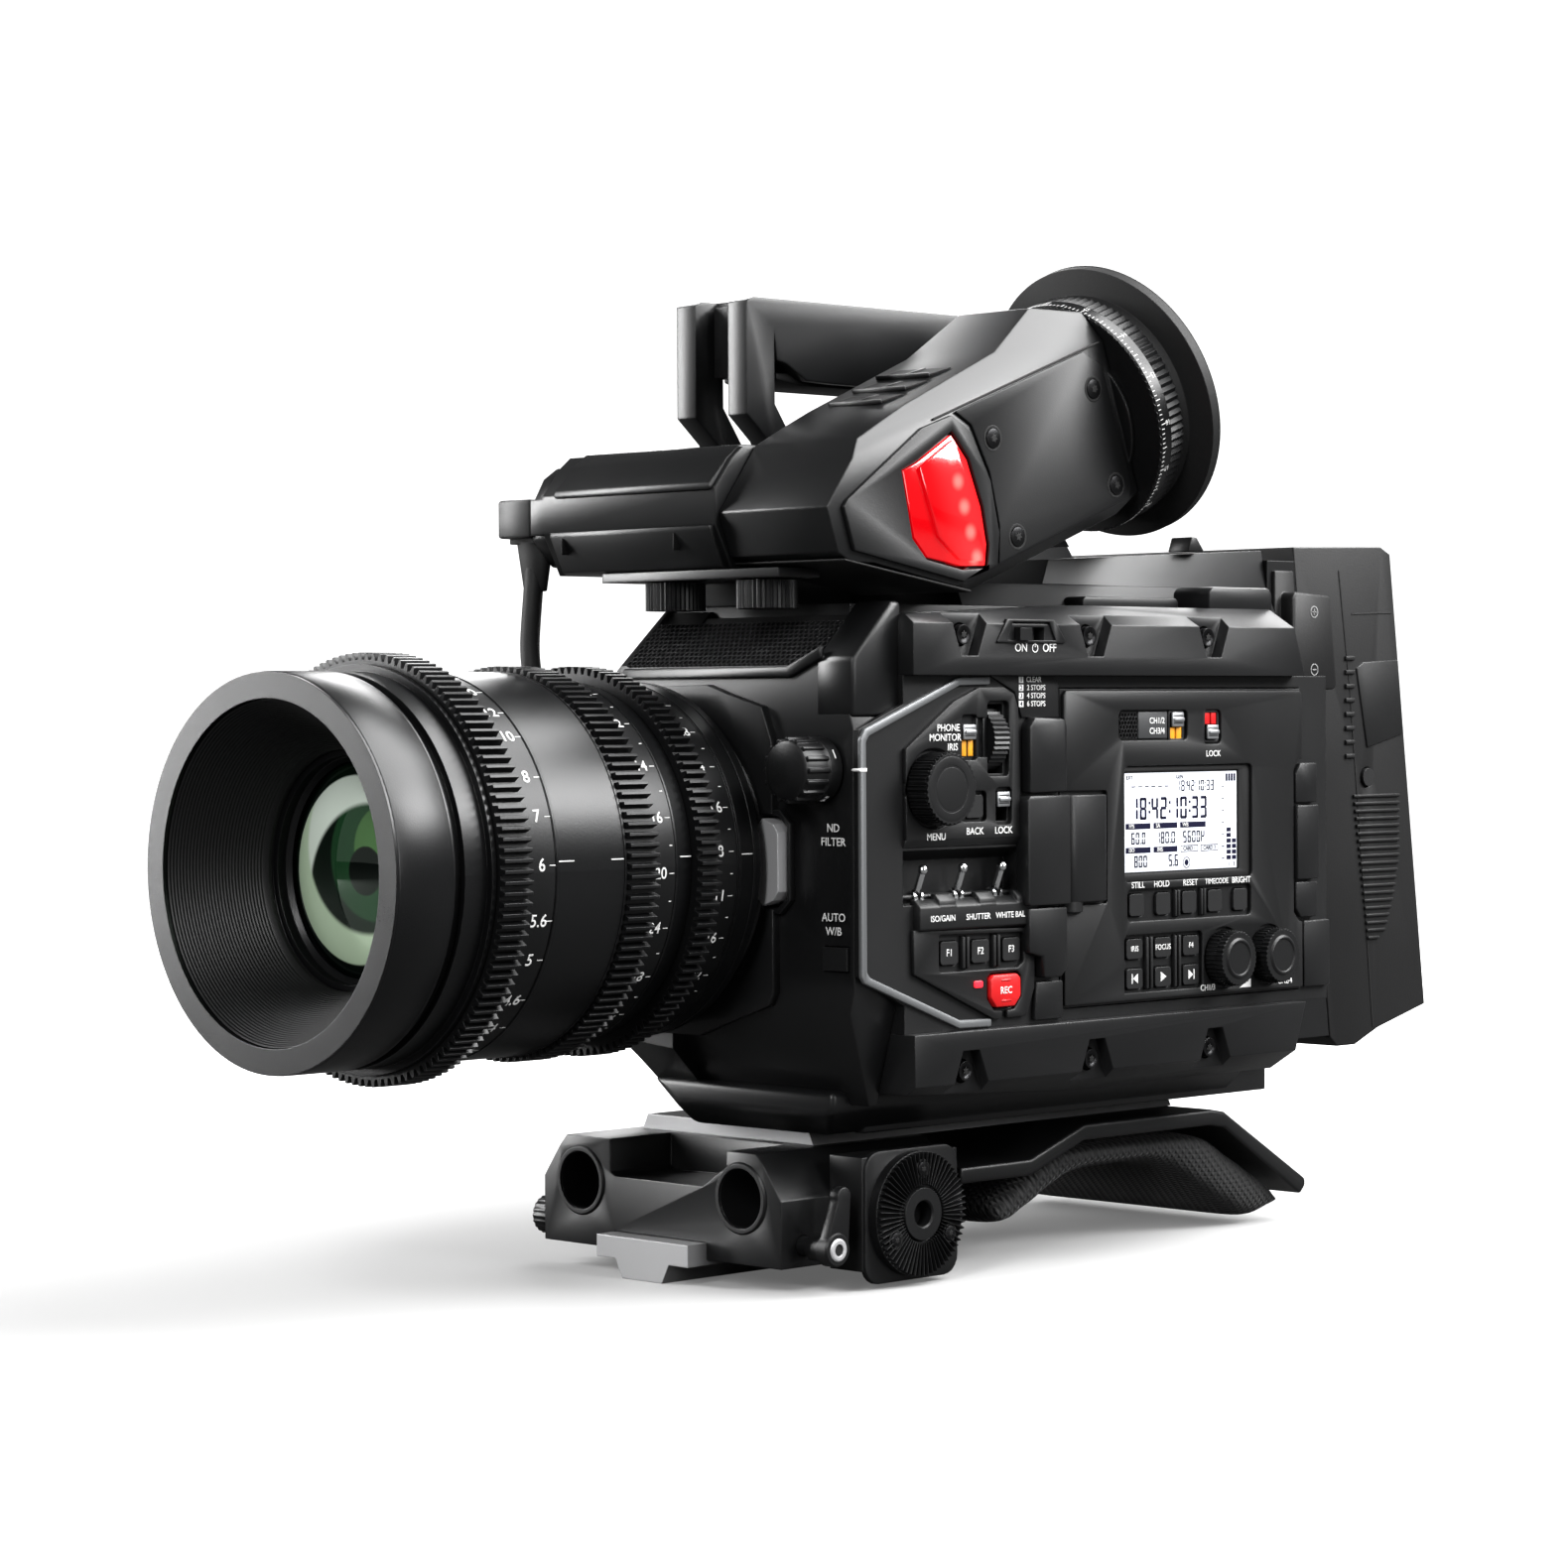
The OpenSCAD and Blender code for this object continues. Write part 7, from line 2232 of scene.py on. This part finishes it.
@dataclass
class TopAndRails:
    """Hooks and blocks on the top, and the power switch's surround and words on the rail."""

    rail_x: float = 73.6

    def build(self) -> None:
        """Makes the details of the top and of the side rails."""
        blocks = Shape()
        blocks.prism(
            X, 53.0, 66.0,
            [(102.0, 171.6), (102.0, 177.0), (103.6, 178.2), (127.4, 178.2), (129.0, 176.6), (129.0, 171.6)], 0.7
        )
        blocks.prism(
            X, 50.5, 57.6, [(60.0, 171.6), (60.0, 174.4), (61.0, 175.2), (98.0, 175.2), (99.0, 174.4), (99.0, 171.6)],
            0.4
        )
        for y in (56.0, 112.0):
            blocks.prism(X, 43.0, 50.4, [(y, 188.4), (y + 1.6, 192.4), (y + 3.6, 192.4), (y + 7.0, 188.4)], 0.35)
        blocks.piece("top_blocks", Finishes.body)
        words = Shape()
        for text, y in (("ON", 17.6), ("OFF", 28.4)):
            side_words(words, text, 3.0, y, 161.1, self.rail_x + 0.02)
        words.ring(X, (self.rail_x, 22.9, 161.1), 0.9, 1.15, 0.0, 0.08, 28)
        words.block((self.rail_x, 22.75, 161.3), (self.rail_x + 0.1, 23.05, 162.6), 0.0)
        words.piece("power_words", Finishes.white, slot="trim_bright")
        outer = [(8.4, 163.0), (12.0, 168.4), (30.0, 168.4), (34.0, 163.4), (34.0, 162.4), (8.4, 162.4)]
        inner = [(12.0, 163.1), (14.2, 167.7), (28.0, 167.7), (30.4, 163.1)]
        seat = Shape().framed(X, self.rail_x - 0.6, self.rail_x + 0.5, outer, (inner,), 0.15)
        seat.piece("power_seat", Finishes.body)
        # Painted shade: dark rings round the rail screws and dark six-lobed marks for their recesses.
        rail_socket_shade = Shape()
        for y in (-1.5, 46.5, 94.5):
            for z in (164.4, 55.0):
                rail_socket_shade.turned(X, (69.9, y, z), [(2.6, 0.1), (3.1, 0.1), (3.3, 0.0), (2.6, 0.0), (2.6, 0.1)], 32)
                rail_socket_shade.prism(X, 71.5, 71.66, six_lobes(y, z, 1.15, 0.7), 0.0)
        rail_socket_shade.piece("rail_screw_sockets", Finishes.dark, slot="screw_dark")


@dataclass
class BatteryDetails:
    """Grip ribs, seam, plates and port cover at the camera's rear."""

    side_x: float = 49.0
    rib_pitch: float = 2.15

    def build(self) -> None:
        """Makes the details of the battery and of the block beside it."""
        x = self.side_x
        ribs = Shape()
        right = ((123.2, 208.3), (102.7, 208.2), (91.3, 205.5), (84.0, 202.6), (80.8, 201.2), (77.1, 194.8))
        z = 79.2
        while z < 122.0:
            low = 186.8 + (119.6 - z) * 0.159
            high = right[-1][1]
            for (za, ya), (zb, yb) in zip(right, right[1:], strict=False):
                if zb <= z <= za:
                    high = yb + (ya - yb) * (z - zb) / (za - zb)
            ribs.prism(
                Y, low, high, [(x - 0.6, z - 0.9), (x + 0.75, z - 0.35), (x + 0.75, z + 0.35), (x - 0.6, z + 0.6)], 0.1
            )
            z += self.rib_pitch
        for i in range(8):
            z = 131.4 + i * 4
            ribs.prism(
                Y, 183.2, 187.2, [(x - 0.6, z - 0.9), (x + 0.7, z - 0.3), (x + 0.7, z + 0.7), (x - 0.6, z + 1.0)], 0.1
            )
        self.mirrored(ribs)
        plate = Shape().prism(
            X, x - 0.3, x + 0.45, [(188.4, 156.8), (191.6, 158.5), (208.0, 159.2), (210.6, 137.8), (193.4, 133.9)], 0.3
        )
        self.mirrored(plate)
        plate.prism(
            X, -38.0, 38.0,
            [(205.6, 182.0), (206.7, 182.4), (213.9, 120.3), (220.1, 68.6), (218.6, 68.2), (212.6, 120.2)], 0.4
        )
        plate.piece("battery_plate", Finishes.panel, "battery_pack", "battery_black", recalc=True)
        ribs.piece("battery_ribs", Finishes.battery, "battery_pack", "battery_black", recalc=True)
        lamps = Shape()
        for i in range(4):
            lamps.prism(
                X, i * 6.0 - 10.4, i * 6.0 - 7.6, [(207.0, 176.0), (207.5, 176.0), (207.3, 177.6), (206.8, 177.6)], 0.1
            )
        lamps.piece("charge_lamps", Finishes.grey, "battery_pack", "trim_bright")
        grips = Shape()
        for low, high in ((-47.2, -40.4), (40.4, 47.2)):
            for i in range(12):
                z = 128.0 - i * 4.0
                y = 213.4 + (120.2 - z) * 0.1195
                grips.prism(
                    X, low, high, [(y - 1.0, z - 1.0), (y + 0.55, z - 0.4), (y + 0.45, z + 0.5), (y - 1.0, z + 1.0)],
                    0.12
                )
        grips.piece("battery_back_ribs", Finishes.battery, "battery_pack", "battery_black")
        seams = Shape()
        line = [(180.2, 184.6), (185.4, 150.3), (193.3, 77.0), (195.7, 53.3)]
        seams.prism(X, x - 0.4, x + 0.14, [*line, *[(a + 0.5, b) for a, b in reversed(line)]], 0.0)
        seams.prism(X, x - 0.4, x + 0.14, [(186.4, 172.0), (205.2, 172.6), (205.2, 173.0), (186.4, 172.4)], 0.0)
        seams.piece("battery_seams", Finishes.dark, "battery_pack", "battery_black")
        cover = Shape().prism(
            X, 48.6, 54.6,
            [
                (152.4, 176.4), (153.6, 178.0), (169.6, 177.0), (172.6, 151.8), (171.6, 150.6), (154.4, 150.6),
                (152.4, 152.4)
            ],
            0.9
        )
        cover.prism(X, 48.4, 50.2, [(150.0, 184.0), (150.0, 66.0), (168.0, 66.0), (164.0, 120.0), (158.6, 184.0)], 0.6)
        cover.piece("port_cover", Finishes.battery, slot="battery_black")
        marks = Shape()
        for z in (172.4, 156.2):
            marks.ring(X, (54.6, 162.0, z), 1.4, 1.7, 0.0, 0.1, 32)
            marks.block((54.6, 161.1, z - 0.15), (54.72, 162.9, z + 0.15), 0.0)
        marks.block((54.6, 161.85, 171.5), (54.72, 162.15, 173.3), 0.0)
        marks.piece("port_signs", Finishes.grey, slot="trim_bright")
        # Painted shade: a dark block standing for the strap slot's opening.
        hole = Shape().block((50.1, 159.6, 110.6), (50.35, 166.4, 118.2), 0.05)
        hole.piece("strap_slot", Finishes.dark)
    def mirrored(self, shape: Shape) -> None:
        """Adds a shape's own mirror image on the far side.

        Args:
            shape: the shape.
        """
        shape.join(Shape().join(shape, keep=True), MIRROR)


@dataclass
class FarSide:
    """Card door, port caps, screws and words of the side away from the operator."""

    side_x: float = -70.0

    def build(self) -> None:
        """Makes the details of the far side."""
        x = self.side_x
        door = Shape().prism(X, x - 1.1, x + 0.2, rounded(40.0, 70.0, 82.0, 138.0, 3.0), 0.5)
        door.prism(X, x - 1.6, x - 0.9, rounded(44.0, 47.2, 100.0, 120.0, 1.4), 0.4)
        door.piece("card_door", Finishes.panel)
        ports = Shape().prism(X, x - 0.9, x + 0.2, rounded(75.0, 140.0, 70.6, 82.4, 2.4), 0.4)
        for y in (82.0, 96.0, 110.0, 124.0):
            ports.rod(X, (x - 1.5, y, 76.5), 3.9, 1.0, 32, 0.4)
        ports.piece("port_caps", Finishes.rubber)
        heads, stars = Shape(), Shape()
        for y, z in ((34.0, 148.4), (143.0, 148.4), (143.0, 71.0), (34.0, 71.0), (72.6, 148.4), (72.6, 71.0)):
            torx(-x, y, z, 2.2, heads, stars)
        heads.moved(MIRROR).piece("far_screws", Finishes.screw, slot="screw_dark", recalc=True)
        # Painted shade of the screw recesses and of the gaps round the heads.
        stars.moved(MIRROR).piece("far_screw_sockets", Finishes.dark, slot="screw_dark", recalc=True)
        words = Shape()
        for text, y, z in (
            ("CARD", 55.0, 142.0), ("OUT 1", 82.0, 85.6), ("OUT 2", 96.0, 85.6), ("IN", 110.0, 85.6),
            ("SYNC", 124.0, 85.6)
        ):
            words.text(text, 2.6, facing(X, -1, (x - 0.05, y, z)), 0.1)
        words.piece("far_words", Finishes.white, slot="trim_bright")


@dataclass
class BaseDetails:
    """Bore rings, toothed rosette with its plate and screws, and clamp lever of the shoulder base."""

    rod_z: float = 23.0
    rosette_y: float = -4.4
    rosette_z: float = 18.375
    teeth: int = 60

    def build(self) -> None:
        """Makes the details of the shoulder base."""
        rings = Shape()
        for x in (-30.0, 30.0):
            rings.turned(
                Y, (x, -40.0, self.rod_z),
                [(7.65, -0.5), (8.7, -0.5), (9.2, 0.0), (9.2, 0.4), (7.65, 0.4), (7.65, -0.5)], 64
            )
        rings.piece("bore_rings", Finishes.body, slot="base_black")
        plate = Shape().prism(X, 53.6, 55.6, rounded(-21.4, 12.6, 1.4, 34.9, 5.0), 0.5)
        plate.piece("rosette_plate", Finishes.body, slot="base_black")
        c = (0.0, self.rosette_y, self.rosette_z)
        disc = Shape().turned(
            X, c,
            [
                (3.2, 54.9), (15.8, 54.9), (15.87, 55.4), (15.87, 58.2), (7.0, 58.4), (6.6, 59.6), (3.6, 59.7),
                (3.2, 59.3), (3.2, 54.9)
            ],
            120
        )
        tooth = Shape().prism(X, 58.0, 59.75, [(-0.34, 7.4), (-0.74, 15.6), (0.74, 15.6), (0.34, 7.4)], 0.0)
        for v in list(tooth.bm.verts):
            if v.co.x > 59:
                v.co.y *= 0.12
        disc.repeated(tooth, X, c, self.teeth)
        disc.piece("rosette_teeth", Finishes.knob, slot="knob_black", replaces=("rosette",), smooth=20.0)
        heads, stars = Shape(), Shape()
        for a in (90, 210, 330):
            torx(59.3, *polar(self.rosette_y, self.rosette_z, 11.4, a), 1.9, heads, stars)
        heads.piece("rosette_screws", Finishes.screw, slot="screw_dark", recalc=True)
        # Painted shade of the screw recesses and of the gaps round the heads.
        stars.piece("rosette_screw_sockets", Finishes.dark, slot="screw_dark", recalc=True)
        self.lever()

    def lever(self) -> None:
        """Builds the clamp lever with its boss, leaning arm and steel socket screw."""
        y, z = -32.45, 11.675
        lever = Shape().turned(
            X, (0.0, y, z),
            [
                (0.0, 40.0), (2.5, 40.0), (2.5, 48.2), (3.4, 48.4), (3.6, 53.0), (4.3, 53.3), (4.3, 56.4), (3.9, 56.9),
                (0.0, 56.9)
            ],
            48
        )
        tip = [polar(y + 2.6, z + 13.0, 2.5, a) for a in range(-20, 201, 20)]
        lever.prism(X, 53.4, 56.6, [(y - 4.1, z + 0.6), (y + 4.2, z + 0.6), *tip], 0.5)
        lever.piece("clamp_lever_arm", Finishes.knob, "clamp", "knob_black", replaces=("clamp_lever",))
        head = Shape().turned(
            X, (0.0, y, z), [(1.5, 56.7), (1.5, 57.3), (2.5, 57.3), (2.9, 57.0), (2.9, 56.7), (1.5, 56.7)], 40
        )
        head.piece("clamp_screw", Finishes.steel, "clamp", "screw_dark")
        # Painted shade: a dark hexagon for the screw's socket.
        hexagon = [polar(y, z, 1.55, a) for a in range(0, 360, 60)]
        Shape().prism(X, 56.6, 56.95, hexagon, 0.0).piece("clamp_screw_socket", Finishes.dark, "clamp", "screw_dark")


@dataclass
class ShoulderPad:
    """Soft pad under the shoulder frame, swelled by a cloth simulation and covered with a weave."""

    voxel: float = 0.0045
    pressure: float = 1.2
    most: float = 0.0014
    inset: float = 0.0016
    ground: float = 0.0003
    steps: int = 20

    def build(self) -> None:
        """Remeshes the pad's solid, lets it swell, caps how far it moves and covers it."""
        bm = bmesh.new()
        bm.from_mesh(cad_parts["shoulder_pad"].data)
        bmesh.ops.remove_doubles(bm, verts=bm.verts, dist=1e-6)
        bm.normal_update()
        mesh = bpy.data.meshes.new("shoulder_cushion")
        bm.to_mesh(mesh)
        bm.free()
        pad = bpy.data.objects.new("shoulder_cushion", mesh)
        bpy.context.scene.collection.objects.link(pad)
        remesh = pad.modifiers.new("grid", "REMESH")
        remesh.mode, remesh.voxel_size = "VOXEL", self.voxel
        self.apply(pad)
        self.calm(pad, 2, self.inset)
        before = [v.co.copy() for v in pad.data.vertices]
        self.swell(pad)
        for v, start in zip(pad.data.vertices, before, strict=True):
            move = v.co - start
            if move.length > self.most:
                v.co = start + move.normalized() * self.most
            v.co.z = max(v.co.z, self.ground)
        self.calm(pad, 4)
        finer = pad.modifiers.new("finer", "SUBSURF")
        finer.levels = finer.render_levels = 1
        self.apply(pad)
        pad.data.shade_smooth()
        pad.data.materials.clear()
        pad.data.materials.append(Finishes.pad.material())
        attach(pad, "camera")
        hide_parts("shoulder_pad")
        log.info("piece shoulder_cushion on camera")

    def swell(self, pad: bpy.types.Object) -> None:
        """Blows the pad up from inside with a short cloth simulation and applies it.

        Args:
            pad: the pad.
        """
        cloth = pad.modifiers.new("swell", "CLOTH")
        cloth.settings.use_pressure = True
        cloth.settings.uniform_pressure_force = self.pressure
        cloth.settings.effector_weights.gravity = 0.0
        cloth.point_cache.frame_start, cloth.point_cache.frame_end = 1, self.steps
        for step in range(1, self.steps + 1):
            bpy.context.scene.frame_set(step)
        self.apply(pad)
        bpy.context.scene.frame_set(1)

    def calm(self, pad: bpy.types.Object, times: int, inset: float = 0.0) -> None:
        """Evens the pad's mesh and draws it in.

        Args:
            pad: the pad.
            times: how often it is smoothed.
            inset: how far it is drawn in along its normals, in metres.
        """
        even = bmesh.new()
        even.from_mesh(pad.data)
        for _ in range(times):
            bmesh.ops.smooth_vert(
                even, verts=even.verts, factor=0.5, use_axis_x=True, use_axis_y=True, use_axis_z=True,
            )
        even.normal_update()
        for v, normal in [(v, v.normal.copy()) for v in even.verts]:
            v.co -= normal * inset
        even.to_mesh(pad.data)
        even.free()

    def apply(self, pad: bpy.types.Object) -> None:
        """Applies the pad's modifiers to its mesh.

        Args:
            pad: the pad.
        """
        bpy.context.view_layer.update()
        made = bpy.data.meshes.new_from_object(pad.evaluated_get(bpy.context.evaluated_depsgraph_get()))
        old = pad.data
        pad.modifiers.clear()
        pad.data = made
        bpy.data.meshes.remove(old)


ASSEMBLIES: tuple[Callable, ...] = (
    Crossbar, SoftCastings, FacetedBody, LensScales, FrontGlass, FrontDetails, ControlPanel, Sliders, HingePosts,
    DoorFace, Viewfinder, TopAndRails,
    BatteryDetails, FarSide, BaseDetails, ShoulderPad,
)


def main() -> None:
    """Builds the finishes, the studio and every sub-assembly's pieces in order."""
    logging.basicConfig(level=logging.INFO, format="%(message)s")
    for build_group in (edge_wear_and_highlight_group, grain_group, brushed_group):
        build_group()
    Studio().build()
    dress_nodes()
    for assembly in ASSEMBLIES:
        assembly().build()
        log.info("built %s", assembly.__name__)


if __name__ == "__main__":
    main()
